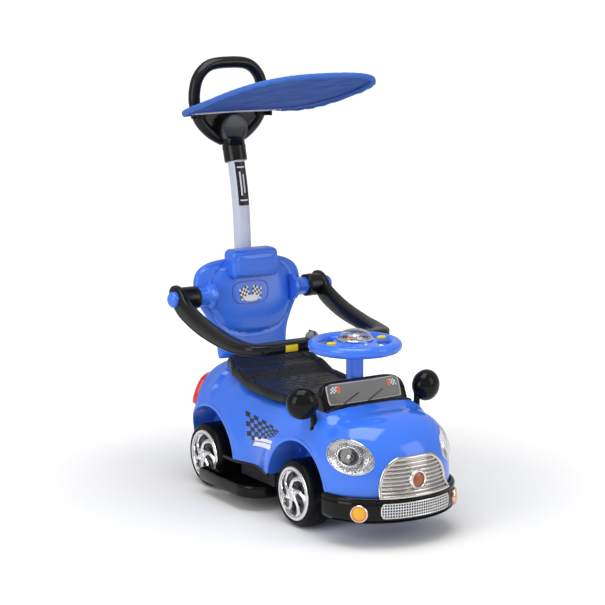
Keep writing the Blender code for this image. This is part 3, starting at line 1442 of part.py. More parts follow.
def make_guard_rail():
    """The black rail: two arms that sweep down from the pivots to a level front bar."""
    left = [Vector(stop[:3]) for stop in GUARD_PATH]
    sizes = [stop[3:] for stop in GUARD_PATH]
    right = [Vector((-p.x, p.y, p.z)) for p in left[:-1]][::-1]
    stops = left + right
    sizes += sizes[:-1][::-1]
    steps = 2
    path = smooth_path(stops, steps)
    rings = []
    for i, spot in enumerate(path):
        before, after = path[max(i - 1, 0)], path[min(i + 1, len(path) - 1)]
        ahead = (after - before).normalized()
        across = Vector((ahead.y, -ahead.x, 0.0)).normalized()
        up = across.cross(ahead).normalized()
        if up.z < 0:
            up, across = -up, -across
        a, b = sizes[min(i // steps, len(sizes) - 1)], sizes[min(i // steps + 1, len(sizes) - 1)]
        t = (i % steps) / steps
        width = a[0] + (b[0] - a[0]) * t
        height = a[1] + (b[1] - a[1]) * t
        rings.append([spot + across * u + up * v for u, v in bar_section(width, height)])
    rail = lofted("guard_rail", BLACK_GLOSS, rings)
    outer_face = GUARD_PIVOT_X + GUARD_ARM_WIDTH / 2
    for side_name, side in SIDES:
        bore = GUARD_PIN_RADIUS + RUNNING_GAP
        inner_end = (side * 0.15, GUARD_PIVOT_Y, GUARD_PIVOT_Z)
        pin_end = (side * (outer_face - BUTTON_POCKET - 0.003), GUARD_PIVOT_Y, GUARD_PIVOT_Z)
        pocket_end = (side * (outer_face - BUTTON_POCKET), GUARD_PIVOT_Y, GUARD_PIVOT_Z)
        outside = (side * 0.23, GUARD_PIVOT_Y, GUARD_PIVOT_Z)
        cut(rail, cylinder(f"cut_rail_bore_{side_name}", None, bore, inner_end, pin_end, 16, cutter=True))
        room = BUTTON_RADIUS + GAP
        cut(rail, cylinder(f"cut_button_{side_name}", None, room, pocket_end, outside, 24, cutter=True))
        pin_start = (side * (0.149 + GAP), GUARD_PIVOT_Y, GUARD_PIVOT_Z)
        pin_stop = (side * (outer_face - BUTTON_POCKET - 0.003 - GAP), GUARD_PIVOT_Y, GUARD_PIVOT_Z)
        cylinder(f"guard_pin_{side_name}", STEEL_ROD, GUARD_PIN_RADIUS, pin_start, pin_stop, 16)
        back = -BUTTON_POCKET + GAP + BUTTON_TRAVEL
        profile = [(BUTTON_RADIUS * math.sin(t), 0.0150 * math.cos(t)) for t in (0.0, 0.5, 0.95, 1.35)]
        profile += [(BUTTON_RADIUS, 0.0), (BUTTON_RADIUS, back), (0.0, back)]
        place = (side * outer_face, GUARD_PIVOT_Y, GUARD_PIVOT_Z)
        turned(f"guard_button_{side_name}", BLUE_GLOSS, profile, place, (0, side * math.pi / 2, 0), 16)
    latch = ball("guard_latch", SCREEN_GREY, (-0.021, GUARD_FRONT_Y, 0), (0.015, 0.013, 0.014), 20, 10)
    latch.location.z = GUARD_FRONT_Z + GUARD_FRONT_HEIGHT / 2 + GAP
    cut(latch, hollow("latch_foot", (-0.05, -0.10, 0.30), (0.01, -0.03, latch.location.z)))


make_guard_rail()


# Steering wheel

HUB_TOP_Z = 0.3770
HUB_RADIUS_TOP = 0.046
HUB_LOW_Z = 0.3540
SOCKET_TOP_Z = 0.3620
HORN_BASE_RADIUS = 0.0385
HORN_BASE_HEIGHT = 0.0050
DOME_RADIUS = 0.0350
DOME_HEIGHT = 0.0190
HORN_BUTTON_X = 0.0620
HORN_BUTTON_Y = COLUMN_Y - 0.006
HORN_BUTTON_TRAVEL = 0.0015


def make_steering_wheel():
    """The blue wheel: its rim, a dished hub and three spokes."""
    major = STEERING_WHEEL_RADIUS - STEERING_RIM_RADIUS
    points = []
    for k in range(24):
        turn = 2 * math.pi * k / 24
        points.append((major * math.cos(turn), COLUMN_Y + major * math.sin(turn), STEERING_WHEEL_Z))
    rim = tube("steering_wheel", BLUE_GLOSS, points, STEERING_RIM_RADIUS, closed=True, sides=2)
    bowl = [(0.0, HUB_TOP_Z), (HUB_RADIUS_TOP - 0.002, HUB_TOP_Z), (HUB_RADIUS_TOP, HUB_TOP_Z - 0.002)]
    bowl += [(HUB_RADIUS_TOP - 0.002, HUB_TOP_Z - 0.012), (0.030, HUB_LOW_Z), (0.0, HUB_LOW_Z)]
    hub = turned("add_hub", None, bowl, (0, COLUMN_Y, 0), (0, 0, 0), 24, cutter=True)
    spoke_top = HUB_TOP_Z - 0.0007
    front = block(
        "add_front_spoke",
        None,
        (-0.036, COLUMN_Y - major, STEERING_WHEEL_Z - 0.006),
        (0.036, COLUMN_Y - 0.030, spoke_top - 0.003),
        cutter=True,
    )
    sides = []
    for side_name, side in SIDES:
        low_x, high_x = sorted((side * 0.030, side * major))
        low = (low_x, HORN_BUTTON_Y - 0.015, STEERING_WHEEL_Z - 0.006)
        high = (high_x, HORN_BUTTON_Y + 0.015, spoke_top)
        sides.append(block(f"add_spoke_{side_name}", None, low, high, cutter=True))
    join(rim, hub, front, *sides)
    for side_name, side in SIDES:
        place = (side * HORN_BUTTON_X, HORN_BUTTON_Y, 0)
        pocket = [(0.0, 0.40), (1.0, 0.40), (1.0, spoke_top - 0.004), (0.0, spoke_top - 0.004)]
        hole = turned(f"cut_horn_button_{side_name}", None, pocket, place, (0, 0, 0), 20, cutter=True)
        hole.scale = (0.0110 + GAP, 0.0070 + GAP, 1.0)
        cut(rim, hole)
        foot = spoke_top - 0.004 + GAP + HORN_BUTTON_TRAVEL
        cap = [(0.0, 0.3805), (0.6, 0.3800), (0.9, 0.3788), (1.0, 0.3772), (1.0, foot), (0.0, foot)]
        button = turned(f"horn_button_{side_name}", YELLOW, cap, place, (0, 0, 0), 20)
        button.scale = (0.0110, 0.0070, 1.0)
    socket = COLUMN_RADIUS + GAP
    socket_low, socket_top = (0, COLUMN_Y, 0.30), (0, COLUMN_Y, SOCKET_TOP_Z)
    cut(rim, cylinder("cut_socket", None, socket, socket_low, socket_top, 32, cutter=True))
    start, end = (0, COLUMN_Y, COLUMN_FOOT_Z), (0, COLUMN_Y, SOCKET_TOP_Z - GAP)
    column = cylinder("steering_column", BLUE_GLOSS, COLUMN_RADIUS, start, end, 32)
    bore = ROD_RADIUS + GAP
    rod_end = (0, COLUMN_Y, STEERING_ROD_TOP_Z + GAP)
    cut(column, cylinder("cut_rod_socket", None, bore, (0, COLUMN_Y, 0.22), rod_end, 20, cutter=True))
    base_z = HUB_TOP_Z + GAP
    profile = [(0.0, HORN_BASE_HEIGHT), (HORN_BASE_RADIUS - 0.0015, HORN_BASE_HEIGHT)]
    profile += [(HORN_BASE_RADIUS, HORN_BASE_HEIGHT - 0.0015), (HORN_BASE_RADIUS, 0.0), (0.0, 0.0)]
    turned("horn_module", CHROME_PLATE, profile, (0, COLUMN_Y, base_z), (0, 0, 0), 24)
    dome_z = base_z + HORN_BASE_HEIGHT + GAP
    angles = (0.0, 0.45, 0.9, 1.25)
    shell = 0.0015
    outer_arc = [(DOME_RADIUS * math.sin(t), DOME_HEIGHT * math.cos(t)) for t in angles]
    outer_arc.append((DOME_RADIUS, 0.0))
    inner_radius, inner_height = DOME_RADIUS - shell, DOME_HEIGHT - shell
    inner_arc = [(inner_radius, 0.0)]
    inner_arc += [(inner_radius * math.sin(t), inner_height * math.cos(t)) for t in angles[::-1]]
    turned("horn_dome", CLEAR, outer_arc + inner_arc, (0, COLUMN_Y, dome_z), (0, 0, 0), 24)


make_steering_wheel()


# Push bar and grip

PUSH_BAR_STOPS = (
    (0, PUSH_BAR_Y, PUSH_BAR_FOOT_Z + GAP),
    (0, PUSH_BAR_Y, 0.30),
    (0, PUSH_BAR_Y, 0.44),
    (0, PUSH_BAR_Y, 0.5103),
    (0, PUSH_BAR_Y + 0.0090, 0.6173),
    (0, PUSH_BAR_Y + 0.0240, 0.690),
    (0, PUSH_BAR_Y + 0.0310, 0.715),
    (0, PUSH_BAR_Y + 0.0361, 0.733),
)
COLLAR_RADIUS = 0.0255
GRIP_HUB_Z = 0.7725
GRIP_HUB_RADIUS = 0.0345
GRIP_HUB_FRONT_Y = 0.2845
GRIP_BADGE_RADIUS = 0.0330
GRIP_WEB = 0.014
CLIP_Z = 0.8040
CLIP_GROOVE = 0.0031
GRIP_TUBE_TOP_Z = GRIP_TOP_Z - GRIP_TUBE_RADIUS
GRIP_SHAPE = (
    (0.0, 0.0),
    (0.0480, -0.005),
    (0.0760, -0.028),
    (0.0870, -0.062),
    (0.0855, -0.097),
    (0.0730, -0.128),
    (0.0470, -0.154),
    (0.0170, -0.171),
)


def push_bar_path():
    stops = [Vector(stop) for stop in PUSH_BAR_STOPS]
    return stops[:3] + smooth_path(stops[3:], 2)


def grip_half():
    return [(x, GRIP_Y, GRIP_TUBE_TOP_Z + z) for x, z in GRIP_SHAPE]


def grip_loop():
    loop = grip_half() + [(-x, y, z) for x, y, z in grip_half()[1:][::-1]]
    return smooth_path(loop + loop[:1], 2)[:-1]


def make_grip():
    """The black D-shaped grip with its hub, web and collar, bored for the push bar."""
    grip = tube("push_grip", BLACK_GLOSS, grip_loop(), GRIP_TUBE_RADIUS, closed=True, sides=2)
    lower = [point for point in grip_half() if point[2] < 0.835]
    outline = [(x, z) for x, _, z in lower] + [(-x, z) for x, _, z in lower[::-1]]
    web = plate("add_web", None, outline, GRIP_WEB, (0, GRIP_Y, 0), (math.pi / 2, 0, 0), cutter=True)
    gap_box = block("cut_hand_gap", None, (-0.065, 0.27, 0.8130), (0.065, 0.34, 0.86), cutter=True)
    cut(web, gap_box)
    hub_start = (0, GRIP_HUB_FRONT_Y, GRIP_HUB_Z)
    hub_end = (0, GRIP_Y + 0.010, GRIP_HUB_Z)
    hub = cylinder("add_grip_hub", None, GRIP_HUB_RADIUS, hub_start, hub_end, 32, cutter=True)
    low, high = Vector((0, PUSH_BAR_Y + 0.0268, 0.7000)), Vector((0, PUSH_BAR_Y + 0.0400, 0.7470))
    collar = cylinder("add_collar", None, COLLAR_RADIUS, low, high, 28, cutter=True)
    join(grip, web, hub, collar)
    foot = Vector(PUSH_BAR_STOPS[-3])
    top = Vector(PUSH_BAR_STOPS[-1])
    ahead = (top - foot).normalized()
    bore = PUSH_BAR_RADIUS + 0.0006
    start = foot - ahead * 0.03
    face_start = (0, GRIP_HUB_FRONT_Y - 0.05, GRIP_HUB_Z)
    face = cylinder("cut_hub_face", None, GRIP_BADGE_RADIUS + GAP, face_start, hub_start, 32, cutter=True)
    sleeve = cylinder("cut_grip_bore", None, bore, start, top + ahead * GAP, 28, cutter=True)
    return cut(grip, face, sleeve)


def make_canopy_clip(side_name, side):
    """A saddle on the grip's lower corner whose grooved tongue carries the canopy's wire."""
    low_x, high_x = sorted((side * (CLIP_X - 0.0260), side * (CLIP_X + 0.0070)))
    low = (low_x, CANOPY_HINGE_Y + 0.0100, CLIP_Z - 0.0085)
    high = (high_x, GRIP_Y, CLIP_Z + 0.0085)
    clip = block(f"canopy_clip_{side_name}", BLACK_SATIN, low, high, 0.0012)
    near_x, far_x = sorted((side * (CLIP_X - 0.0033), side * (CLIP_X + 0.0033)))
    tongue_low = (near_x, CANOPY_HINGE_Y - 0.0055, CLIP_Z - 0.0075)
    tongue_high = (far_x, CANOPY_HINGE_Y + 0.0120, CANOPY_HINGE_Z - 0.0012)
    join(clip, block(f"add_clip_{side_name}", None, tongue_low, tongue_high, cutter=True))
    tube_room = tube(f"cut_clip_tube_{side_name}", None, grip_loop(), GRIP_TUBE_RADIUS + GAP, True, 2, True)
    web_low = (-CLIP_X + 0.010, GRIP_Y - GRIP_WEB / 2 - GAP, CLIP_Z - 0.05)
    web_high = (CLIP_X - 0.010, GRIP_Y + 0.05, CLIP_Z + 0.05)
    web_room = block(f"cut_clip_web_{side_name}", None, web_low, web_high, cutter=True)
    start = (low_x - 0.01, CANOPY_HINGE_Y, CANOPY_HINGE_Z)
    end = (high_x + 0.01, CANOPY_HINGE_Y, CANOPY_HINGE_Z)
    groove = cylinder(f"cut_clip_groove_{side_name}", None, CLIP_GROOVE, start, end, 16, cutter=True)
    cut(clip, tube_room, web_room, groove)


tube("push_bar", BAR_SILVER, push_bar_path(), PUSH_BAR_RADIUS, sides=5)
make_grip()
for side_name, side in SIDES:
    make_canopy_clip(side_name, side)
badge_profile = [(0.0, 0.0030), (0.026, 0.0030), (0.028, 0.0042), (GRIP_BADGE_RADIUS - 0.0005, 0.0036)]
badge_profile += [(GRIP_BADGE_RADIUS, 0.0), (0.0, 0.0)]
badge_place = (0, GRIP_HUB_FRONT_Y - GAP, GRIP_HUB_Z)
turned("grip_badge", SCREEN_GREY, badge_profile, badge_place, (math.pi / 2, 0, 0), 32)


# Canopy

def canopy_point(turn, share, drop=0.0):
    """A point of the canopy: turn runs round its rim and share from the middle out to the rim."""
    c, s = math.cos(turn), math.sin(turn)
    x = CANOPY_HALF_WIDTH * share * math.copysign(abs(c) ** (2 / CANOPY_EXPONENT), c)
    y = CANOPY_HALF_LENGTH * share * math.copysign(abs(s) ** (2 / CANOPY_EXPONENT), s)
    z = CANOPY_CENTRE_Z - CANOPY_SLOPE * y - 0.222 * x * x + 0.089 * y * y
    return (x, CANOPY_CENTRE_Y + y, z - drop)


def make_canopy():
    """A taut cloth skin with rounded corners, and the wire hoop below its rim."""
    count, rings = 36, 4
    shares = [0.001] + [((k + 1) / rings) ** 0.8 for k in range(rings)]

    def fill(work):
        turns = [2 * math.pi * k / count for k in range(count)]
        layers = []
        for drop in (0.0, CANOPY_THICKNESS):
            loops = [[canopy_point(turn, share, drop) for turn in turns] for share in shares]
            layers.append([[work.verts.new(point) for point in loop] for loop in loops])
        for layer in layers:
            work.faces.new(layer[0])
            for near, far in zip(layer, layer[1:]):
                for k in range(count):
                    j = (k + 1) % count
                    work.faces.new((near[k], near[j], far[j], far[k]))
        top, bottom = layers[0][-1], layers[1][-1]
        for k in range(count):
            j = (k + 1) % count
            work.faces.new((top[k], top[j], bottom[j], bottom[k]))

    add_object("canopy_cloth", mesh_from(fill, "canopy_cloth"), CLOTH_BLUE)
    drop = CANOPY_THICKNESS + CANOPY_HOOP_RADIUS + GAP
    inset = 1 - 0.003 / CANOPY_HALF_WIDTH
    hoop = [canopy_point(2 * math.pi * k / 36, inset, drop) for k in range(36)]
    tube("canopy_frame", BAR_SILVER, hoop, CANOPY_HOOP_RADIUS, closed=True, sides=0)


make_canopy()


# Joint axes: each moving group hangs from an empty on its own axis

def hang(pivot_name, place, *names):
    """Puts an empty on a joint axis and hangs the named pieces from it where they are."""
    pivot = bpy.data.objects.new(pivot_name, None)
    CAR.objects.link(pivot)
    pivot.empty_display_size = 0.02
    pivot.parent = BASE
    pivot.location = place
    for name in names:
        piece = bpy.data.objects[name]
        piece.parent = pivot
        piece.location = Vector(piece.location) - Vector(place)


guard_place = (0, GUARD_PIVOT_Y, GUARD_PIVOT_Z)
column_place = (0, COLUMN_Y, COLUMN_FOOT_Z)
steered = ("steering_wheel", "steering_column", "steering_rod", "horn_module", "horn_dome")
hang("seat_axis", (0, SEAT_PIN_Y, SEAT_PIN_Z), "seat_lid")
hang("guard_axis", guard_place, "guard_rail", "guard_latch")
hang("steering_axis", column_place, *steered)
hang("tie_rod_axis", (0, crank_pin_y, tie_rod_low_z), "tie_rod")
hang("canopy_axis", (0, CANOPY_HINGE_Y, CANOPY_HINGE_Z), "canopy_cloth", "canopy_frame")
for side_name, side in SIDES:
    kingpin_place = (side * KINGPIN_X, -HALF_WHEELBASE, WHEEL_RADIUS)
    hang(f"knuckle_axis_{side_name}", kingpin_place, f"knuckle_{side_name}")
    for end_name, end in (("front", -1), ("rear", 1)):
        hub = (side * (WHEEL_OUTER_X - WHEEL_WIDTH / 2), end * HALF_WHEELBASE, WHEEL_RADIUS)
        wheel = f"{end_name}_{side_name}"
        hang(f"wheel_axis_{wheel}", hub, f"{wheel}_tyre", f"{wheel}_hubcap")
    button_place = (side * (GUARD_PIVOT_X + GUARD_ARM_WIDTH / 2), GUARD_PIVOT_Y, GUARD_PIVOT_Z)
    hang(f"guard_button_axis_{side_name}", button_place, f"guard_button_{side_name}")
    horn_place = (side * HORN_BUTTON_X, HORN_BUTTON_Y, HUB_TOP_Z)
    hang(f"horn_button_axis_{side_name}", horn_place, f"horn_button_{side_name}")
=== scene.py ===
"""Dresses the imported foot-to-floor ride-on car: finished materials, detailed pieces, light and camera."""
import math

import bmesh
import bpy
from mathutils import Matrix, Vector
from mathutils.bvhtree import BVHTree


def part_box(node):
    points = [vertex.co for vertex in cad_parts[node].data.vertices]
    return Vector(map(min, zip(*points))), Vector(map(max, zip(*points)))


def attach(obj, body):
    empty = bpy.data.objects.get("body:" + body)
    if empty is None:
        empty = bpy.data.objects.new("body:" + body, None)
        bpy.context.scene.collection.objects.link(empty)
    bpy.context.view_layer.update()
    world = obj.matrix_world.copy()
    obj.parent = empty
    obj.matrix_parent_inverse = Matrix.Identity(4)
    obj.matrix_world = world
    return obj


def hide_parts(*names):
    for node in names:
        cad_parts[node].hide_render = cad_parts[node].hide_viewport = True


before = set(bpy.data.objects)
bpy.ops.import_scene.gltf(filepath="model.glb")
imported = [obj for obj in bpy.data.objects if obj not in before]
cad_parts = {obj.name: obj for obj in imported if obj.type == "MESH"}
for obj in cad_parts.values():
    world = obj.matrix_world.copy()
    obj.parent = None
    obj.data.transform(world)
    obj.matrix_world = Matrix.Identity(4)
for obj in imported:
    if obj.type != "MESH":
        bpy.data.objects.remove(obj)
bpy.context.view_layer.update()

# Places taken from the frame, in metres


def node_box(node):
    low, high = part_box(node)
    return Vector(low), Vector(high)


def node_middle(node):
    low, high = node_box(node)
    return (low + high) / 2


AXLE_MIDDLE_Y = (node_middle("front_right_tyre").y + node_middle("rear_right_tyre").y) / 2
WHEEL_OUTER_X = node_box("rear_left_tyre")[1].x
SIDES = (("right", -1), ("left", 1))
SHIFT = Vector((0, AXLE_MIDDLE_Y, 0))
UP, BACK, AHEAD, LEFT = Vector((0, 0, 1)), Vector((0, 1, 0)), Vector((0, -1, 0)), Vector((1, 0, 0))

# Materials, each with a record slot noted against its name

SLOT_OF = {}


def shader_of(name, slot=None):
    material = bpy.data.materials.new(name)
    material.use_nodes = True
    SLOT_OF[material.name] = slot
    tree = material.node_tree
    return material, tree, tree.nodes["Principled BSDF"]


def set_sockets(tree, node, values):
    """Sets a node's sockets: a plain value stays on the socket, another node's output is linked."""
    for name, value in values.items():
        if isinstance(value, bpy.types.NodeSocket):
            tree.links.new(value, node.inputs[name])
        else:
            node.inputs[name].default_value = value
    return node


def new_node(tree, kind, values=None, **settings):
    node = tree.nodes.new("ShaderNode" + kind)
    for setting, value in settings.items():
        setattr(node, setting, value)
    return set_sockets(tree, node, values or {})


def noise(tree, scale, detail=4.0, roughness=0.55, stretch=(1, 1, 1)):
    """A noise texture over the object's own coordinates, stretched along its axes."""
    place = new_node(tree, "TexCoord").outputs["Object"]
    mapping = new_node(tree, "Mapping", {"Vector": place, "Scale": stretch}).outputs["Vector"]
    values = {"Vector": mapping, "Scale": scale, "Detail": detail, "Roughness": roughness}
    return new_node(tree, "TexNoise", values).outputs["Fac"]


def spread(tree, source, low, high):
    """Turns a texture's 0 to 1 into a range."""
    values = {"Value": source, "From Min": 0.3, "From Max": 0.7, "To Min": low, "To Max": high}
    return new_node(tree, "MapRange", values).outputs["Result"]


def bump(tree, height, strength, distance, under=None):
    """Relief from a texture, over another relief where one is given."""
    values = {"Height": height, "Strength": strength, "Distance": distance}
    if under is not None:
        values["Normal"] = under
    return new_node(tree, "Bump", values).outputs["Normal"]


def tint(tree, colour, shade, source):
    """A colour mixed with a slightly different shade of it by a texture."""
    other = [min(part * shade, 1.0) for part in colour]
    values = {"A": (*colour, 1), "B": (*other, 1), "Factor": source}
    return new_node(tree, "Mix", values, data_type="RGBA").outputs["Result"]


def plastic(name, slot, colour, roughness=0.3, shade=0.93, grain=0.06, grain_scale=900, coat=0.0, wave=0.10,
            ior=1.48):
    """Moulded plastic: slow waves in the gloss, a fine skin and a faint change of shade."""
    material, tree, shader = shader_of(name, slot)
    waves = bump(tree, noise(tree, 9, 1.5, 0.4), wave, 0.004)
    set_sockets(tree, shader, {
        "IOR": ior,
        "Coat Weight": coat,
        "Coat Roughness": 0.04,
        "Base Color": tint(tree, colour, shade, noise(tree, 14, 3)),
        "Roughness": spread(tree, noise(tree, 46, 4, 0.6), roughness * 0.8, roughness * 1.3),
        "Normal": bump(tree, noise(tree, grain_scale, 2, 0.5), grain, 0.0002, waves),
    })
    return material


def chrome(name, colour=(0.86, 0.86, 0.87), roughness=0.07, wave=0.25, scale=55):
    """Plating over plastic, with the slight ripple that a moulding leaves in it."""
    material, tree, shader = shader_of(name, "chrome_plate")
    set_sockets(tree, shader, {
        "Metallic": 1.0,
        "Base Color": tint(tree, colour, 0.93, noise(tree, 22, 3)),
        "Roughness": spread(tree, noise(tree, 70, 4, 0.6), roughness * 0.7, roughness * 1.5),
        "Normal": bump(tree, noise(tree, scale, 2, 0.5), wave, 0.0012),
    })
    return material


def clear(name, roughness=0.02, ior=1.45):
    material, tree, shader = shader_of(name, "clear_lens")
    set_sockets(tree, shader, {
        "Base Color": (1, 1, 1, 1),
        "Transmission Weight": 1.0,
        "IOR": ior,
        "Roughness": spread(tree, noise(tree, 30, 2), roughness, roughness * 2.5),
    })
    return material


def cloth(name, colour, shade, thread=1500):
    """Woven polyester: crossing threads, mottled shade and a soft sheen."""
    material, tree, shader = shader_of(name, "cloth_blue")
    stretches = enumerate(((1, 0.12, 1), (0.12, 1, 1)))
    threads = {k: noise(tree, thread, 1, 0.5, stretch) for k, stretch in stretches}
    weave = new_node(tree, "Math", threads, operation="MAXIMUM").outputs["Value"]
    set_sockets(tree, shader, {
        "Roughness": 0.82,
        "Sheen Weight": 0.04,
        "Sheen Roughness": 0.45,
        "Sheen Tint": (0.6, 0.7, 1.0, 1),
        "Base Color": tint(tree, colour, shade, noise(tree, 60, 6, 0.7)),
        "Normal": bump(tree, weave, 0.35, 0.0006),
    })
    return material


BLUE = (0.045, 0.195, 0.90)
DEEP_BLACK = (0.004, 0.004, 0.0045)
BODY_BLUE = plastic("body_blue", "blue_gloss", BLUE, 0.13, 0.90, 0.04, 900, 0.25, 0.06)
SEAT_BLUE = plastic("back_blue", "blue_gloss", BLUE, 0.16, 0.92, 0.05, 900, 0.2, 0.08)
GLOSS_BLACK = plastic("gloss_black", "black_gloss", DEEP_BLACK, 0.08, 1.5, 0.05, 900, 0.0, 0.08, 1.28)
RAIL_BLACK = plastic(
    "rail_black", "black_gloss", (0.006, 0.006, 0.0065), 0.18, 1.5, 0.16, 700, 0.0, 0.10, 1.36
)
SATIN_BLACK = plastic(
    "satin_black", "black_satin", (0.008, 0.008, 0.009), 0.30, 1.5, 0.30, 520, 0.0, 0.10, 1.38
)
TYRE_BLACK = plastic("tyre_black", "tyre_black", DEEP_BLACK, 0.26, 1.6, 0.22, 600, 0.0, 0.14, 1.22)
DARK = plastic("dark_recess", "black_gloss", (0.006, 0.006, 0.007), 0.5, 1.4, 0.2, 500)
CHROME = chrome("chrome_trim")
LAMP_CHROME = chrome("lamp_chrome", (0.60, 0.60, 0.61), 0.07, 0.9, 260)
GRILLE_CHROME = chrome("grille_chrome", (0.70, 0.66, 0.62), 0.08, 0.6, 60)
GRILLE_SHADE = chrome("grille_shade", (0.34, 0.32, 0.32), 0.22)
MESH_SILVER = chrome("mesh_silver", (0.78, 0.78, 0.78), 0.22, 0.3, 90)
CAP_DARK = chrome("cap_recess", (0.10, 0.10, 0.11), 0.25)
FOG_RING = chrome("fog_ring", (0.90, 0.62, 0.56), 0.10)
MIRROR_GLASS = chrome("mirror_glass", (0.88, 0.89, 0.91), 0.03, 0.05)
BADGE_AMBER = plastic("badge_amber", "chrome_plate", (0.42, 0.115, 0.030), 0.16, 0.8, 0.10, 300, 0.3)
HORN_PRINT = plastic("horn_print", "chrome_plate", (0.30, 0.33, 0.45), 0.2, 0.7)
CLEAR = clear("clear_plastic")
AMBER = plastic("amber_lens", "amber_lens", (0.98, 0.50, 0.02), 0.10, 0.82, 0.05, 200, 0.4)
RED = plastic("red_lens", "red_lens", (0.86, 0.020, 0.012), 0.10, 0.85, 0.05, 200, 0.5)
YELLOW = plastic("yellow_button", "yellow_button", (0.88, 0.66, 0.02), 0.2, 0.9)
SCREEN_GREY = plastic("screen_grey", "screen_grey", (0.105, 0.102, 0.098), 0.18, 1.25, 0.05, 500, 0.2)
PRINT_SILVER = plastic("print_silver", "screen_grey", (0.55, 0.55, 0.56), 0.25, 0.9)
PRINT_BLACK = plastic("print_black", "black_gloss", (0.010, 0.010, 0.010), shade=1.3)
PRINT_WHITE = plastic("print_white", "black_gloss", (0.86, 0.87, 0.90), shade=0.96)
PRINT_ORANGE = plastic("print_orange", "screen_grey", (0.90, 0.16, 0.02), shade=0.9)
PRINT_GREY = plastic("print_grey", "blue_gloss", (0.055, 0.085, 0.20), shade=1.2)
LATCH_GREY = plastic("latch_grey", "black_gloss", (0.16, 0.16, 0.17), 0.35, 1.2)
DISC_GREY = plastic("disc_grey", "black_gloss", (0.018, 0.019, 0.024), 0.2, 1.2, 0.05, 500, 0.2)
DISC_RIM = plastic("disc_rim", "black_gloss", (0.050, 0.052, 0.060), 0.14, 1.2, 0.05, 500, 0.3)
BAR_SILVER = plastic("bar_silver", "bar_silver", (0.66, 0.69, 0.80), 0.24, 0.96, 0.10, 700, 0.1)
# The canopy's cloth and hem are one fabric in two colours: the cloth is painted darker as painted shade, and
# the hem lighter as painted light from the top lamp.
CLOTH_BLUE_PAINTED_SHADE = cloth("canopy_blue_painted_shade", (0.008, 0.055, 0.27), 1.5)
HEM_BLUE_PAINTED_LIGHT = cloth("hem_blue_painted_light", (0.030, 0.115, 0.44), 1.25)

# Mesh helpers


def add_piece(name, mesh, material, replaced=(), body="car", slot=None, shift=True):
    """Links a mesh as a piece that rides on a body and may replace nodes; its record slot is worked out but
    kept nowhere.
    """
    if shift:
        mesh.transform(Matrix.Translation(SHIFT))
    piece = bpy.data.objects.new(name, mesh)
    bpy.context.scene.collection.objects.link(piece)
    mesh.materials.clear()
    mesh.materials.append(material)
    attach(piece, body)
    if slot is None:
        slot = SLOT_OF[material.name]
    if replaced:
        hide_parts(*replaced)
    return piece


def smoothed(mesh, angle):
    mesh.shade_smooth()
    mesh.set_sharp_from_angle(angle=math.radians(angle))
    return mesh


def to_mesh(work, name, angle=40, weld=0.00002):
    if weld:
        bmesh.ops.remove_doubles(work, verts=work.verts, dist=weld)
    bmesh.ops.recalc_face_normals(work, faces=work.faces)
    mesh = bpy.data.meshes.new(name)
    work.to_mesh(mesh)
    work.free()
    return smoothed(mesh, angle)


def grid_faces(work, rows, close_across=False, close_along=False):
    """Skins rows of points, joined across each row and along the rows where asked."""
    grid = [[work.verts.new(point) for point in row] for row in rows]
    rows_count, count = len(grid), len(grid[0])
    for i in range(rows_count if close_along else rows_count - 1):
        near, far = grid[i], grid[(i + 1) % rows_count]
        for k in range(count if close_across else count - 1):
            j = (k + 1) % count
            work.faces.new([near[k], near[j], far[j], far[k]])
    return grid


def loft(rows, name, caps=True, angle=40, close_along=False):
    """A skin through closed rings, with filled ends unless the rings close on each other."""
    work = bmesh.new()
    grid = grid_faces(work, rows, True, close_along)
    if caps and not close_along:
        work.faces.new(grid[0])
        work.faces.new(grid[-1])
    return to_mesh(work, name, angle)


def slab(near, far, name, angle=40, ends=True):
    """A closed solid between two grids of points; rows that fold onto themselves need no ends."""
    work = bmesh.new()
    grids = [grid_faces(work, rows) for rows in (near, far)]
    last_row, last = len(near) - 1, len(near[0]) - 1
    edge = [(0, k) for k in range(last)] + [(i, last) for i in range(last_row)]
    edge += [(last_row, k) for k in range(last, 0, -1)] + [(i, 0) for i in range(last_row, 0, -1)]
    for (a, b), (c, d) in zip(edge, edge[1:] + edge[:1]):
        if a != c or ends:
            work.faces.new((grids[0][a][b], grids[0][c][d], grids[1][c][d], grids[1][a][b]))
    return to_mesh(work, name, angle)


def sheet_mesh(name, rows, columns, spot_at, low, high, angle=40):
    """A thin closed solid over a surface: spot_at(v, u, lift) runs along the rows, then across."""
    near, far = [
        [[spot_at(i / rows, k / columns, lift) for k in range(columns + 1)] for i in range(rows + 1)]
        for lift in (low, high)
    ]
    return slab(near, far, name, angle)


def turns_of(count):
    return [2 * math.pi * k / count for k in range(count)]


def turn_mesh(profile, name, matrix=Matrix(), steps=64, angle=35, stretch=(1, 1)):
    """A profile of (radius, height) turned about local Z, then placed by the matrix."""
    rows = []
    for a in turns_of(steps):
        rows.append([(r * math.cos(a) * stretch[0], r * math.sin(a) * stretch[1], z) for r, z in profile])
    work = bmesh.new()
    grid_faces(work, rows, False, True)
    mesh = to_mesh(work, name, angle)
    mesh.transform(matrix)
    return mesh


def plug(radius, low, high, matrix, steps=48):
    """A plain cylinder, for cutting bores."""
    return turn_mesh(((0, low), (radius, low), (radius, high), (0, high)), "plug", matrix, steps)


def ring_of_studs(name, stud, spots, matrix, steps, angle=35):
    """Copies of one small turned profile at (x, y, z) spots of a plane, joined and placed."""
    studs = [turn_mesh(stud, "stud", Matrix.Translation(spot), steps, angle) for spot in spots]
    mesh = merged(name, studs)
    mesh.transform(matrix)
    return mesh


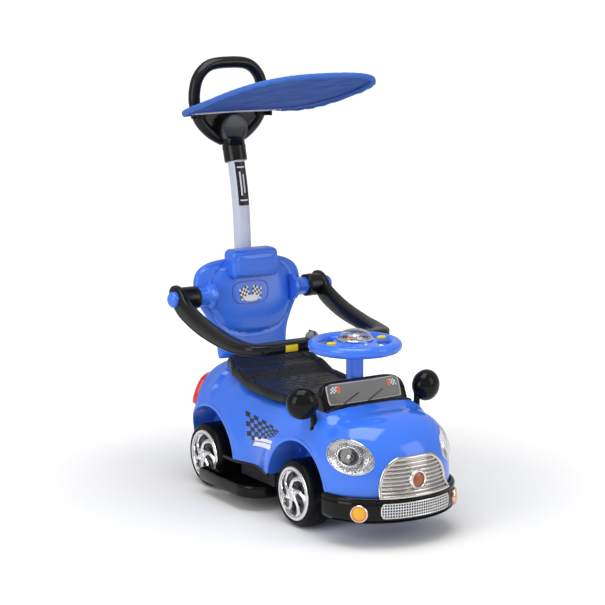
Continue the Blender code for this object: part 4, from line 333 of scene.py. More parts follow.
def rounded(angle, power):
    """The point of a unit superellipse at an angle: a square with round corners at a high power."""
    c, s = math.cos(angle), math.sin(angle)
    return math.copysign(abs(c) ** (2 / power), c), math.copysign(abs(s) ** (2 / power), s)


def ring_section(half_wide, half_high, count=16, power=2.6):
    """A rounded oblong as (across, up) pairs."""
    shape = [rounded(a, power) for a in turns_of(count)]
    return [(half_wide * across, half_high * up) for across, up in shape]


def sweep_rows(path, section_at, closed=False, up_hint=UP):
    """Rings along a path: section_at(i) gives (across, up) pairs."""
    rows = []
    count = len(path)
    for i, spot in enumerate(path):
        before = path[(i - 1) % count] if closed else path[max(i - 1, 0)]
        after = path[(i + 1) % count] if closed else path[min(i + 1, count - 1)]
        ahead = (Vector(after) - Vector(before)).normalized()
        hint = up_hint(i) if callable(up_hint) else up_hint
        across = ahead.cross(hint).normalized()
        up = across.cross(ahead).normalized()
        rows.append([Vector(spot) + across * u + up * v for u, v in section_at(i)])
    return rows


def tube(name, path, section, closed=False, up_hint=UP, angle=40):
    """One section swept along a path, with filled ends or closed into a hoop."""
    rows = sweep_rows(path, lambda i: section, closed, up_hint)
    return loft(rows, name, not closed, angle, closed)


def rib(name, spots, section, closed=False):
    """A rib over a surface, along the surface's own (point, normal) pairs."""
    return tube(name, [spot for spot, _ in spots], section, closed, lambda i: spots[i][1])


def smooth_path(points, steps):
    """A Catmull-Rom curve through the points."""
    spots = [Vector(point) for point in [points[0]] + list(points) + [points[-1]]]
    path = []
    for a, b, c, d in zip(spots, spots[1:], spots[2:], spots[3:]):
        for k in range(steps):
            t = k / steps
            slope = (c - a) * t + (2 * a - 5 * b + 4 * c - d) * t * t + (3 * b - a - 3 * c + d) * t**3
            path.append(b + 0.5 * slope)
    path.append(spots[-1])
    return path


def along(value, stops):
    """A smooth value between (position, value) stops."""
    if value <= stops[0][0]:
        return stops[0][1]
    for (a, low), (b, high) in zip(stops, stops[1:]):
        if value <= b:
            t = (value - a) / (b - a)
            return low + (high - low) * t * t * (3 - 2 * t)
    return stops[-1][1]


def facing(place, normal, long_axis):
    """A matrix at a place with local Z along the normal and local X near the long axis."""
    z = Vector(normal).normalized()
    x = Vector(long_axis)
    x = (x - z * x.dot(z)).normalized()
    return Matrix.Translation(Vector(place)) @ Matrix((x, z.cross(x), z)).transposed().to_4x4()


def sideways(place, side):
    """A matrix at a place with local Z straight out to one side."""
    return Matrix.Translation(place) @ Matrix.Rotation(side * math.pi / 2, 4, "Y")


def block_mesh(low, high, name, bevel=0.0, segments=3):
    work = bmesh.new()
    bmesh.ops.create_cube(work, size=1.0)
    low, high = Vector(low), Vector(high)
    bmesh.ops.scale(work, vec=high - low, verts=work.verts)
    bmesh.ops.translate(work, vec=(high + low) / 2, verts=work.verts)
    if bevel:
        edges = work.edges[:]
        bmesh.ops.bevel(work, geom=edges, offset=bevel, segments=segments, profile=0.5, affect="EDGES")
    return to_mesh(work, name, 35)


def side_block(side, x_span, y_span, z_span, name, bevel=0.0, segments=3):
    """A block on one side, its x span measured from the middle plane."""
    low_x, high_x = sorted((side * x_span[0], side * x_span[1]))
    low, high = (low_x, y_span[0], z_span[0]), (high_x, y_span[1], z_span[1])
    return block_mesh(low, high, name, bevel, segments)


def carve(mesh, *cutters):
    """Cuts meshes out of a mesh and returns the result as a plain mesh."""
    collection = bpy.context.scene.collection
    base = bpy.data.objects.new("carved", mesh)
    collection.objects.link(base)
    helpers = []
    for cutter in cutters:
        helper = bpy.data.objects.new("cutter", cutter)
        collection.objects.link(helper)
        helpers.append(helper)
        step = base.modifiers.new("cut", "BOOLEAN")
        step.operation = "DIFFERENCE"
        step.solver = "EXACT"
        step.object = helper
    graph = bpy.context.evaluated_depsgraph_get()
    result = bpy.data.meshes.new_from_object(base.evaluated_get(graph), depsgraph=graph)
    for item in [base] + helpers:
        bpy.data.objects.remove(item, do_unlink=True)
    return smoothed(result, 32)


def merged(name, meshes):
    """Several meshes as one, for pieces that are one moulding."""
    work = bmesh.new()
    for mesh in meshes:
        work.from_mesh(mesh)
    whole = bpy.data.meshes.new(name)
    work.to_mesh(whole)
    work.free()
    return smoothed(whole, 35)


# Body shell

SILL_Z = 0.088
BODY_HALF_WIDTH = 0.146
DOOR_HALF_WIDTH = 0.131
NOSE_START_Y = -0.290
NOSE_LENGTH = 0.123
TAIL_START_Y = 0.205
TAIL_LENGTH = 0.105
FENDER_FADE = 0.035
ARCH_RADIUS = 0.109
ARCH_Z = 0.074
ARCHES = (("front", -0.195, 0.058), ("rear", 0.160, 0.073))
SKIN = 0.003
TOP_LINE = (
    (NOSE_START_Y, 0.246), (-0.250, 0.2575), (-0.200, 0.257), (-0.146, 0.240), (-0.050, 0.235),
    (0.040, 0.239), (0.100, 0.256), (0.150, 0.270), (TAIL_START_Y, 0.272),
)
SQUARENESS = (
    (NOSE_START_Y, 3.6), (-0.240, 4.4), (-0.100, 6.0), (0.050, 5.5), (0.150, 3.6), (TAIL_START_Y, 3.0),
)
NOSE_SQUARENESS = 2.6
TAIL_SQUARENESS = 1.7
COWL_HALF_WIDTH = 0.1045
COWL_FRONT_Y = -0.2480
COWL_REAR_Y = -0.1500
COWL_FLOOR_Z = 0.2360
PUSH_BAR_RADIUS = 0.019
PUSH_BAR_Y = 0.2494
PUSH_BAR_BORE = PUSH_BAR_RADIUS + 0.0004
BIN_LOW = (-0.078, -0.112, 0.135)
BIN_HIGH = (0.078, 0.125, 0.30)


def smooth_step(t):
    return t * t * (3 - 2 * t)


def quarter_by_bearing(angle, power):
    """A point on a unit quarter of a superellipse, with even bearings from (0, 1) round to (1, 0)."""
    rise, reach = math.sin(angle), max(math.cos(angle), 0.0)
    size = (rise**power + reach**power) ** (1 / power)
    return rise / size, reach / size


def body_ribs(nose=22, side=64, tail=20):
    """The half shell's ribs: (foot, ridge, squareness), from the nose's tip back to the tail's."""
    ribs = []
    for k in range(nose):
        t = (k / nose) ** 1.05
        bearing = math.pi / 2 * t
        foot = (BODY_HALF_WIDTH * math.sin(bearing), NOSE_START_Y - NOSE_LENGTH * math.cos(bearing))
        power = NOSE_SQUARENESS + (SQUARENESS[0][1] - NOSE_SQUARENESS) * smooth_step(t)
        ribs.append((foot, NOSE_START_Y, power))
    for k in range(side + 1):
        y = NOSE_START_Y + (TAIL_START_Y - NOSE_START_Y) * k / side
        ribs.append(((BODY_HALF_WIDTH, y), y, along(y, SQUARENESS)))
    for k in range(1, tail + 1):
        bearing = math.pi / 2 * (1 - k / tail)
        foot = (BODY_HALF_WIDTH * math.sin(bearing), TAIL_START_Y + TAIL_LENGTH * math.cos(bearing))
        power = SQUARENESS[-1][1] + (TAIL_SQUARENESS - SQUARENESS[-1][1]) * smooth_step(k / tail)
        ribs.append((foot, TAIL_START_Y, power))
    return ribs


def door_recess(y, z):
    """How far the side is drawn in between the fenders, as a share of the half width."""
    reach = min(math.hypot(y - centre, z - ARCH_Z) for _, centre, _ in ARCHES)
    beyond = max(0.0, reach - ARCH_RADIUS - 0.006) / FENDER_FADE
    drawn = (BODY_HALF_WIDTH - DOOR_HALF_WIDTH) * (1 - math.exp(-beyond * beyond))
    return 1 - drawn / BODY_HALF_WIDTH if ARCHES[0][1] < y < ARCHES[1][1] else 1.0


def whole_rows(inset, levels=40):
    """Rows from the right sill over the ridge to the left sill, drawn in by the inset."""
    rows = []
    for (foot_x, foot_y), ridge_y, power in body_ribs():
        top = along(ridge_y, TOP_LINE) - inset
        shrink = 1 - inset / math.hypot(foot_x, foot_y - ridge_y)
        row = []
        for k in range(levels + 1):
            up, out = quarter_by_bearing(math.pi / 2 * k / levels, power)
            z = SILL_Z + (top - SILL_Z) * up
            y = ridge_y + (foot_y - ridge_y) * shrink * out
            row.append((foot_x * shrink * out * door_recess(y, z), y, z))
        rows.append([(-x, y, z) for x, y, z in row[:-1]] + row[::-1])
    return rows


def body_surface():
    work = bmesh.new()
    grid_faces(work, whole_rows(0.0))
    bmesh.ops.remove_doubles(work, verts=work.verts, dist=0.00005)
    bmesh.ops.recalc_face_normals(work, faces=work.faces)
    tree = BVHTree.FromBMesh(work)
    work.free()
    return tree


BODY_TREE = body_surface()


def on_body(start, aim):
    """The body's surface point met from a start along an aim, with its normal turned outward."""
    spot, normal, _, _ = BODY_TREE.ray_cast(Vector(start), Vector(aim))
    if spot is None:
        return None, None
    return spot, normal if normal.dot(Vector(aim)) < 0 else -normal


def on_side(side, y, z):
    return on_body((side * 0.4, y, z), (-side, 0, 0))


def on_nose(x, z):
    return on_body((x, -0.6, z), BACK)


def on_top(x, y):
    return on_body((x, y, 0.6), -UP)


HEADLIGHT_X, HEADLIGHT_Z = 0.1201, 0.1818
HEADLIGHT_AIM = (0.767, -0.547, 0.334)
HEADLIGHT_AXIS = (0.503, 0.837, 0.216)
HEADLIGHT_RADII = (0.053, 0.034)
HEADLIGHT_INSET = 0.0085
HEADLIGHT_DEPTH = 0.018


def headlight_matrix(side):
    """The lamp's own plane: local X runs back and up along it, local Z out of it."""
    spot, _ = on_nose(side * HEADLIGHT_X, HEADLIGHT_Z)
    mirror = Matrix.Diagonal((side, 1, 1))
    aim = (mirror @ Vector(HEADLIGHT_AIM)).normalized()
    return facing(spot - aim * HEADLIGHT_INSET, aim, mirror @ Vector(HEADLIGHT_AXIS))


def make_body():
    """The blue shell, cut for the wheels, the lamps, the bar, the screen and the bin."""
    shell = slab(whole_rows(SKIN), whole_rows(0.0), "body", ends=False)
    cutters = []
    for _, side in SIDES:
        for _, centre, _ in ARCHES:
            cutters.append(plug(ARCH_RADIUS, 0, 0.25, sideways((side * 0.02, centre, ARCH_Z), side), 96))
        lamp = headlight_matrix(side) @ Matrix.Diagonal((*HEADLIGHT_RADII, 1, 1))
        cutters.append(plug(1, -HEADLIGHT_DEPTH, 0.03, lamp, 96))
    cutters.append(plug(PUSH_BAR_BORE, 0.18, 0.32, Matrix.Translation((0, PUSH_BAR_Y, 0))))
    cowl_low = (-COWL_HALF_WIDTH, COWL_FRONT_Y, COWL_FLOOR_Z - 0.01)
    cutters.append(block_mesh(cowl_low, (COWL_HALF_WIDTH, COWL_REAR_Y, 0.30), "cowl_cutter"))
    cutters.append(block_mesh(BIN_LOW, BIN_HIGH, "bin_cutter", 0.012))
    add_piece("body_moulding", carve(shell, *cutters), BODY_BLUE, ["body_shell"])


WELL_OUTER_WALL = 0.0015
WELL_INNER_WALL = 0.002
WELL_HUB = 0.02
WELL_LIP_IN = 0.0012


def arch_lining(name, side, centre, inner_x):
    """The blue well behind one arch: a half round band that ends inside the skin, and its inner wall."""
    def spot(radius, x, a):
        return (side * x, centre + radius * math.cos(a), ARCH_Z + radius * math.sin(a))

    count = 48
    start = math.asin((SILL_Z + 0.001 - ARCH_Z) / ARCH_RADIUS)
    near, far = [], []
    for k in range(count + 1):
        a = start + (math.pi - 2 * start) * k / count
        _, y, z = spot(ARCH_RADIUS, 0, a)
        hit, _ = on_side(side, y, max(z, SILL_Z + 0.001))
        edge = inner_x + 0.01 if hit is None else abs(hit.x) - WELL_LIP_IN
        near.append([spot(ARCH_RADIUS, edge, a), spot(ARCH_RADIUS, inner_x, a), spot(WELL_HUB, inner_x, a)])
        band, wall = ARCH_RADIUS + WELL_OUTER_WALL, inner_x - WELL_INNER_WALL
        far.append([spot(band, edge, a), spot(band, wall, a), spot(WELL_HUB, wall, a)])
    add_piece(name, slab(near, far, name), BODY_BLUE)


def arch_lip(name, side, centre):
    """The rounded flange that runs round one wheel opening."""
    count, radius = 72, ARCH_RADIUS + 0.0042
    spots = []
    for k in range(count + 1):
        a = math.radians(7.5 + 165 * k / count)
        spots.append(on_side(side, centre + radius * math.cos(a), ARCH_Z + radius * math.sin(a)))
    spots = [(spot, normal) for spot, normal in spots if spot is not None]
    add_piece(name, rib(name, spots, ring_section(0.0044, 0.0017, 14, 2.4)), BODY_BLUE)


def make_wells():
    for side_name, side in SIDES:
        for place, centre, inner_x in ARCHES:
            arch_lining(f"{place}_well_{side_name}", side, centre, inner_x)
            arch_lip(f"{place}_arch_lip_{side_name}", side, centre)
    low, high = Vector(BIN_LOW), Vector(BIN_HIGH)
    inner = block_mesh(low, high, "bin_inside", 0.012)
    outer = block_mesh(low - Vector([0.002] * 3), (high.x + 0.002, high.y + 0.002, 0.2330), "bin_outside")
    add_piece("storage_bin", carve(outer, inner), BODY_BLUE)
    floor_low = (-COWL_HALF_WIDTH - 0.001, COWL_FRONT_Y - 0.001, COWL_FLOOR_Z - 0.003)
    floor_high = (COWL_HALF_WIDTH + 0.001, COWL_REAR_Y + 0.001, COWL_FLOOR_Z)
    add_piece("cowl_floor", block_mesh(floor_low, floor_high, "cowl_floor"), BODY_BLUE)


make_body()
make_wells()

# Wheels

TYRE_PROFILE = (
    (0.0570, 0.0), (0.0590, 0.0), (0.0596, 0.0010), (0.0604, 0.0010), (0.0611, -0.0002),
    (0.0640, -0.0012), (0.0668, -0.0036), (0.0688, -0.0068), (0.0698, -0.0108), (0.0700, -0.0165),
    (0.0700, -0.0296), (0.0692, -0.0304), (0.0692, -0.0321), (0.0700, -0.0329), (0.0700, -0.0460),
    (0.0698, -0.0517), (0.0688, -0.0557), (0.0668, -0.0589), (0.0640, -0.0613), (0.0600, -0.0625),
    (0.0580, -0.0625), (0.0575, -0.0500), (0.0575, -0.0180), (0.0560, -0.0150), (0.0180, -0.0150),
    (0.0180, -0.0130), (0.0570, -0.0130),
)
CAP_DISH = (
    (0.0, -0.0122), (0.030, -0.0118), (0.0490, -0.0098), (0.0530, -0.0060), (0.0530, -0.0122),
    (0.050, -0.0128), (0.0, -0.0128),
)
CAP_RIM = (
    (0.0455, -0.0105), (0.0462, -0.0030), (0.0476, -0.0004), (0.0500, 0.0010), (0.0532, 0.0014),
    (0.0556, 0.0006), (0.0569, -0.0012), (0.0569, -0.0110),
)
CAP_BEAD = ((0.0478, 0.0010), (0.0486, 0.0019), (0.0497, 0.0019), (0.0505, 0.0010), (0.0490, -0.0010))
CAP_HUB = (
    (0.0, 0.0078), (0.0052, 0.0078), (0.0058, 0.0070), (0.0078, 0.0070), (0.0086, 0.0086),
    (0.0106, 0.0086), (0.0136, 0.0064), (0.0150, 0.0030), (0.0150, -0.0100), (0.0, -0.0100),
)
CAP_LUG = ((0.0, 0.0092), (0.0016, 0.0092), (0.0022, 0.0084), (0.0022, 0.0050), (0.0, 0.0050))
LUGS = 5
LUG_CIRCLE = 0.0038
SPOKES = 6
SPOKE_REACH = (0.0125, 0.0470)
SPOKE_SWEEP = 0.75
SPOKE_HALF_WIDTHS = ((0, 0.0062), (0.35, 0.0042), (0.75, 0.0062), (1, 0.0105))
SPOKE_HEIGHTS = ((0, 0.0072), (0.45, 0.0052), (1, 0.0008))
SPOKE_CROWN = 0.0026
SPOKE_DEPTH = 0.0045
CAP_SET_IN = 0.0012


def cap_spokes(name, side):
    """Swept chrome spokes that widen into the rim, each with a raised ridge."""
    meshes = []
    for start in turns_of(SPOKES):

        def spot(t, u, raised, start=start):
            share = 2 * u - 1
            radius = SPOKE_REACH[0] + (SPOKE_REACH[1] - SPOKE_REACH[0]) * t
            half_angle = along(t, SPOKE_HALF_WIDTHS) / radius * (1 if raised else 0.96)
            a = side * (start + SPOKE_SWEEP * t * t) + half_angle * share
            ridge = SPOKE_CROWN * (1 - abs(share) ** 2.2) if raised else -SPOKE_DEPTH
            return (radius * math.cos(a), radius * math.sin(a), along(t, SPOKE_HEIGHTS) + ridge)

        meshes.append(sheet_mesh("spoke", 16, 8, spot, False, True, 50))
    return merged(name, meshes)


def make_wheel(place, side_name, side):
    label = f"{place}_{side_name}"
    body = f"{place}_wheel_{side_name}"
    middle = node_middle(f"{label}_tyre")
    face = sideways((side * WHEEL_OUTER_X, middle.y, middle.z), side)
    set_in = Matrix.Translation((0, 0, -CAP_SET_IN))

    def wheel_piece(name, mesh, material, replaced=()):
        add_piece(f"{label}_{name}", mesh, material, replaced, body, shift=False)

    def turned(name, profile, material, steps=72, angle=30, replaced=()):
        wheel_piece(name, turn_mesh(profile, name, face, steps, angle), material, replaced)

    turned("tyre_shell", TYRE_PROFILE, TYRE_BLACK, 96, 30, [f"{label}_tyre"])
    turned("cap_dish", CAP_DISH, CAP_DARK)
    turned("cap_rim", CAP_RIM, CHROME, 96, 40, [f"{label}_hubcap"])
    turned("cap_bead", CAP_BEAD, LAMP_CHROME, 96)
    spokes = cap_spokes("cap_spokes", side)
    spokes.transform(face @ set_in)
    wheel_piece("cap_spokes", spokes, CHROME)
    turned("cap_hub", CAP_HUB, CHROME, 64, 35)
    angles = [a + 0.3 for a in turns_of(LUGS)]
    spots = [(LUG_CIRCLE * math.cos(a), LUG_CIRCLE * math.sin(a), 0) for a in angles]
    lugs = ring_of_studs("cap_lugs", CAP_LUG, spots, face @ set_in, 14)
    wheel_piece("cap_lugs", lugs, LAMP_CHROME)


for place_name in ("front", "rear"):
    for side_label, side_sign in SIDES:
        make_wheel(place_name, side_label, side_sign)

# Bumper

BUMPER_HALF = 0.152
BUMPER_LENGTH = 0.125
BUMPER_BACK_Y = -0.300
BUMPER_LEVELS = (
    (0.0520, 0.0120), (0.0535, 0.0072), (0.0560, 0.0040), (0.0600, 0.0012), (0.0640, 0.0002),
    (0.0700, 0.0), (0.0850, 0.0), (0.0925, 0.0), (0.0938, 0.0010), (0.0946, 0.0010), (0.0956, -0.0004),
    (0.0985, -0.0008), (0.1010, 0.0002), (0.1032, 0.0022), (0.1045, 0.0050),
)
BUMPER_WALLS = ((0.0535, 0.003, 0.0150), (0.0895, 0.0, 0.0105), (math.inf, 0.0, 0.0072))
BUMPER_STEPS = 72
LIP_REACH = 1.35


def bumper_point(turn, z, inset=0.0):
    """A point of the bumper's face at a bearing from straight ahead."""
    across, ahead = (BUMPER_HALF - inset) * math.sin(turn), (BUMPER_LENGTH - inset) * math.cos(turn)
    return Vector((across, BUMPER_BACK_Y - ahead, z))


def bumper_inside(turn, z):
    for limit, rise, inset in BUMPER_WALLS:
        if z < limit:
            return bumper_point(turn, z + rise, inset)


def make_bumper():
    turns = [-math.pi / 2 + math.pi * k / BUMPER_STEPS for k in range(BUMPER_STEPS + 1)]
    outer = [[bumper_point(turn, z, inset) for z, inset in BUMPER_LEVELS] for turn in turns]
    inner = [[bumper_inside(turn, z) for z, _ in BUMPER_LEVELS] for turn in turns]
    add_piece("bumper_moulding", slab(inner, outer, "bumper_moulding"), GLOSS_BLACK, ["front_bumper"])
    path = [bumper_point(-LIP_REACH + 2 * LIP_REACH * k / 60, 0.0538, 0.0052) for k in range(61)]
    lip = tube("bumper_lower_lip", path, ring_section(0.0030, 0.0018, 12, 2.2))
    add_piece("bumper_lower_lip", lip, GLOSS_BLACK)


MESH_TURN = math.radians(32)
MESH_LOW_Z = 0.0640
MESH_HIGH_Z = 0.0925
MESH_STAND = 0.0022
MESH_COLUMNS = 30
MESH_LEVELS = 5
MESH_WEB_SHARE = 0.30


def mesh_spot(u, v, stand):
    """A point of the bumper's mesh, whose two ends are rounded off."""
    end = max(0.0, abs(2 * u - 1) - 0.93) / 0.07
    squeeze = 1 - 0.55 * (1 - math.sqrt(max(0.0, 1 - end * end)))
    z = (MESH_LOW_Z + MESH_HIGH_Z) / 2 + (v - 0.5) * (MESH_HIGH_Z - MESH_LOW_Z) * squeeze
    return bumper_point(-MESH_TURN + 2 * MESH_TURN * u, z, -stand)


def mesh_stops(count):
    """The edges of a row of holes and of the webs between them, from 0 to 1."""
    stops = [0.0]
    for k in range(count):
        stops += [(k + MESH_WEB_SHARE / 2) / count, (k + 1 - MESH_WEB_SHARE / 2) / count]
    return stops + [1.0]


def make_bumper_mesh():
    """A silver plate pierced by rows of square holes over a dark backing."""
    work = bmesh.new()
    us, vs = mesh_stops(MESH_COLUMNS), mesh_stops(MESH_LEVELS)
    front = [[work.verts.new(mesh_spot(u, v, MESH_STAND)) for v in vs] for u in us]
    back = [[work.verts.new(mesh_spot(u, v, 0.0002)) for v in vs] for u in us]

    def is_solid(i, j):
        inside = 0 <= i < len(us) - 1 and 0 <= j < len(vs) - 1
        return inside and not (i % 2 and j % 2)

    for i in range(len(us) - 1):
        for j in range(len(vs) - 1):
            if not is_solid(i, j):
                continue
            corners = ((i, j), (i + 1, j), (i + 1, j + 1), (i, j + 1))
            work.faces.new([front[a][b] for a, b in corners])
            work.faces.new([back[a][b] for a, b in corners[::-1]])
            beside = ((i, j - 1), (i + 1, j), (i, j + 1), (i - 1, j))
            for k, neighbour in enumerate(beside):
                if not is_solid(*neighbour):
                    (a, b), (c, d) = corners[k], corners[(k + 1) % 4]
                    work.faces.new((front[c][d], front[a][b], back[a][b], back[c][d]))
    add_piece("bumper_grid", to_mesh(work, "bumper_grid", 20, 0), MESH_SILVER, ["bumper_mesh"])

    def back_spot(u, v, stand):
        return mesh_spot((1 + 38 * u) / 40, 0.05 + 0.9 * v, stand)

    backing = sheet_mesh("bumper_grid_back", 38, 4, back_spot, -0.0010, 0.0003)
    add_piece("bumper_grid_back", backing, DARK)
    long, short = [k / 40 for k in range(40)], [k / 6 for k in range(6)]
    edge = [(u, 0) for u in long] + [(1, v) for v in short]
    edge += [(1 - u, 1) for u in long] + [(0, 1 - v) for v in short]
    path = [mesh_spot(u, v, MESH_STAND * 0.6) for u, v in edge]

    def outward(i):
        return Vector((path[i].x * 0.7, path[i].y - BUMPER_BACK_Y, 0)).normalized()

    hoop = tube("bumper_grid_frame", path, ring_section(0.0015, 0.0013, 10, 2.2), True, outward)
    add_piece("bumper_grid_frame", hoop, MESH_SILVER)


FOG_TURN = math.radians(50)
FOG_Z = 0.073
FOG_LENS_RADIUS = 0.0141
FOG_LENS_CROWN = 0.0058
FOG_LENS_FOOT = 0.0008
FOG_RING_PROFILE = (
    (0.0138, -0.0010), (0.0138, 0.0030), (0.0150, 0.0044), (0.0166, 0.0046), (0.0178, 0.0032),
    (0.0182, -0.0030), (0.0165, -0.0060),
)
FOG_BEAD = ((0.0, 0.00075), (0.0009, 0.0004), (0.00125, -0.0004), (0.0, -0.0008))
FOG_BEAD_RINGS = ((0.0042, 7), (0.0084, 13), (0.0118, 19))


def make_fog_lamp(side_name, side):
    """A domed amber lens with rings of moulded beads, in a plated ring on the bumper's face."""
    turn = side * FOG_TURN
    normal = (math.sin(turn) / BUMPER_HALF, -math.cos(turn) / BUMPER_LENGTH, 0)
    matrix = facing(bumper_point(turn, FOG_Z), normal, UP)
    add_piece(f"fog_ring_{side_name}", turn_mesh(FOG_RING_PROFILE, "ring", matrix), FOG_RING)
    lens = []
    for k in range(13):
        a = math.pi / 2 * k / 12
        height = FOG_LENS_FOOT + FOG_LENS_CROWN * math.cos(a) + 0.00022 * math.sin(26 * k / 12)
        lens.append((FOG_LENS_RADIUS * math.sin(a), height))
    lens += [(FOG_LENS_RADIUS, -0.003), (0.0, -0.003)]
    mesh = turn_mesh(lens, "fog", matrix, 64, 60)
    add_piece(f"fog_lens_{side_name}", mesh, AMBER, [f"fog_lamp_{side_name}"])
    spots = []
    for radius, count in FOG_BEAD_RINGS:
        height = FOG_LENS_FOOT + FOG_LENS_CROWN * math.cos(math.asin(radius / FOG_LENS_RADIUS))
        spots += [(radius * math.cos(a), radius * math.sin(a), height) for a in turns_of(count)]
    beads = ring_of_studs("fog_beads", FOG_BEAD, spots, matrix, 8, 20)
    add_piece(f"fog_beads_{side_name}", beads, AMBER)


make_bumper()
make_bumper_mesh()
for side_label, side_sign in SIDES:
    make_fog_lamp(side_label, side_sign)

# Grille and its badge

GRILLE_BOTTOM_Z = 0.1015
GRILLE_TOP_Z = 0.1800
GRILLE_HALF = 0.081
GRILLE_BARS = 9
GRILLE_FRAME_INSET = 0.0036
GRILLE_FOOT_LEAN = 0.0125
BADGE_Z = 0.133
BADGE_RING = (
    (0.0138, 0.0020), (0.0140, 0.0066), (0.0152, 0.0084), (0.0178, 0.0086), (0.0196, 0.0072),
    (0.0204, 0.0044), (0.0204, 0.0), (0.0150, 0.0),
)
BADGE_DISC = (
    (0.0, 0.0074), (0.0050, 0.0072), (0.0105, 0.0062), (0.0136, 0.0052), (0.0139, 0.0022), (0.0, 0.0022),
)


def grille_half_at(z):
    """Half the grille's width at a height: flat at the foot, round at the top."""
    rise = min(max((z - GRILLE_BOTTOM_Z) / (GRILLE_TOP_Z - GRILLE_BOTTOM_Z), 0.0), 1.0)
    return GRILLE_HALF * max(1 - (0.985 * rise) ** 2.8, 0.0) ** (1 / 2.8)


def grille_spot(x, z, stand):
    """A point off the nose and its normal; near its foot the grille stands forward over the bumper."""
    spot, normal = on_nose(x, z)
    foot = max(0.0, 1 - (z - GRILLE_BOTTOM_Z) / 0.022) ** 1.6
    return spot + normal * (stand + GRILLE_FOOT_LEAN * foot), normal


def grille_outline():
    """The frame's centre line: up one side, over the top, down the other and back along the foot."""
    inset = GRILLE_FRAME_INSET
    low, high = GRILLE_BOTTOM_Z + inset, GRILLE_TOP_Z - inset
    heights = [low + (high - low) * math.sin(math.pi / 2 * k / 28) for k in range(28)]
    rise = [(grille_half_at(z) - inset, z) for z in heights]
    top, foot = grille_half_at(high) - inset, grille_half_at(low) - inset
    spots = [(-x, z) for x, z in rise] + [(top * (k / 4 - 1), high) for k in range(9)]
    return spots + rise[::-1] + [(foot * (1 - k / 8), low) for k in range(1, 16)]


def make_grille():
    spots = [grille_spot(x, z, 0.0022) for x, z in grille_outline()]
    hoop = rib("grille_frame", spots, ring_section(GRILLE_FRAME_INSET, 0.0033, 16, 2.3), True)
    add_piece("grille_frame", hoop, GRILLE_CHROME, ["grille"])
    bars = []
    pitch = (GRILLE_TOP_Z - GRILLE_BOTTOM_Z - 0.008) / GRILLE_BARS
    for k in range(GRILLE_BARS):
        z = GRILLE_BOTTOM_Z + 0.006 + pitch * (k + 0.5)
        half = grille_half_at(z) - 0.0035
        if half > 0.012:
            spots = [grille_spot(half * (j / 14 - 1), z, 0.0008) for j in range(29)]
            bars.append(rib("bar", spots, ring_section(pitch * 0.36, 0.0026, 14, 2.0)))
    add_piece("grille_bars", merged("grille_bars", bars), GRILLE_CHROME)

    def back_spot(v, u, stand):
        z = GRILLE_BOTTOM_Z + 0.002 + (GRILLE_TOP_Z - GRILLE_BOTTOM_Z - 0.006) * v
        return grille_spot((grille_half_at(z) - 0.003) * (2 * u - 1), z, stand)[0]

    add_piece("grille_back", sheet_mesh("grille_back", 24, 24, back_spot, -0.0006, 0.0004), GRILLE_SHADE)


def make_badge():
    """A chrome ring with a bare orange disc: the place for a badge, left blank."""
    matrix = facing(*on_nose(0, BADGE_Z), LEFT)
    add_piece("badge_ring", turn_mesh(BADGE_RING, "badge_ring", matrix, 64, 40), CHROME, ["grille_badge"])
    add_piece("badge_disc", turn_mesh(BADGE_DISC, "badge_disc", matrix, 48, 60), BADGE_AMBER)


make_grille()
make_badge()

# Headlights

LAMP_STEPS = 96
LAMP_RIM_SHARE = 0.992
LAMP_BOWL = (
    (0.10, 0.0035 - HEADLIGHT_DEPTH, 0.0), (0.38, 0.0042 - HEADLIGHT_DEPTH, 0.12), (0.47, -0.0135, 0.21),
    (0.75, -0.0112, 0.55), (0.93, -0.0040, 0.87), (LAMP_RIM_SHARE, -0.0030, 1.0),
    (LAMP_RIM_SHARE, -0.0056, 1.0), (0.78, -0.0135, 0.55), (0.47, 0.0016 - HEADLIGHT_DEPTH, 0.2),
    (0.10, 0.0006 - HEADLIGHT_DEPTH, 0.0),
)
LAMP_RIM = (
    (0.930, -0.0024, 0.90), (0.945, 0.0004, 0.92), (0.970, 0.0012, 0.97), (LAMP_RIM_SHARE, 0.0004, 1.0),
    (LAMP_RIM_SHARE, -0.0028, 1.0), (0.930, -0.0034, 0.90),
)
LAMP_FIELD = (0.46, 0.96)
LAMP_INNER_STRETCH = (1, 0.80)
LAMP_BEAD = ((0.0, 0.0017), (0.0011, 0.0013), (0.0017, 0.0), (0.0, -0.0012))
LAMP_BEADS = 30
LAMP_BEAD_RADII = (0.0276, 0.0218)
LAMP_BEZEL = (
    (0.0216, -0.0006), (0.0220, 0.0006), (0.0230, 0.0010), (0.0250, 0.0006), (0.0258, -0.0010),
    (0.0258, -0.0080), (0.0216, -0.0080),
)
LAMP_CUP = (
    (0.0060, -0.0100), (0.0066, -0.0030), (0.0092, 0.0010), (0.0112, 0.0014), (0.0122, 0.0004),
    (0.0150, -0.0060), (0.0214, -0.0072), (0.0214, -0.0105), (0.0060, -0.0105),
)
LAMP_BULB = (
    (0.0, 0.0034), (0.0022, 0.0030), (0.0044, 0.0012), (0.0056, -0.0020), (0.0056, -0.0095), (0.0, -0.0095),
)
LENS_CROWN = 0.0130
LENS_WALL = 0.0016


def lamp_point(share, a, height):
    return (HEADLIGHT_RADII[0] * share * math.cos(a), HEADLIGHT_RADII[1] * share * math.sin(a), height)


def lamp_edges(matrix):
    """How far above the lamp's plane the body passes, round its rim."""
    edges = []
    aim = (matrix.to_3x3() @ UP).normalized()
    for a in turns_of(LAMP_STEPS):
        start = matrix @ Vector(lamp_point(1, a, 0.03))
        hit, _ = on_body(start, -aim)
        edges.append(0.0 if hit is None else (hit - start).dot(aim) + 0.03)
    return edges


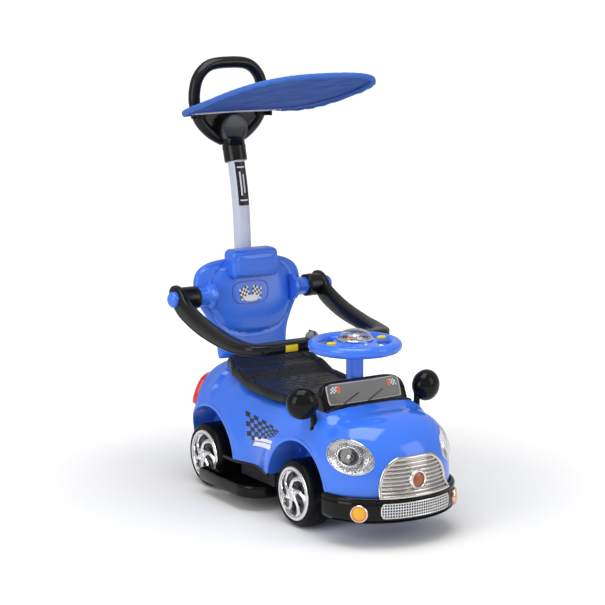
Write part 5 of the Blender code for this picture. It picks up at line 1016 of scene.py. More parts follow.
def lamp_mesh(name, matrix, edges, stops, angle=35, hoop=False):
    """Rings of (share of the radii, height, share of the body's form taken), closed or capped."""
    rings = []
    for share, height, follow in stops:
        turns = zip(turns_of(LAMP_STEPS), edges)
        rings.append([lamp_point(share, a, height + follow * edge) for a, edge in turns])
    mesh = loft(rings, name, True, angle, hoop)
    mesh.transform(matrix)
    return mesh


def lamp_facets(name, matrix, edges):
    """The reflector's field of small pyramids between the rim and the inner ring."""
    count, rings = 72, 9
    rows = []
    for i in range(rings + 1):
        share = LAMP_FIELD[0] + (LAMP_FIELD[1] - LAMP_FIELD[0]) * i / rings
        row = []
        for k in range(count):
            a = 2 * math.pi * (k + 0.5 * (i % 2)) / count
            edge = edges[int(k * LAMP_STEPS / count) % LAMP_STEPS]
            relief = 0.0011 * (1 if (i + k) % 2 else -1) if 0 < i < rings else -0.0004
            height = -0.0125 + 0.0096 * (i / rings) ** 1.6 + relief
            row.append(lamp_point(share, a, height + share**2 * edge))
        rows.append(row)
    work = bmesh.new()
    top = grid_faces(work, rows, True)
    bottom = grid_faces(work, [[(x, y, z - 0.0016) for x, y, z in row] for row in rows], True)
    for end in (0, -1):
        for k in range(count):
            j = (k + 1) % count
            work.faces.new((top[end][k], top[end][j], bottom[end][j], bottom[end][k]))
    mesh = to_mesh(work, name, 8, 0)
    mesh.transform(matrix)
    return mesh


def lens_stops():
    """The lens: a domed outer face, the rim and the inner face back to the middle."""
    outer, under = [], []
    for k in range(1, 17):
        t = k / 16
        height = LENS_CROWN * (1 - t**2.3)
        outer.append((LAMP_RIM_SHARE * t, height, t * t))
        if LAMP_RIM_SHARE * t < 0.96:
            under.append((LAMP_RIM_SHARE * t, height - LENS_WALL, t * t))
    return outer + [(LAMP_RIM_SHARE, -LENS_WALL, 1.0)] + under[::-1]


def make_headlight(side_name, side):
    matrix = headlight_matrix(side)
    edges = lamp_edges(matrix)
    inner = matrix @ Matrix.Translation((0.004, 0.0, -0.0040))

    def lamp_piece(name, mesh, material, replaced=()):
        add_piece(f"lamp_{name}_{side_name}", mesh, material, [f"{node}_{side_name}" for node in replaced])

    lamp_piece("bowl", lamp_mesh("bowl", matrix, edges, LAMP_BOWL), LAMP_CHROME, ["headlight_reflector"])
    lamp_piece("facets", lamp_facets("facets", matrix, edges), LAMP_CHROME)
    lamp_piece("rim", lamp_mesh("rim", matrix, edges, LAMP_RIM, 40, True), CHROME)
    across, up = LAMP_BEAD_RADII
    spots = [(across * math.cos(a), up * math.sin(a), 0.0004) for a in turns_of(LAMP_BEADS)]
    lamp_piece("beads", ring_of_studs("beads", LAMP_BEAD, spots, inner, 10, 30), LAMP_CHROME)
    lamp_piece("bezel", turn_mesh(LAMP_BEZEL, "bezel", inner, 64, 30, LAMP_INNER_STRETCH), LAMP_CHROME)
    lamp_piece("cup", turn_mesh(LAMP_CUP, "cup", inner, 56, 30, LAMP_INNER_STRETCH), CAP_DARK)
    lamp_piece("bulb", turn_mesh(LAMP_BULB, "bulb", inner, 32, 40), LAMP_CHROME)
    lamp_piece("lens", lamp_mesh("lens", matrix, edges, lens_stops(), 60), CLEAR, ["headlight_lens"])


# Tail lamps

TAIL_LAMP_BEARING = 55
TAIL_LAMP_SPREAD = 17


def make_tail_lamp(side_name, side):
    """A domed red lens that wraps round the body's rear corner."""
    low, high = node_box(f"tail_lamp_{side_name}")

    def spot(across, rise, raised):
        u, v = 2 * across - 1, 2 * rise - 1
        turn = math.radians(TAIL_LAMP_BEARING + TAIL_LAMP_SPREAD * u * (1 - 0.10 * v * v))
        z = (low.z + high.z) / 2 + (high.z - low.z) / 2 * v * (1 - 0.16 * abs(u) ** 3)
        aim = Vector((side * math.sin(turn), math.cos(turn), 0))
        place, normal = on_body(Vector((0, TAIL_START_Y - 0.02, z)) + aim * 0.4, -aim)
        edge = max(abs(u), abs(v))
        dome = 0.0085 * (1 - edge**5) ** 0.5 + 0.0006 * math.sin(v * 30) * (1 - edge)
        return place + normal * (dome if raised else -0.002)

    mesh = sheet_mesh(f"tail_lens_{side_name}", 14, 18, spot, False, True, 60)
    add_piece(f"tail_lens_{side_name}", mesh, RED, [f"tail_lamp_{side_name}"])


# Mirrors

MIRROR_PLACE = (0.1537, -0.2317, 0.2709)
MIRROR_STEM = (0.1255, -0.2355, 0.219)
MIRROR_RADIUS = 0.0330
MIRROR_DEPTH = 0.0264
MIRROR_RIM_HEIGHT = 0.0176
MIRROR_RIM = ((0.0243, 0.0190), (0.0232, MIRROR_RIM_HEIGHT), (0.0226, 0.0150), (0.0, 0.0150))
MIRROR_FOOT = ((0.0, 0.0030), (0.0086, 0.0030), (0.0110, 0.0010), (0.0116, -0.0040), (0.0, -0.0040))
MIRROR_FACE = ((0.0, 0.0166), (0.0120, 0.0162), (0.0218, 0.0154), (0.0224, 0.0142), (0.0, 0.0142))


def make_mirror(side_name, side):
    """A round shell on a tapered stem that stands on the wing, with the glass facing back."""
    x, y, z = MIRROR_PLACE
    turned = Matrix.Rotation(math.radians(side * 20), 4, "Z") @ Matrix.Rotation(-math.pi / 2, 4, "X")
    matrix = Matrix.Translation((side * x, y, z)) @ turned
    angles = [math.pi * 0.985 * k / 32 for k in range(33)]
    shell = [(MIRROR_RADIUS * math.sin(a), -MIRROR_DEPTH * math.cos(a)) for a in angles]
    shell = [(r, h) for r, h in shell if h < MIRROR_RIM_HEIGHT] + list(MIRROR_RIM)
    start = Vector((side * MIRROR_STEM[0], MIRROR_STEM[1], MIRROR_STEM[2]))
    stop = Vector((side * (MIRROR_STEM[0] + 0.004), y, z - 0.010))
    path = smooth_path([start, start.lerp(stop, 0.5) + Vector((side * 0.001, 0, 0)), stop], 8)

    def stem_section(i):
        radius = 0.0062 + 0.0030 * (1 - i / 16) ** 3
        return ring_section(radius, radius, 20, 2.0)

    stem = loft(sweep_rows(path, stem_section, up_hint=BACK), "stem")
    foot = turn_mesh(MIRROR_FOOT, "foot", facing(start, stop - start, BACK), 32)
    whole = merged(f"mirror_shell_{side_name}", [turn_mesh(shell, "shell", matrix, 72, 40), stem, foot])
    add_piece(f"mirror_shell_{side_name}", whole, GLOSS_BLACK, [f"mirror_{side_name}"])
    add_piece(f"mirror_glass_{side_name}", turn_mesh(MIRROR_FACE, "glass", matrix, 48), MIRROR_GLASS)


for make_pair in (make_headlight, make_tail_lamp, make_mirror):
    for side_label, side_sign in SIDES:
        make_pair(side_label, side_sign)

# Windscreen

SCREEN_TOP_Z = 0.302
SCREEN_RAKE = 0.0275
SCREEN_CROWN = 0.006
SCREEN_FACE_HALF = 0.0885
SCREEN_COLUMN_Y = -0.193


def screen_section(x):
    """The screen's front foot, top, front top and back foot at one x."""
    share = min(abs(x) / COWL_HALF_WIDTH, 1.0)
    top = COWL_FLOOR_Z + 0.010 + (SCREEN_TOP_Z - COWL_FLOOR_Z - 0.010) * (1 - share**5) ** 0.2
    front = COWL_FRONT_Y + 0.0018 + SCREEN_CROWN * share * share
    lean = SCREEN_RAKE * (top - COWL_FLOOR_Z) / (SCREEN_TOP_Z - COWL_FLOOR_Z)
    return front, top, front + lean, COWL_REAR_Y - 0.0003


def screen_spot(u, rise, stand=0.0):
    """A point of the raked face: u runs across from -1 to 1, rise from 0 to 1."""
    x = u * SCREEN_FACE_HALF
    front, top, _, _ = screen_section(x)
    z = COWL_FLOOR_Z + (SCREEN_TOP_Z - COWL_FLOOR_Z) * rise
    z = min(z, COWL_FLOOR_Z + (top - COWL_FLOOR_Z) * 0.97)
    y = front + SCREEN_RAKE * (z - COWL_FLOOR_Z) / (SCREEN_TOP_Z - COWL_FLOOR_Z)
    return Vector((x, y - 0.92 * stand, z + 0.38 * stand))


def screen_ring(x):
    """One section of the surround: raked front, rounded top and a back that falls to the cowl."""
    front, top, front_top, back = screen_section(x)
    floor, crown = COWL_FLOOR_Z + 0.0004, 0.003
    back_height = floor + 0.016 * (top - floor) / (SCREEN_TOP_Z - floor)
    ring = [(x, front, floor)]
    for t in [j / 7 for j in range(1, 7)]:
        ring.append((x, front + (front_top - front) * t, floor + (top - crown - floor) * t))
    for a in [math.pi / 2 * j / 6 for j in range(7)]:
        ring.append((x, front_top + 0.0050 * (1 - math.cos(a)), top - crown + crown * math.sin(a)))
    ring += [(x, front_top + 0.0100, top - 0.0006), (x, front_top + 0.0125, top - 0.0030)]
    for t in [j / 5 for j in range(1, 5)]:
        y = front_top + 0.0125 + (back - front_top - 0.0125) * t
        ring.append((x, y, top - crown + (back_height - top + crown) * (1 - (1 - t) ** 2.2)))
    return ring + [(x, back, back_height), (x, back, floor)]


def make_windscreen():
    half = COWL_HALF_WIDTH - 0.0006
    rings = [screen_ring(half * math.sin(math.pi / 2 * (k / 28 - 1))) for k in range(57)]
    shell = loft(rings, "screen_frame", True, 35)
    for _, side in SIDES:
        y_span = (COWL_REAR_Y - 0.006, -0.1330)
        ear = side_block(side, (0.1010, half), y_span, (COWL_FLOOR_Z + 0.0055, 0.2510), "ear", 0.0012)
        shell = merged("screen_frame", [shell, ear])
    shell = carve(shell, plug(0.0186, 0.20, 0.34, Matrix.Translation((0, SCREEN_COLUMN_Y, 0))))
    add_piece("screen_frame", shell, GLOSS_BLACK, ["windscreen_frame"])
    spots = []
    for k in range(41):
        x = (COWL_HALF_WIDTH - 0.0015) * (k / 20 - 1)
        spots.append(on_top(x, COWL_FRONT_Y - 0.0035 + 0.010 * abs(x / COWL_HALF_WIDTH) ** 6))
    add_piece("screen_foot", rib("screen_foot", spots, ring_section(0.0056, 0.0032, 18, 2.4)), GLOSS_BLACK)


def screen_patch(name, u_span, rise_span, stand, thick, material, steps, bow=0.0, replaced=()):
    """A thin patch on the raked face, its sides drawn in at the corners by the bow."""
    def spot(v, u, lift):
        across = (u_span[0] + (u_span[1] - u_span[0]) * u) * (1 - bow * abs(2 * v - 1) ** 4)
        return screen_spot(across, rise_span[0] + (rise_span[1] - rise_span[0]) * v, lift)

    mesh = sheet_mesh(name, steps[1], steps[0], spot, stand, stand + thick, 50)
    add_piece(name, mesh, material, replaced)


def chequers(name, spot_at, columns, rows, low, high, material, slot=None):
    """Alternate squares between two heights, as one thin piece: spot_at(u, v, lift) gives its points."""
    work = bmesh.new()
    for i in range(columns):
        for j in range(i % 2, rows, 2):
            square = ((i, j), (i + 1, j), (i + 1, j + 1), (i, j + 1))
            foot, face = [
                [work.verts.new(spot_at(a / columns, b / rows, lift)) for a, b in square]
                for lift in (low, high)
            ]
            work.faces.new(foot[::-1])
            work.faces.new(face)
            for a in range(4):
                b = (a + 1) % 4
                work.faces.new((foot[a], foot[b], face[b], face[a]))
    add_piece(name, to_mesh(work, name, 30, 0), material, slot=slot)


def make_screen_print():
    """The pane in its silver border, with small chequers, two orange flashes and two wipers."""
    whole, pane = (-1.02, 1.02), (-0.985, 0.985)
    screen_patch("screen_border", whole, (0.33, 0.935), 0.0002, 0.0006, PRINT_SILVER, (48, 10), 0.03,
                 ["windscreen_panel"])
    screen_patch("screen_pane", pane, (0.36, 0.905), 0.0008, 0.0008, SCREEN_GREY, (48, 12), 0.03)
    for side_name, side in SIDES:

        def corner(u, v, lift, side=side):
            return screen_spot(side * (0.93 - 0.16 * (u + 0.25 * v)), 0.66 + 0.19 * v, 0.0016 + lift)

        chequers(f"screen_chequer_{side_name}", corner, 4, 4, 0.0, 0.00035, PRINT_WHITE, "screen_grey")
        span = sorted((side * 0.66, side * 0.74))
        screen_patch(f"screen_flash_{side_name}", span, (0.66, 0.86), 0.0016, 0.0004, PRINT_ORANGE, (6, 4))
    for k, start in enumerate((-0.62, 0.05)):
        stops = ((0, 0.34, 0.0024), (0.16, 0.44, 0.0026), (0.44, 0.60, 0.0022))
        path = smooth_path([screen_spot(start + u, rise, stand) for u, rise, stand in stops], 8)
        mesh = tube("wiper", path, ring_section(0.0011, 0.0008, 8, 2.0), up_hint=Vector((0, -1, 0.4)))
        add_piece(f"screen_wiper_{k}", mesh, PRINT_BLACK)


make_windscreen()
make_screen_print()

# Seat

SEAT_FRONT_Y = -0.1460
SEAT_REAR_Y = 0.1760
SEAT_PLAN = (
    (SEAT_FRONT_Y, 0.0960), (-0.117, 0.0985), (-0.080, 0.1070), (0.0, 0.112), (0.110, 0.112),
    (0.150, 0.100), (SEAT_REAR_Y, 0.0780),
)
SEAT_LIFT = ((SEAT_FRONT_Y, 0.0120), (-0.070, 0.016), (0.070, 0.018), (SEAT_REAR_Y, 0.016))
SEAT_CLEARANCE = 0.0014
SEAT_EDGE_ROUND = 0.0075
SEAT_PIN = (-0.1390, 0.2450)
SEAT_HALF_CUT = 0.13
BRICK_PITCH_Y, BRICK_PITCH_X = 0.0165, 0.0300
BRICK_GROOVE_DEPTH, BRICK_GROOVE_HALF = 0.0011, 0.0022


def brick_groove(x, y):
    """The depth of the grooves between staggered bricks."""
    course = (y - SEAT_FRONT_Y) / BRICK_PITCH_Y
    across = x / BRICK_PITCH_X + 0.5 * (int(course) % 2)
    off_y = abs(course - round(course)) * BRICK_PITCH_Y
    off_x = abs(across - round(across)) * BRICK_PITCH_X
    return BRICK_GROOVE_DEPTH * max(0.0, 1 - min(off_y, off_x) / BRICK_GROOVE_HALF)


def seat_spot(v, u, raised):
    """The lid's foot, or its face: a rounded border about a sunk panel moulded with rows of bricks."""
    y = SEAT_FRONT_Y + (SEAT_REAR_Y - SEAT_FRONT_Y) * v
    half = along(y, SEAT_PLAN)
    floor = along(y, TOP_LINE) + SEAT_CLEARANCE
    share = 2 * u - 1
    x = half * math.copysign(1 - (1 - abs(share)) ** 1.25, share)
    if not raised:
        return (x, y, floor)
    edge = min(half - abs(x), y - SEAT_FRONT_Y, SEAT_REAR_Y - y)
    fall = SEAT_EDGE_ROUND * (1 - math.sqrt(max(0.0, 1 - max(0.0, 1 - edge / SEAT_EDGE_ROUND) ** 2)))
    border = 0.0018 * math.exp(-((edge - 0.0085) / 0.0055) ** 2)
    sunk = 0.0045 * min(1.0, max(0.0, edge - 0.0150) / 0.0040) ** 1.4
    groove = brick_groove(x, y) if edge > 0.0215 else 0.0
    return (x, y, floor + along(y, SEAT_LIFT) - fall + border - sunk - groove)


def make_seat():
    """The lid, cut clear of its hinge pin: round its underside, half way round its front and at its ends."""
    seat = sheet_mesh("seat_cushion", 150, 110, seat_spot, False, True, 30)
    y, z = SEAT_PIN
    half = SEAT_HALF_CUT
    cutters = []
    for radius, top in ((0.0106, z + 0.05), (0.0041, z)):
        corner = block_mesh((-half, y - 0.03, z - 0.03), (half, y, top), "corner")
        cutters.append(carve(corner, plug(radius, 0, 2 * half, sideways((half, y, z), -1))))
    for _, side in SIDES:
        notch_y, notch_z = (y - 0.012, y + 0.0051), (z - 0.02, z + 0.02)
        cutters.append(side_block(side, (0.0915, half), notch_y, notch_z, "notch"))
    add_piece("seat_cushion", carve(seat, *cutters), SATIN_BLACK, ["seat_lid"], "seat")


make_seat()

# Backrest and headrest

BACK_LEAN = 0.14
BACK_FOOT_Z = 0.2750
BACK_TOP_Z = 0.4900
BACK_THICKNESS = 0.036
BACK_WIDTHS = (
    (0.275, 0.0865), (0.305, 0.0875), (0.335, 0.0940), (0.365, 0.1080), (0.395, 0.1250), (0.425, 0.1345),
    (0.450, 0.1335), (0.468, 0.1240), (0.480, 0.1060), (0.487, 0.0840), (0.490, 0.0600),
)
BACK_CURVE = smooth_path([(z, half, 0) for z, half in BACK_WIDTHS], 10)
BACK_EXPONENT = 3.4
PAD_MIDDLE_Z = 0.410
PAD_HALF_WIDTH = 0.100
PAD_HALF_HEIGHT = 0.082
PAD_EXPONENT = 2.5
PAD_BULGE = 0.00855
BOSS_X = 0.1727
BOSS = (
    (0.0, 0.0), (0.0190, 0.0), (0.0215, 0.0010), (0.0215, 0.0040), (0.0205, 0.0050), (0.0205, 0.0545),
    (0.0235, 0.0590), (0.0290, 0.0640), (0.0290, 0.0720), (0.0, 0.0720),
)
HEAD_LOW = Vector((-0.0590, 0.190, 0.4500))
HEAD_HIGH = Vector((0.0590, 0.2395, 0.5140))
HEAD_PAD_HALF_WIDTH, HEAD_PAD_HALF_HEIGHT, HEAD_PAD_DOME = 0.0500, 0.0250, 0.0052
GUARD_PIVOT_X, GUARD_PIVOT_Y, GUARD_PIVOT_Z = 0.184, 0.2134, 0.417


def back_front_y(z):
    return 0.195 + (z - 0.30) * BACK_LEAN


def back_half(z):
    """Half the backrest's width at a height, read off the smooth curve through its widths."""
    for (low, a, _), (high, b, _) in zip(BACK_CURVE, BACK_CURVE[1:]):
        if z <= high:
            return a + (b - a) * max(0.0, z - low) / (high - low)
    return BACK_CURVE[-1].y


def pad_share(x, z):
    """How far out from the pad's middle a point lies: 1 on the groove round it."""
    across, up = abs(x) / PAD_HALF_WIDTH, abs(z - PAD_MIDDLE_Z) / PAD_HALF_HEIGHT
    return (across**PAD_EXPONENT + up**PAD_EXPONENT) ** (1 / PAD_EXPONENT)


def pad_spot(x, z, lift=0.0):
    """A point on the pad's front face."""
    bulge = PAD_BULGE * max(0.0, 1 - pad_share(x, z) ** 2) ** 0.5
    return Vector((x, back_front_y(z) - bulge - lift, z))


def back_ring(z, around=96):
    """One level of the shell: its front face has the pad's bulge, the groove round it and a rim."""
    half = back_half(z)
    end = min(z - BACK_FOOT_Z, BACK_TOP_Z - z)
    thin = 1 - 0.70 * max(0.0, 1 - end / 0.014) ** 2
    ring = []
    for across, out in [rounded(a, BACK_EXPONENT) for a in turns_of(around)]:
        x, y = half * across, BACK_THICKNESS / 2 * thin * out
        if y < 0:
            share = pad_share(x, z)
            groove = math.exp(-((share - 1.0) / 0.045) ** 2)
            rim = max(0.0, 1 - (half - abs(x)) / 0.016) ** 2
            y += 0.0030 * groove + 0.0008 * rim - PAD_BULGE * max(0.0, 1 - share * share) ** 0.5
        ring.append((x, back_front_y(z) + BACK_THICKNESS / 2 + y, z))
    return ring


def make_backrest():
    """A rounded shell with a socket for the bar and two bosses for the rail."""
    shares = [1 - (1 - i / 76) ** 1.25 for i in range(77)]
    rings = [back_ring(BACK_FOOT_Z + (BACK_TOP_Z - BACK_FOOT_Z) * share) for share in shares]
    socket = plug(PUSH_BAR_BORE, 0.14, 0.60, Matrix.Translation((0, PUSH_BAR_Y, 0)))
    shell = carve(loft(rings, "back_shell"), socket)
    add_piece("back_shell", shell, SEAT_BLUE, ["backrest"])
    for side_name, side in SIDES:
        place = sideways((side * BOSS_X, GUARD_PIVOT_Y, GUARD_PIVOT_Z), -side)
        add_piece(f"back_boss_{side_name}", turn_mesh(BOSS, "boss", place, 56), SEAT_BLUE)


def make_headrest():
    block = block_mesh(HEAD_LOW, HEAD_HIGH, "headrest_block", 0.0130, 8)
    add_piece("headrest_block", block, SEAT_BLUE, ["headrest"])
    middle_z = (HEAD_LOW.z + HEAD_HIGH.z) / 2

    def spot(rise, across, raised):
        u, v = 2 * across - 1, 2 * rise - 1
        x = u * HEAD_PAD_HALF_WIDTH * (1 - 0.06 * abs(v) ** 4)
        z = middle_z - 0.001 + v * HEAD_PAD_HALF_HEIGHT * (1 - 0.08 * abs(u) ** 4)
        edge = max(abs(u), abs(v))
        face = 0.0008 * math.exp(-((edge - 0.78) / 0.05) ** 2) - HEAD_PAD_DOME * (1 - edge**5) ** 0.5
        return (x, HEAD_LOW.y + (face if raised else 0.0010), z)

    pad = sheet_mesh("headrest_pad", 20, 30, spot, False, True, 50)
    add_piece("headrest_pad", pad, SEAT_BLUE)


FLAG_MIDDLE_X = -0.0085
FLAG_MIDDLE_Z = 0.4175
STICKER_HALF_WIDTH = 0.0455
STICKER_HALF_HEIGHT = 0.0245


def make_back_sticker():
    """A thin outline round two crossed chequered flags over a plain oval; it carries no lettering."""
    path = []
    for across, up in [rounded(a, 3.6) for a in turns_of(120)]:
        across *= 1 - 0.14 * max(0.0, -up) ** 1.5
        x, z = FLAG_MIDDLE_X + STICKER_HALF_WIDTH * across, FLAG_MIDDLE_Z + STICKER_HALF_HEIGHT * up
        path.append(pad_spot(x, z, 0.0003))
    line = tube("flag_outline", path, ring_section(0.0007, 0.0006, 8), True, angle=60)
    add_piece("flag_outline", line, PRINT_GREY)
    for side_name, side in SIDES:

        def flag(u, v, lift, side=side):
            x = FLAG_MIDDLE_X + side * (0.0015 + 0.0230 * u + 0.0050 * v)
            z = FLAG_MIDDLE_Z - 0.0105 + 0.0250 * v - 0.0060 * u + 0.0012 * math.sin(6 * u)
            return pad_spot(x, z, 0.0004 + lift)

        flag_mesh = sheet_mesh("flag", 14, 14, flag, -0.0002, 0.0004, 50)
        add_piece(f"flag_cloth_{side_name}", flag_mesh, PRINT_BLACK, slot="blue_gloss")
        chequers(f"flag_squares_{side_name}", flag, 5, 5, 0.0006, 0.00095, PRINT_WHITE, "blue_gloss")

    def oval(rise, across, lift):
        v = 2 * rise - 1
        half = 0.0195 * math.sqrt(1 - v * v * 0.96)
        return pad_spot(FLAG_MIDDLE_X + half * (2 * across - 1), FLAG_MIDDLE_Z - 0.0125 + 0.0072 * v, lift)

    oval_mesh = sheet_mesh("oval", 12, 24, oval, 0.0012, 0.0018, 50)
    add_piece("flag_oval", oval_mesh, PRINT_WHITE, slot="blue_gloss")


make_backrest()
make_headrest()
make_back_sticker()

# Guard rail

GUARD_FRONT_Y, GUARD_FRONT_Z = -0.0640, 0.3500
GUARD_PATH = (
    (0.184, 0.2370, 0.4260, 0.022, 0.030),
    (0.184, 0.2290, 0.4250, 0.023, 0.044),
    (0.184, GUARD_PIVOT_Y, GUARD_PIVOT_Z, 0.023, 0.050),
    (0.183, 0.1850, 0.3960, 0.026, 0.045),
    (0.181, 0.1200, 0.3730, 0.031, 0.039),
    (0.179, 0.0450, 0.3580, 0.034, 0.033),
    (0.176, -0.0100, 0.3520, 0.036, 0.029),
    (0.166, -0.0480, GUARD_FRONT_Z, 0.038, 0.0265),
    (0.145, GUARD_FRONT_Y, GUARD_FRONT_Z, 0.040, 0.0265),
    (0.080, GUARD_FRONT_Y, GUARD_FRONT_Z, 0.040, 0.0265),
    (0.000, GUARD_FRONT_Y, GUARD_FRONT_Z, 0.040, 0.0265),
)
GUARD_CUP_RADIUS = 0.0182
GUARD_PIN_RADIUS = 0.0053
GUARD_SEAMS = (("guard_seam_top", 0.62), ("guard_seam_low", -0.62))
SLEEVE_START_X = 0.1400
SLEEVE_BORE = 0.0218
SLEEVE_LENGTH = 0.0378
SLEEVE = (
    (SLEEVE_BORE, 0.0), (SLEEVE_BORE + 0.0022, 0.0), (SLEEVE_BORE + 0.0030, 0.0010),
    (SLEEVE_BORE + 0.0034, 0.0080), (SLEEVE_BORE + 0.0036, SLEEVE_LENGTH - 0.0040),
    (SLEEVE_BORE + 0.0030, SLEEVE_LENGTH), (SLEEVE_BORE, SLEEVE_LENGTH),
)
KNOB_RADIUS = 0.0175
KNOB_RIM = 0.0060
LATCH_X, LATCH_Z = -0.021, 0.3632
LATCH_HALF_X, LATCH_HALF_Y, LATCH_HEIGHT = 0.015, 0.013, 0.014
LATCH_RIBS = 12
LABEL_X, LABEL_LENGTH, LABEL_HALF_HEIGHT = -0.099, 0.030, 0.0074


def guard_place(side, x=GUARD_PIVOT_X):
    return sideways((side * x, GUARD_PIVOT_Y, GUARD_PIVOT_Z), side)


def guard_course():
    """The rail's centre line from one pivot round the front to the other, with its widths and heights."""
    mirrored = [(-x, *rest) for x, *rest in GUARD_PATH[:-1]]
    whole = list(GUARD_PATH) + mirrored[::-1]
    sizes = smooth_path([(wide, high, 0) for *_, wide, high in whole], 10)
    return smooth_path([stop[:3] for stop in whole], 10), sizes


def guard_end(ring, ahead):
    """Shrinking rings that round off one end of the rail."""
    centre = sum(ring, Vector()) / len(ring)
    rings = []
    for a in [math.pi / 2 * k / 6 for k in range(1, 7)]:
        share = max(math.cos(a), 0.06)
        rings.append([centre + (point - centre) * share + ahead * 0.0075 * math.sin(a) for point in ring])
    return rings


def make_guard():
    path, sizes = guard_course()
    rows = sweep_rows(path, lambda i: ring_section(sizes[i].x / 2, sizes[i].y / 2, 40, 3.0))
    first = guard_end(rows[0], (path[0] - path[1]).normalized())
    last = guard_end(rows[-1], (path[-1] - path[-2]).normalized())
    cutters = []
    for _, side in SIDES:
        cutters.append(plug(GUARD_CUP_RADIUS, -0.0004, 0.030, guard_place(side)))
        cutters.append(plug(GUARD_PIN_RADIUS, -0.030, 0.010, guard_place(side), 24))
    rail = carve(loft(first[::-1] + rows + last, "guard_bar"), *cutters)
    add_piece("guard_bar", rail, RAIL_BLACK, ["guard_rail"], "guard")
    middle = list(zip(path, sizes))[22:-22]
    for name, height_share in GUARD_SEAMS:
        line = []
        for i, (spot, size) in enumerate(middle):
            before, after = middle[max(i - 1, 0)][0], middle[min(i + 1, len(middle) - 1)][0]
            across = (after - before).normalized().cross(UP).normalized()
            outward = -across if across.dot(Vector((spot.x, spot.y - 0.10, 0))) < 0 else across
            line.append(spot + UP * (size.y / 2 * height_share) + outward * (size.x / 2 * 0.955))
        add_piece(name, tube(name, line, ring_section(0.0011, 0.0007, 8, 2.0)), RAIL_BLACK, body="guard")


def make_guard_sleeve(side_name, side):
    """A black sleeve at a pivot, which turns with the rail over the backrest's boss."""
    mesh = turn_mesh(SLEEVE, "guard_sleeve", guard_place(side, SLEEVE_START_X), 64, 40)
    add_piece(f"guard_sleeve_{side_name}", mesh, RAIL_BLACK, body="guard")


def make_guard_button(side_name, side):
    low, high = node_box(f"guard_button_{side_name}")
    root, reach = sorted((abs(low.x) - GUARD_PIVOT_X, abs(high.x) - GUARD_PIVOT_X))
    foot = root + KNOB_RIM
    angles = [math.pi / 2 * k / 12 for k in range(13)]
    profile = [(KNOB_RADIUS * math.sin(a), foot + (reach - foot) * math.cos(a)) for a in angles]
    profile += [(KNOB_RADIUS, root), (0.0, root)]
    mesh = turn_mesh(profile, "guard_knob", guard_place(side), 56, 50)
    replaced, body = [f"guard_button_{side_name}"], f"guard_push_{side_name}"
    add_piece(f"guard_knob_{side_name}", mesh, BODY_BLUE, replaced, body)


def make_latch():
    """The grey catch on the rail's front bar, a ribbed hump with a slot."""
    rings = []
    for lean in [math.pi * i / 24 - math.pi / 2 for i in range(10, 24)]:
        z = LATCH_Z + max(LATCH_HEIGHT * math.sin(lean), -0.0005)
        ring = []
        for a in turns_of(48):
            reach = math.cos(lean) * (1 + 0.012 * math.cos(LATCH_RIBS * a))
            x, y = LATCH_HALF_X * reach * math.cos(a), LATCH_HALF_Y * reach * math.sin(a)
            ring.append((LATCH_X + x, GUARD_FRONT_Y + y, z))
        rings.append(ring)
    add_piece("latch_hump", loft(rings, "latch_hump", True, 50), LATCH_GREY, ["guard_latch"], "guard")
    low = Vector((-0.0215, -0.0765, 0.3620))
    slot = block_mesh(low, low + Vector((0.0012, 0.025, 0.0158)), "latch_slot", 0.0004)
    add_piece("latch_slot", slot, PRINT_BLACK, body="guard")


def make_guard_label():
    """A blank yellow label wrapped on the front of the rail."""
    def spot(rise, across, lift):
        z = GUARD_FRONT_Z + LABEL_HALF_HEIGHT * (2 * rise - 1)
        bulge = 0.020 * (1 - (abs(z - GUARD_FRONT_Z) / 0.01325) ** 3) ** (1 / 3)
        return (LABEL_X + LABEL_LENGTH * across, GUARD_FRONT_Y - bulge - lift, z)

    label = sheet_mesh("guard_label", 8, 12, spot, 0.0002, 0.0007, 50)
    add_piece("guard_label", label, YELLOW, body="guard", slot="black_gloss")


make_guard()
for make_pair in (make_guard_sleeve, make_guard_button):
    for side_label, side_sign in SIDES:
        make_pair(side_label, side_sign)
make_latch()
make_guard_label()

# Steering wheel

STEER_Y = SCREEN_COLUMN_Y
STEER_Z = 0.3667
RIM_MAJOR = 0.0851
RIM_MINOR = 0.0123
WHEEL_HUB = (
    (0.0, 0.0103), (0.0380, 0.0103), (0.0420, 0.0098), (0.0450, 0.0078), (0.0462, 0.0040),
    (0.0450, -0.0060), (0.0400, -0.0100), (0.0, -0.0110),
)
WHEEL_SPOKES = ((0, 0.0150), (math.pi, 0.0150), (-math.pi / 2, 0.0240), (math.pi / 2, 0.0130))
COLUMN = (
    (0.0, 0.2371), (0.0180, 0.2371), (0.0180, 0.3380), (0.0184, 0.3420), (0.0184, 0.3440),
    (0.0200, 0.3520), (0.0235, 0.3580), (0.0235, 0.3610), (0.0, 0.3610),
)
HUB_TOP_Z = 0.377
HORN_BASE = (
    (0.0, 0.0), (0.0360, 0.0), (0.0385, 0.0004), (0.0385, 0.0036), (0.0375, 0.0050), (0.0352, 0.0050),
    (0.0344, 0.0038), (0.0, 0.0038),
)
HORN_DISC = (
    (0.0, 0.0062), (0.0150, 0.0060), (0.0300, 0.0046), (0.0322, 0.0040), (0.0322, 0.0036), (0.0, 0.0036),
)
HORN_LIGHT = ((0.0, 0.0030), (0.0045, 0.0024), (0.0058, 0.0008), (0.0058, -0.0006), (0.0, -0.0006))
HORN_LIGHT_CIRCLE = 0.0205
HORN_DOMES = ((0.0350, 0.0186), (0.0335, 0.0172))
HORN_DOME_FOOT = 0.0052
HORN_SPEAKER = ((0.0, 0.0130), (0.0080, 0.0122), (0.0100, 0.0100), (0.0100, 0.0055), (0.0, 0.0055))
BUTTON_PLACE = (0.062, -0.199)
BUTTON_RADII = (0.011, 0.007)
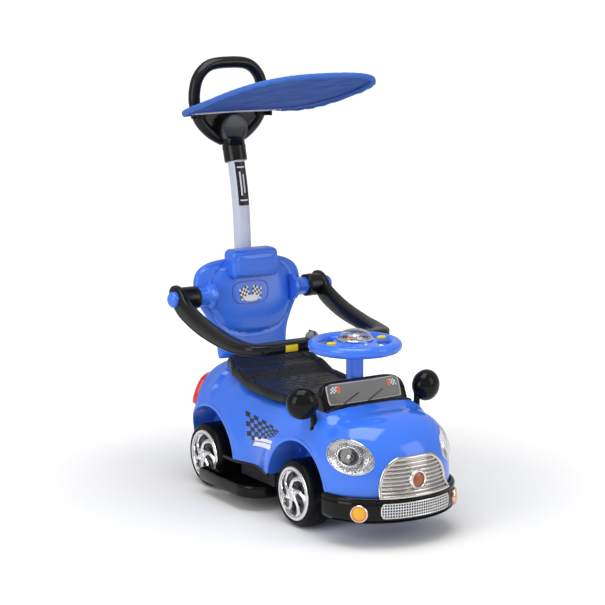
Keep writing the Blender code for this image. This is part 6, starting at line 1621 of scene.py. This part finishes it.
BUTTON = ((0.0, 0.0), (0.60, -0.0002), (0.86, -0.0010), (1.0, -0.0028), (1.0, -0.0064), (0.0, -0.0064))


def wheel_spoke(angle, wide):
    """A flat spoke that flares towards the hub and the rim."""
    out = Vector((math.cos(angle), math.sin(angle), 0))
    across = Vector((-out.y, out.x, 0))
    rows = []
    for t in [k / 12 for k in range(13)]:
        flare = wide * (1 + 0.35 * (2 * t - 1) ** 2)
        centre = Vector((0, STEER_Y, STEER_Z + 0.0030 * (1 - t))) + out * (0.038 + 0.046 * t)
        rows.append([centre + across * u + UP * v for u, v in ring_section(flare, 0.0066, 28, 3.2)])
    return loft(rows, "spoke")


def steering_piece(name, mesh, material, replaced=(), slot=None):
    add_piece(name, mesh, material, replaced, "steering", slot)


def make_steering():
    """The rim, dished hub and spokes as one moulding, with the column under it."""
    profile = []
    for a in turns_of(32):
        seam = 0.0005 * math.exp(-(math.sin(a) / 0.10) ** 2) if math.cos(a) > 0 else 0.0
        profile.append((RIM_MAJOR + RIM_MINOR * math.cos(a) - seam, RIM_MINOR * math.sin(a)))
    matrix = Matrix.Translation((0, STEER_Y, STEER_Z))
    rim = turn_mesh(profile + profile[:1], "rim", matrix, 96, 50)
    parts = [rim, turn_mesh(WHEEL_HUB, "hub", matrix, 72, 40)]
    parts += [wheel_spoke(angle, wide) for angle, wide in WHEEL_SPOKES]
    steering_piece("steering_moulding", merged("steering_moulding", parts), BODY_BLUE, ["steering_wheel"])
    column = turn_mesh(COLUMN, "column_tube", Matrix.Translation((0, STEER_Y, 0)))
    steering_piece("column_tube", column, BODY_BLUE, ["steering_column"])


def make_horn():
    """The plated horn module with lights round a speaker, under a clear dome."""
    top = Matrix.Translation((0, STEER_Y, HUB_TOP_Z))
    steering_piece("horn_base", turn_mesh(HORN_BASE, "horn_base", top, 72), CHROME, ["horn_module"])
    steering_piece("horn_print", turn_mesh(HORN_DISC, "horn_print", top), HORN_PRINT)
    for k, a in enumerate(turns_of(6)):
        spot = (HORN_LIGHT_CIRCLE * math.cos(a + 0.4), HORN_LIGHT_CIRCLE * math.sin(a + 0.4), 0.0056)
        light = turn_mesh(HORN_LIGHT, "light", top @ Matrix.Translation(spot), 24, 50)
        colour = (PRINT_ORANGE, PRINT_WHITE, PRINT_BLACK)[k % 3]
        steering_piece(f"horn_light_{k}", light, colour, slot="chrome_plate")
    steering_piece("horn_speaker", turn_mesh(HORN_SPEAKER, "horn_speaker", top, 48), CHROME)
    angles = [math.pi / 2 * k / 20 for k in range(21)]
    outer, inner = [
        [(radius * math.sin(a), HORN_DOME_FOOT + height * math.cos(a)) for a in angles]
        for radius, height in HORN_DOMES
    ]
    dome = outer + [(radius, HORN_DOME_FOOT - 0.0002) for radius, _ in HORN_DOMES] + inner[::-1]
    steering_piece("horn_cover", turn_mesh(dome, "horn_cover", top, 72, 50), CLEAR, ["horn_dome"])
    for side_name, side in SIDES:
        top_z = node_box(f"horn_button_{side_name}")[1].z
        place = Matrix.Translation((side * BUTTON_PLACE[0], BUTTON_PLACE[1], top_z))
        mesh = turn_mesh(BUTTON, "button", place @ Matrix.Diagonal((*BUTTON_RADII, 1, 1)), 40, 40)
        replaced, body = [f"horn_button_{side_name}"], f"horn_push_{side_name}"
        add_piece(f"horn_press_cap_{side_name}", mesh, YELLOW, replaced, body)


make_steering()
make_horn()

# Push bar with its label

BAR_STOPS = (
    (0.0, 0.1603), (0.0, 0.300), (0.0, 0.440), (0.0, 0.5103), (0.0090, 0.6173), (0.0240, 0.690),
    (0.0310, 0.715), (0.0361, 0.733),
)
BAR_CURVE = smooth_path([(0, PUSH_BAR_Y + y, z) for y, z in BAR_STOPS], 10)
BAR_MARKS = ((0.616, 0.619, -30, 22), (0.688, 0.691, -30, 22), (0.628, 0.680, -22, -12), (0.634, 0.674, 0, 8))


def bar_centre(z):
    for low, high in zip(BAR_CURVE, BAR_CURVE[1:]):
        if z <= high.z:
            return low.y + (high.y - low.y) * (z - low.z) / (high.z - low.z)
    return BAR_CURVE[-1].y


def bar_wrap(name, z_low, z_high, turn_low, turn_high, stand, material):
    """A thin label wrapped on the front of the bar between two heights and two bearings."""
    def spot(rise, across, lift):
        z = z_low + (z_high - z_low) * rise
        turn = math.radians(turn_low + (turn_high - turn_low) * across)
        aim = Vector((math.sin(turn), -math.cos(turn), 0))
        return Vector((0, bar_centre(z), z)) + aim * (PUSH_BAR_RADIUS + lift)

    mesh = sheet_mesh(name, 18, 12, spot, stand, stand + 0.0003, 50)
    add_piece(name, mesh, material, slot="bar_silver")


def make_push_bar():
    """The bar, and a black label with plain stripes where the photograph has lettering."""
    section = ring_section(PUSH_BAR_RADIUS, PUSH_BAR_RADIUS, 40, 2.0)
    add_piece("bar_tube", tube("bar_tube", BAR_CURVE, section, up_hint=BACK), BAR_SILVER, ["push_bar"])
    bar_wrap("bar_label", 0.606, 0.701, -42, 34, 0.0010, PRINT_BLACK)
    for k, mark in enumerate(BAR_MARKS):
        bar_wrap(f"bar_label_mark_{k}", *mark, 0.0014, PRINT_WHITE)


make_push_bar()

# Grip

GRIP_Y = 0.3065
GRIP_TUBE = 0.013
GRIP_TOP_Z = 0.917
GRIP_SHAPE = (
    (0.0, 0.0), (0.048, -0.005), (0.076, -0.028), (0.087, -0.062), (0.0855, -0.097), (0.073, -0.128),
    (0.047, -0.154), (0.017, -0.171),
)
GRIP_HALF_SHAPE = [(x, GRIP_TOP_Z + drop) for x, drop in GRIP_SHAPE]
WEB_LOW_Z, WEB_HIGH_Z = 0.7465, 0.815
WEB_HALF_DEPTH = 0.0068
CROSS_BAR_X, CROSS_BAR_Z = 0.0860, 0.8165
GRIP_HUB_Z = 0.7725
GRIP_HUB = (
    (0.0, 0.0155), (0.0322, 0.0155), (0.0338, 0.0148), (0.0345, 0.0130), (0.0345, -0.0120),
    (0.0335, -0.0160), (0.0, -0.0160),
)
COLLAR_START, COLLAR_STOP = Vector((0, 0.2762, 0.700)), Vector((0, 0.2894, 0.747))
COLLAR_SHARES = (
    (0.0236, 0.0), (0.0252, 0.024), (0.0255, 0.10), (0.0255, 0.55), (0.0262, 0.60), (0.0262, 0.68),
    (0.0255, 0.72), (0.0250, 1.0),
)
DISC_RIM_PROFILE = (
    (0.0268, 0.0004), (0.0282, 0.0016), (0.0310, 0.0014), (0.0328, 0.0), (0.0330, -0.0030), (0.0268, -0.0030),
)
DISC_FACE = ((0.0, 0.0008), (0.0150, 0.0006), (0.0268, 0.0), (0.0270, -0.0030), (0.0, -0.0030))


def grip_web(rise, across, face):
    """The plate across the grip's foot, dished on both faces."""
    z = WEB_LOW_Z + (WEB_HIGH_Z - WEB_LOW_Z) * rise
    half = along(z, sorted((height, x) for x, height in GRIP_HALF_SHAPE)) - 0.004
    u = 2 * across - 1
    return (half * u, GRIP_Y + face * (WEB_HALF_DEPTH - 0.0022 * (1 - u * u)), z)


def make_grip():
    """The D-shaped grip: a round loop, a web across its foot, the clamp's hub and the collar."""
    half = [(x, GRIP_Y, z) for x, z in GRIP_HALF_SHAPE]
    path = smooth_path(half[::-1] + [(-x, y, z) for x, y, z in half[1:]], 10)
    section = []
    for a in turns_of(28):
        radius = GRIP_TUBE - 0.0006 * math.exp(-(math.sin(a - 0.9) / 0.12) ** 2)
        section.append((radius * math.cos(a), radius * math.sin(a)))
    cross = [(x, GRIP_Y, CROSS_BAR_Z) for x in (-CROSS_BAR_X, CROSS_BAR_X)]
    axis = COLLAR_STOP - COLLAR_START
    long = axis.length
    collar = [(0.0, 0.0), *[(radius, long * share) for radius, share in COLLAR_SHARES], (0.0, long)]
    hub_place = facing((0, GRIP_Y - WEB_HALF_DEPTH, GRIP_HUB_Z), AHEAD, LEFT)
    grip = merged("grip_loop", [
        tube("loop", path, section, up_hint=BACK, angle=45),
        sheet_mesh("web", 24, 24, grip_web, 1, -1),
        tube("cross", cross, ring_section(0.0082, 0.0075, 20, 2.4), up_hint=BACK),
        turn_mesh(GRIP_HUB, "hub", hub_place),
        turn_mesh(collar, "collar", facing(COLLAR_START, axis, LEFT), 56),
    ])
    add_piece("grip_loop", grip, RAIL_BLACK, ["push_grip"])
    front_y = node_box("grip_badge")[0].y - SHIFT.y
    place = facing((0, front_y, GRIP_HUB_Z), AHEAD, LEFT)
    add_piece("grip_disc_rim", turn_mesh(DISC_RIM_PROFILE, "rim", place, 72, 40), DISC_RIM, ["grip_badge"])
    add_piece("grip_disc", turn_mesh(DISC_FACE, "disc", place, 64, 40), DISC_GREY)


make_grip()

# Canopy

CANOPY_HALF_WIDTH = 0.176
CANOPY_HALF_LENGTH = 0.188
CANOPY_CENTRE_Y = 0.1025
CANOPY_Z = 0.862
CANOPY_SLOPE = 0.272
CANOPY_FALL_ACROSS = 0.222
CANOPY_CURL_ALONG = 0.089
CANOPY_EXPONENT = 3.36
CLOTH_THICKNESS = 0.0009
CLOTH_SINK = 0.0016
CLOTH_SHARES = [0.02 + 0.98 * (i / 44) ** 0.9 for i in range(45)]
CLOTH_FOLDS = (
    (0.083, 0.5, 0.0014, 0.4),
    (0.051, 0.9, 0.0008, 2.1),
    (0.120, -0.3, 0.0014, 1.2),
    (0.037, 0.2, 0.0005, 3.3),
    (0.029, 1.3, 0.0003, 5.0),
)
CANOPY_TURNS = turns_of(288)
HOOP_TURNS = turns_of(240)
HOOP_SHARE = 0.983
SEAM_SHARE = 0.958
SEAM_DROPS = (-0.0009, 0.0011)
HOOP_RADIUS = 0.0020
HOOP_DROP = 0.0053
HEM_UP = Vector((0, 0.262, 0.965))
# Each line of the hem's section: its reach out, pleat share and cover share, then its rise and depth share
HEM_LINES = (
    (-0.0060, 0.6, 0, 0.0007, 0.0),
    (-0.0012, 0.6, 0, 0.0010, 0.0),
    (0.0010, 0.6, 0, 0.0002, 0.0),
    (0.0018, 0.6, 0, -0.0022, 0.0),
    (0.0020, 1.0, 0, 0.0, 0.55),
    (0.0010, 1.6, 0, 0.0, 0.90),
    (-0.0006, 1.6, 0, 0.0, 1.0),
    (0.0, 1.6, 1, 0.0010, 1.0),
    (-0.0016, 1.6, 1, 0.0, 0.30),
    (-0.0009, 1.6, 1, 0.0, 0.30),
    (0.0007, 1.6, 1, 0.0018, 1.0),
    (-0.0008, 1.0, 0, 0.0010, 1.0),
    (0.0009, 1.0, 0, 0.0, 0.55),
    (0.0007, 0.6, 0, -0.0026, 0.0),
    (-0.0012, 0.6, 0, -0.0006, 0.0),
    (-0.0060, 0.6, 0, -0.0004, 0.0),
)


def canopy_spot(share, turn, drop=0.0):
    """A point of the canopy by its share of the way out and its bearing."""
    across, along_y = rounded(turn, CANOPY_EXPONENT)
    x, y = CANOPY_HALF_WIDTH * share * across, CANOPY_HALF_LENGTH * share * along_y
    z = CANOPY_Z - CANOPY_SLOPE * y - CANOPY_FALL_ACROSS * x * x + CANOPY_CURL_ALONG * y * y - drop
    return Vector((x, CANOPY_CENTRE_Y + y, z))


def gathers(turn):
    """Two overlaid waves round the edge, which no two stretches repeat."""
    return math.sin(61 * turn + 2.2 * math.sin(3 * turn)), math.sin(97 * turn + 1.7 * math.sin(5 * turn + 1))


def cloth_wrinkle(share, turn):
    """Gathers that start at the hoop and die away inward, with a few long pulls between corners."""
    spot = canopy_spot(share, turn)
    x, y = spot.x, spot.y - CANOPY_CENTRE_Y
    coarse, fine = gathers(turn)
    gather = (0.0007 * coarse + 0.0005 * fine) * math.exp(-(((share - 0.93) / 0.06) ** 2))
    folds = 0.0
    for length, bearing, height, start in CLOTH_FOLDS:
        way = x * math.cos(bearing) + y * math.sin(bearing)
        side = y * math.cos(bearing) - x * math.sin(bearing)
        bend = 0.9 * math.sin(side * 19 + start) + 0.5 * math.sin(side * 43 - start)
        wave = math.sin(2 * math.pi * way / length + start + bend)
        folds += height * (wave + 0.35 * wave * wave)
    return gather + folds * (1 - share**6)


def cloth_spot(share, turn, drop=0.0):
    return canopy_spot(share, turn, drop + CLOTH_SINK - cloth_wrinkle(share, turn))


def cloth_mesh():
    """The cloth's two faces, closed in the middle and round the edge."""
    work = bmesh.new()
    upper, lower = [
        grid_faces(work, [[cloth_spot(share, turn, drop) for turn in CANOPY_TURNS] for share in CLOTH_SHARES],
                   True)
        for drop in (0.0, CLOTH_THICKNESS)
    ]
    work.faces.new(upper[0])
    work.faces.new(lower[0])
    edge, under = upper[-1], lower[-1]
    for k in range(len(edge)):
        work.faces.new((edge[k - 1], edge[k], under[k], under[k - 1]))
    return to_mesh(work, "canopy_fabric", 60)


def hem_row(turn):
    """The hem's section at a bearing: a hollow fold over the wire, pleated and shallower at the rear."""
    edge = cloth_spot(1.0, turn)
    out = edge - canopy_spot(0.0, turn)
    out.z = 0
    out.normalize()
    pleat = 0.0003 * gathers(turn)[0] + 0.0002 * math.sin(97 * turn)
    rear = max(0.0, math.sin(turn)) ** 6 * min(1.0, max(0.0, (edge.y - 0.20) / 0.07))
    deep = 0.0104 - 0.0075 * rear + (1 - rear) * 0.0007 * math.sin(27 * turn + math.sin(4 * turn))
    cover = 0.0062 - 0.0052 * rear
    row = []
    for reach, pleat_share, cover_share, rise, deep_share in HEM_LINES:
        outward = out * (reach + pleat * pleat_share - cover * cover_share)
        row.append(edge + outward + HEM_UP * (rise - deep * deep_share))
    return row


def hem_mesh():
    work = bmesh.new()
    grid_faces(work, [hem_row(turn) for turn in CANOPY_TURNS], True, True)
    return to_mesh(work, "canopy_hem", 60)


def seam_mesh(drop):
    path = [cloth_spot(SEAM_SHARE, turn, drop) for turn in HOOP_TURNS]
    return tube("seam", path, ring_section(0.00045, 0.00035, 6), True, angle=60)


def canopy_piece(name, mesh, material, replaced=()):
    return add_piece(name, mesh, material, replaced, "canopy")


def make_canopy():
    """The wrinkled cloth with its hem and two seams, over the wire that carries it."""
    # The cloth takes the darker painted-shade copy of the fabric; the hem and seams take the lighter
    # painted-light copy.
    cloth = canopy_piece("canopy_fabric", cloth_mesh(), CLOTH_BLUE_PAINTED_SHADE, ["canopy_cloth"])
    hem = canopy_piece("canopy_hem", hem_mesh(), HEM_BLUE_PAINTED_LIGHT)
    seams = merged("canopy_seams", [seam_mesh(drop) for drop in SEAM_DROPS])
    seam = canopy_piece("canopy_seams", seams, HEM_BLUE_PAINTED_LIGHT)
    hoop = [canopy_spot(HOOP_SHARE, turn, HOOP_DROP) for turn in HOOP_TURNS]
    wire = tube("canopy_wire", hoop, ring_section(HOOP_RADIUS, HOOP_RADIUS, 16), True, angle=60)
    canopy_piece("canopy_wire", wire, BAR_SILVER, ["canopy_frame"])


make_canopy()

# Clips that carry the canopy's wire on the grip

CLIP_X = 0.0918
CLIP_Z = 0.8040


def make_clip(side_name, side):
    """A saddle on the grip, with a tongue forward to the wire and three ribs."""
    high_z = CLIP_Z + 0.0080
    saddle_x, saddle_z = (CLIP_X - 0.0255, CLIP_X + 0.0065), (CLIP_Z - 0.0080, high_z)
    saddle = side_block(side, saddle_x, (0.2908, 0.3060), saddle_z, "saddle", 0.003)
    tongue_x, tongue_z = (CLIP_X - 0.0032, CLIP_X + 0.0032), (CLIP_Z - 0.0068, 0.8072)
    blocks = [saddle, side_block(side, tongue_x, (0.2755, 0.2925), tongue_z, "tongue", 0.0012, 2)]
    for k in range(3):
        x = CLIP_X - 0.0200 + 0.0075 * k
        rib_x, rib_z = (x - 0.0008, x + 0.0008), (CLIP_Z - 0.0065, CLIP_Z + 0.0065)
        blocks.append(side_block(side, rib_x, (0.2900, 0.2915), rib_z, "rib", 0.0004, 1))
    mesh = merged(f"clip_{side_name}", blocks)
    add_piece(f"clip_{side_name}", mesh, GLOSS_BLACK, [f"canopy_clip_{side_name}"], slot="black_satin")


for side_label, side_sign in SIDES:
    make_clip(side_label, side_sign)

# Footrests, with ribbed floors

REST_OUTER, REST_INNER, REST_WING = 0.179, 0.062, 0.154
REST_FRONT, REST_TIP, REST_BACK = -0.068, 0.146, 0.096
REST_BOTTOM, REST_RIM, REST_FLOOR = 0.030, 0.056, 0.035
REST_CORNER, REST_WALL = 0.058, 0.0042
REST_LEVELS = (
    (0.0040, REST_BOTTOM),
    (0.0012, REST_BOTTOM + 0.0010),
    (0.0, REST_BOTTOM + 0.0040),
    (0.0, REST_RIM - 0.0020),
    (0.0008, REST_RIM - 0.0005),
    (0.0020, REST_RIM),
    (REST_WALL - 0.0010, REST_RIM - 0.0004),
    (REST_WALL, REST_RIM - 0.0022),
    (REST_WALL + 0.0004, REST_FLOOR + 0.0032),
    (REST_WALL + 0.0030, REST_FLOOR),
)
RIB_FIRST_X, RIB_LAST_X, RIB_COUNT, RIB_HALF = 0.090, 0.168, 11, 0.0019


def rest_outline(inset, steps=20):
    """The tray's outline, drawn in by the inset, as (x, y) for the positive side."""
    corner = REST_CORNER - inset
    outer, inner, wing = REST_OUTER - inset, REST_INNER + inset, REST_WING + inset
    back, tip = REST_BACK - inset, REST_TIP - inset
    points = [(inner, back), (inner, REST_FRONT + inset)]
    for turn in [math.pi / 2 * k / steps for k in range(steps + 1)]:
        x = REST_OUTER - REST_CORNER + corner * math.sin(turn)
        points.append((x, REST_FRONT + REST_CORNER - corner * math.cos(turn)))
    points += [(outer, 0.045), (outer, tip - 0.006), (outer - 0.002, tip - 0.0015), (outer - 0.006, tip)]
    return points + [(wing, tip), (wing, back)]


def make_footrest(side_name, side):
    """A tray with a rolled rim, eleven ribs on its floor and a wall along the body."""
    rings = [[(side * x, y, z) for x, y in rest_outline(inset)] for inset, z in REST_LEVELS]
    blocks = [loft(rings, "tray")]
    wall_x, wall_z = (REST_INNER, REST_INNER + 0.011), (REST_BOTTOM + 0.0015, 0.0655)
    blocks.append(side_block(side, wall_x, (-0.0595, 0.0445), wall_z, "wall", 0.0015, 2))
    for k in range(RIB_COUNT):
        x = RIB_FIRST_X + (RIB_LAST_X - RIB_FIRST_X) * k / (RIB_COUNT - 1)
        front = -0.052 + max(0.0, x - 0.135) ** 1.5 * 6.5
        back = REST_BACK - 0.010 if x < REST_WING else 0.136
        rib_x, rib_z = (x - RIB_HALF, x + RIB_HALF), (REST_FLOOR - 0.0006, REST_FLOOR + 0.0019)
        blocks.append(side_block(side, rib_x, (front, back), rib_z, "rib", 0.0010, 2))
    mesh = merged(f"footrest_tray_{side_name}", blocks)
    add_piece(f"footrest_tray_{side_name}", mesh, GLOSS_BLACK, [f"footrest_{side_name}"])


# Flank decals and sill beads

FLANK_CORNERS = ((0.0305, 0.1993), (-0.1217, 0.1870), (-0.1022, 0.1711), (0.0107, 0.1377))
FLANK_STRIPES = (
    ((-0.0129, 0.1508), (-0.1010, 0.1633), (-0.0990, 0.1569), (-0.0047, 0.1429)),
    ((-0.0145, 0.1417), (-0.0983, 0.1547), (-0.0959, 0.1439), (-0.0055, 0.1316)),
)


def side_spot(side, y, z, stand):
    spot, normal = on_side(side, y, z)
    return spot + normal * stand


def corner_spot(corners, u, v):
    """A (y, z) between four corners: u runs along the first edge and v across."""
    (ay, az), (by, bz), (cy, cz), (dy, dz) = corners
    top_y, top_z = ay + (by - ay) * u, az + (bz - az) * u
    low_y, low_z = dy + (cy - dy) * u, dz + (cz - dz) * u
    return top_y + (low_y - top_y) * v, top_z + (low_z - top_z) * v


def make_side_decals(side_name, side):
    """Black chequers on the flank and two white stripes below them."""
    def spot_in(corners):
        return lambda u, v, lift: side_spot(side, *corner_spot(corners, u, v), lift)

    chequers(f"flank_chequer_{side_name}", spot_in(FLANK_CORNERS), 9, 6, 0.0003, 0.0008, PRINT_BLACK)
    for index, corners in enumerate(FLANK_STRIPES):
        name = f"flank_stripe_{index}_{side_name}"
        add_piece(name, sheet_mesh(name, 24, 4, spot_in(corners), 0.0002, 0.0008), PRINT_WHITE)


def make_sill_bead(side_name, side):
    path = [on_side(side, -0.088 + 0.180 * k / 24, SILL_Z + 0.0015)[0] - UP * 0.0010 for k in range(25)]
    bead = tube("sill_bead", path, ring_section(0.0024, 0.0036, 12))
    add_piece(f"sill_bead_{side_name}", bead, SATIN_BLACK)


for side_label, side_sign in SIDES:
    make_footrest(side_label, side_sign)
    make_side_decals(side_label, side_sign)
    make_sill_bead(side_label, side_sign)

# Lights, floor and camera

CAMERA_PLACE = (-2.230, -3.388, 1.190)
CAMERA_TARGET = (0, 0.059, 0.424)
CAMERA_LENS = 116.74
FLOOR_WHITE_FROM = 0.35
FLOOR_WHITE_AT = 1.5
FLOOR_HALF = 30
FLOOR_STEPS = 24


def linked(item):
    bpy.context.scene.collection.objects.link(item)
    return item


def aimed(item, place, target):
    item.location = place
    item.rotation_euler = (Vector(target) - Vector(place)).to_track_quat("-Z", "Y").to_euler()


def make_camera():
    camera = linked(bpy.data.objects.new("camera", bpy.data.cameras.new("camera")))
    aimed(camera, CAMERA_PLACE, CAMERA_TARGET)
    camera.data.lens = CAMERA_LENS
    camera.data.sensor_width = 36
    bpy.context.scene.camera = camera
    bpy.context.scene.view_settings.view_transform = "Standard"


def soft_light(name, place, target, wide, high, power):
    data = bpy.data.lights.new(name, "AREA")
    data.shape = "RECTANGLE"
    data.size, data.size_y = wide, high
    data.energy = power
    aimed(linked(bpy.data.objects.new(name, data)), place, target)


def make_world():
    """Soft white light from all round, and plain white where the camera looks past the floor."""
    world = bpy.data.worlds.new("studio")
    bpy.context.scene.world = world
    world.use_nodes = True
    tree = world.node_tree
    set_sockets(tree, tree.nodes["Background"], {"Color": (1, 1, 1, 1), "Strength": 0.50})
    white = new_node(tree, "Background", {"Color": (1, 1, 1, 1), "Strength": 1.0})
    path = new_node(tree, "LightPath")
    mixer = new_node(tree, "MixShader", {"Fac": path.outputs["Is Camera Ray"]})
    tree.links.new(tree.nodes["Background"].outputs["Background"], mixer.inputs[1])
    tree.links.new(white.outputs["Background"], mixer.inputs[2])
    tree.links.new(mixer.outputs["Shader"], tree.nodes["World Output"].inputs["Surface"])


def floor_paper():
    """White paper that fades to pure white for the camera away from the car."""
    material, tree, shader = shader_of("floor_paper")
    place = new_node(tree, "NewGeometry").outputs["Position"]
    reach = new_node(tree, "VectorMath", operation="LENGTH")
    tree.links.new(place, reach.inputs[0])
    far = reach.outputs["Value"]
    fade = {"From Min": FLOOR_WHITE_FROM, "From Max": FLOOR_WHITE_AT, "To Max": 0.6, "Value": far}
    fading = new_node(tree, "MapRange", fade, interpolation_type="SMOOTHSTEP")
    seen = new_node(tree, "Math", operation="MULTIPLY")
    tree.links.new(fading.outputs["Result"], seen.inputs[0])
    tree.links.new(new_node(tree, "LightPath").outputs["Is Camera Ray"], seen.inputs[1])
    set_sockets(tree, shader, {
        "Base Color": tint(tree, (0.93, 0.93, 0.93), 0.99, noise(tree, 3)),
        "Roughness": 0.9,
        "Emission Color": (1, 1, 1, 1),
        "Emission Strength": seen.outputs["Value"],
    })
    return material


def make_floor():
    ticks = [FLOOR_HALF * (2 * k / FLOOR_STEPS - 1) for k in range(FLOOR_STEPS + 1)]
    work = bmesh.new()
    grid_faces(work, [[(x, y, 0.0) for x in ticks] for y in ticks])
    mesh = to_mesh(work, "floor")
    mesh.materials.append(floor_paper())
    floor = linked(bpy.data.objects.new("floor", mesh))


make_camera()
soft_light("top_box", (-0.3, -0.3, 2.6), (0, 0, 0.3), 1.9, 1.9, 40)
soft_light("left_box", (-2.7, -0.6, 1.3), (0, 0, 0.35), 1.4, 2.0, 26)
soft_light("right_box", (2.0, -2.6, 1.4), (0, 0, 0.3), 1.4, 2.0, 16)
make_world()
make_floor()
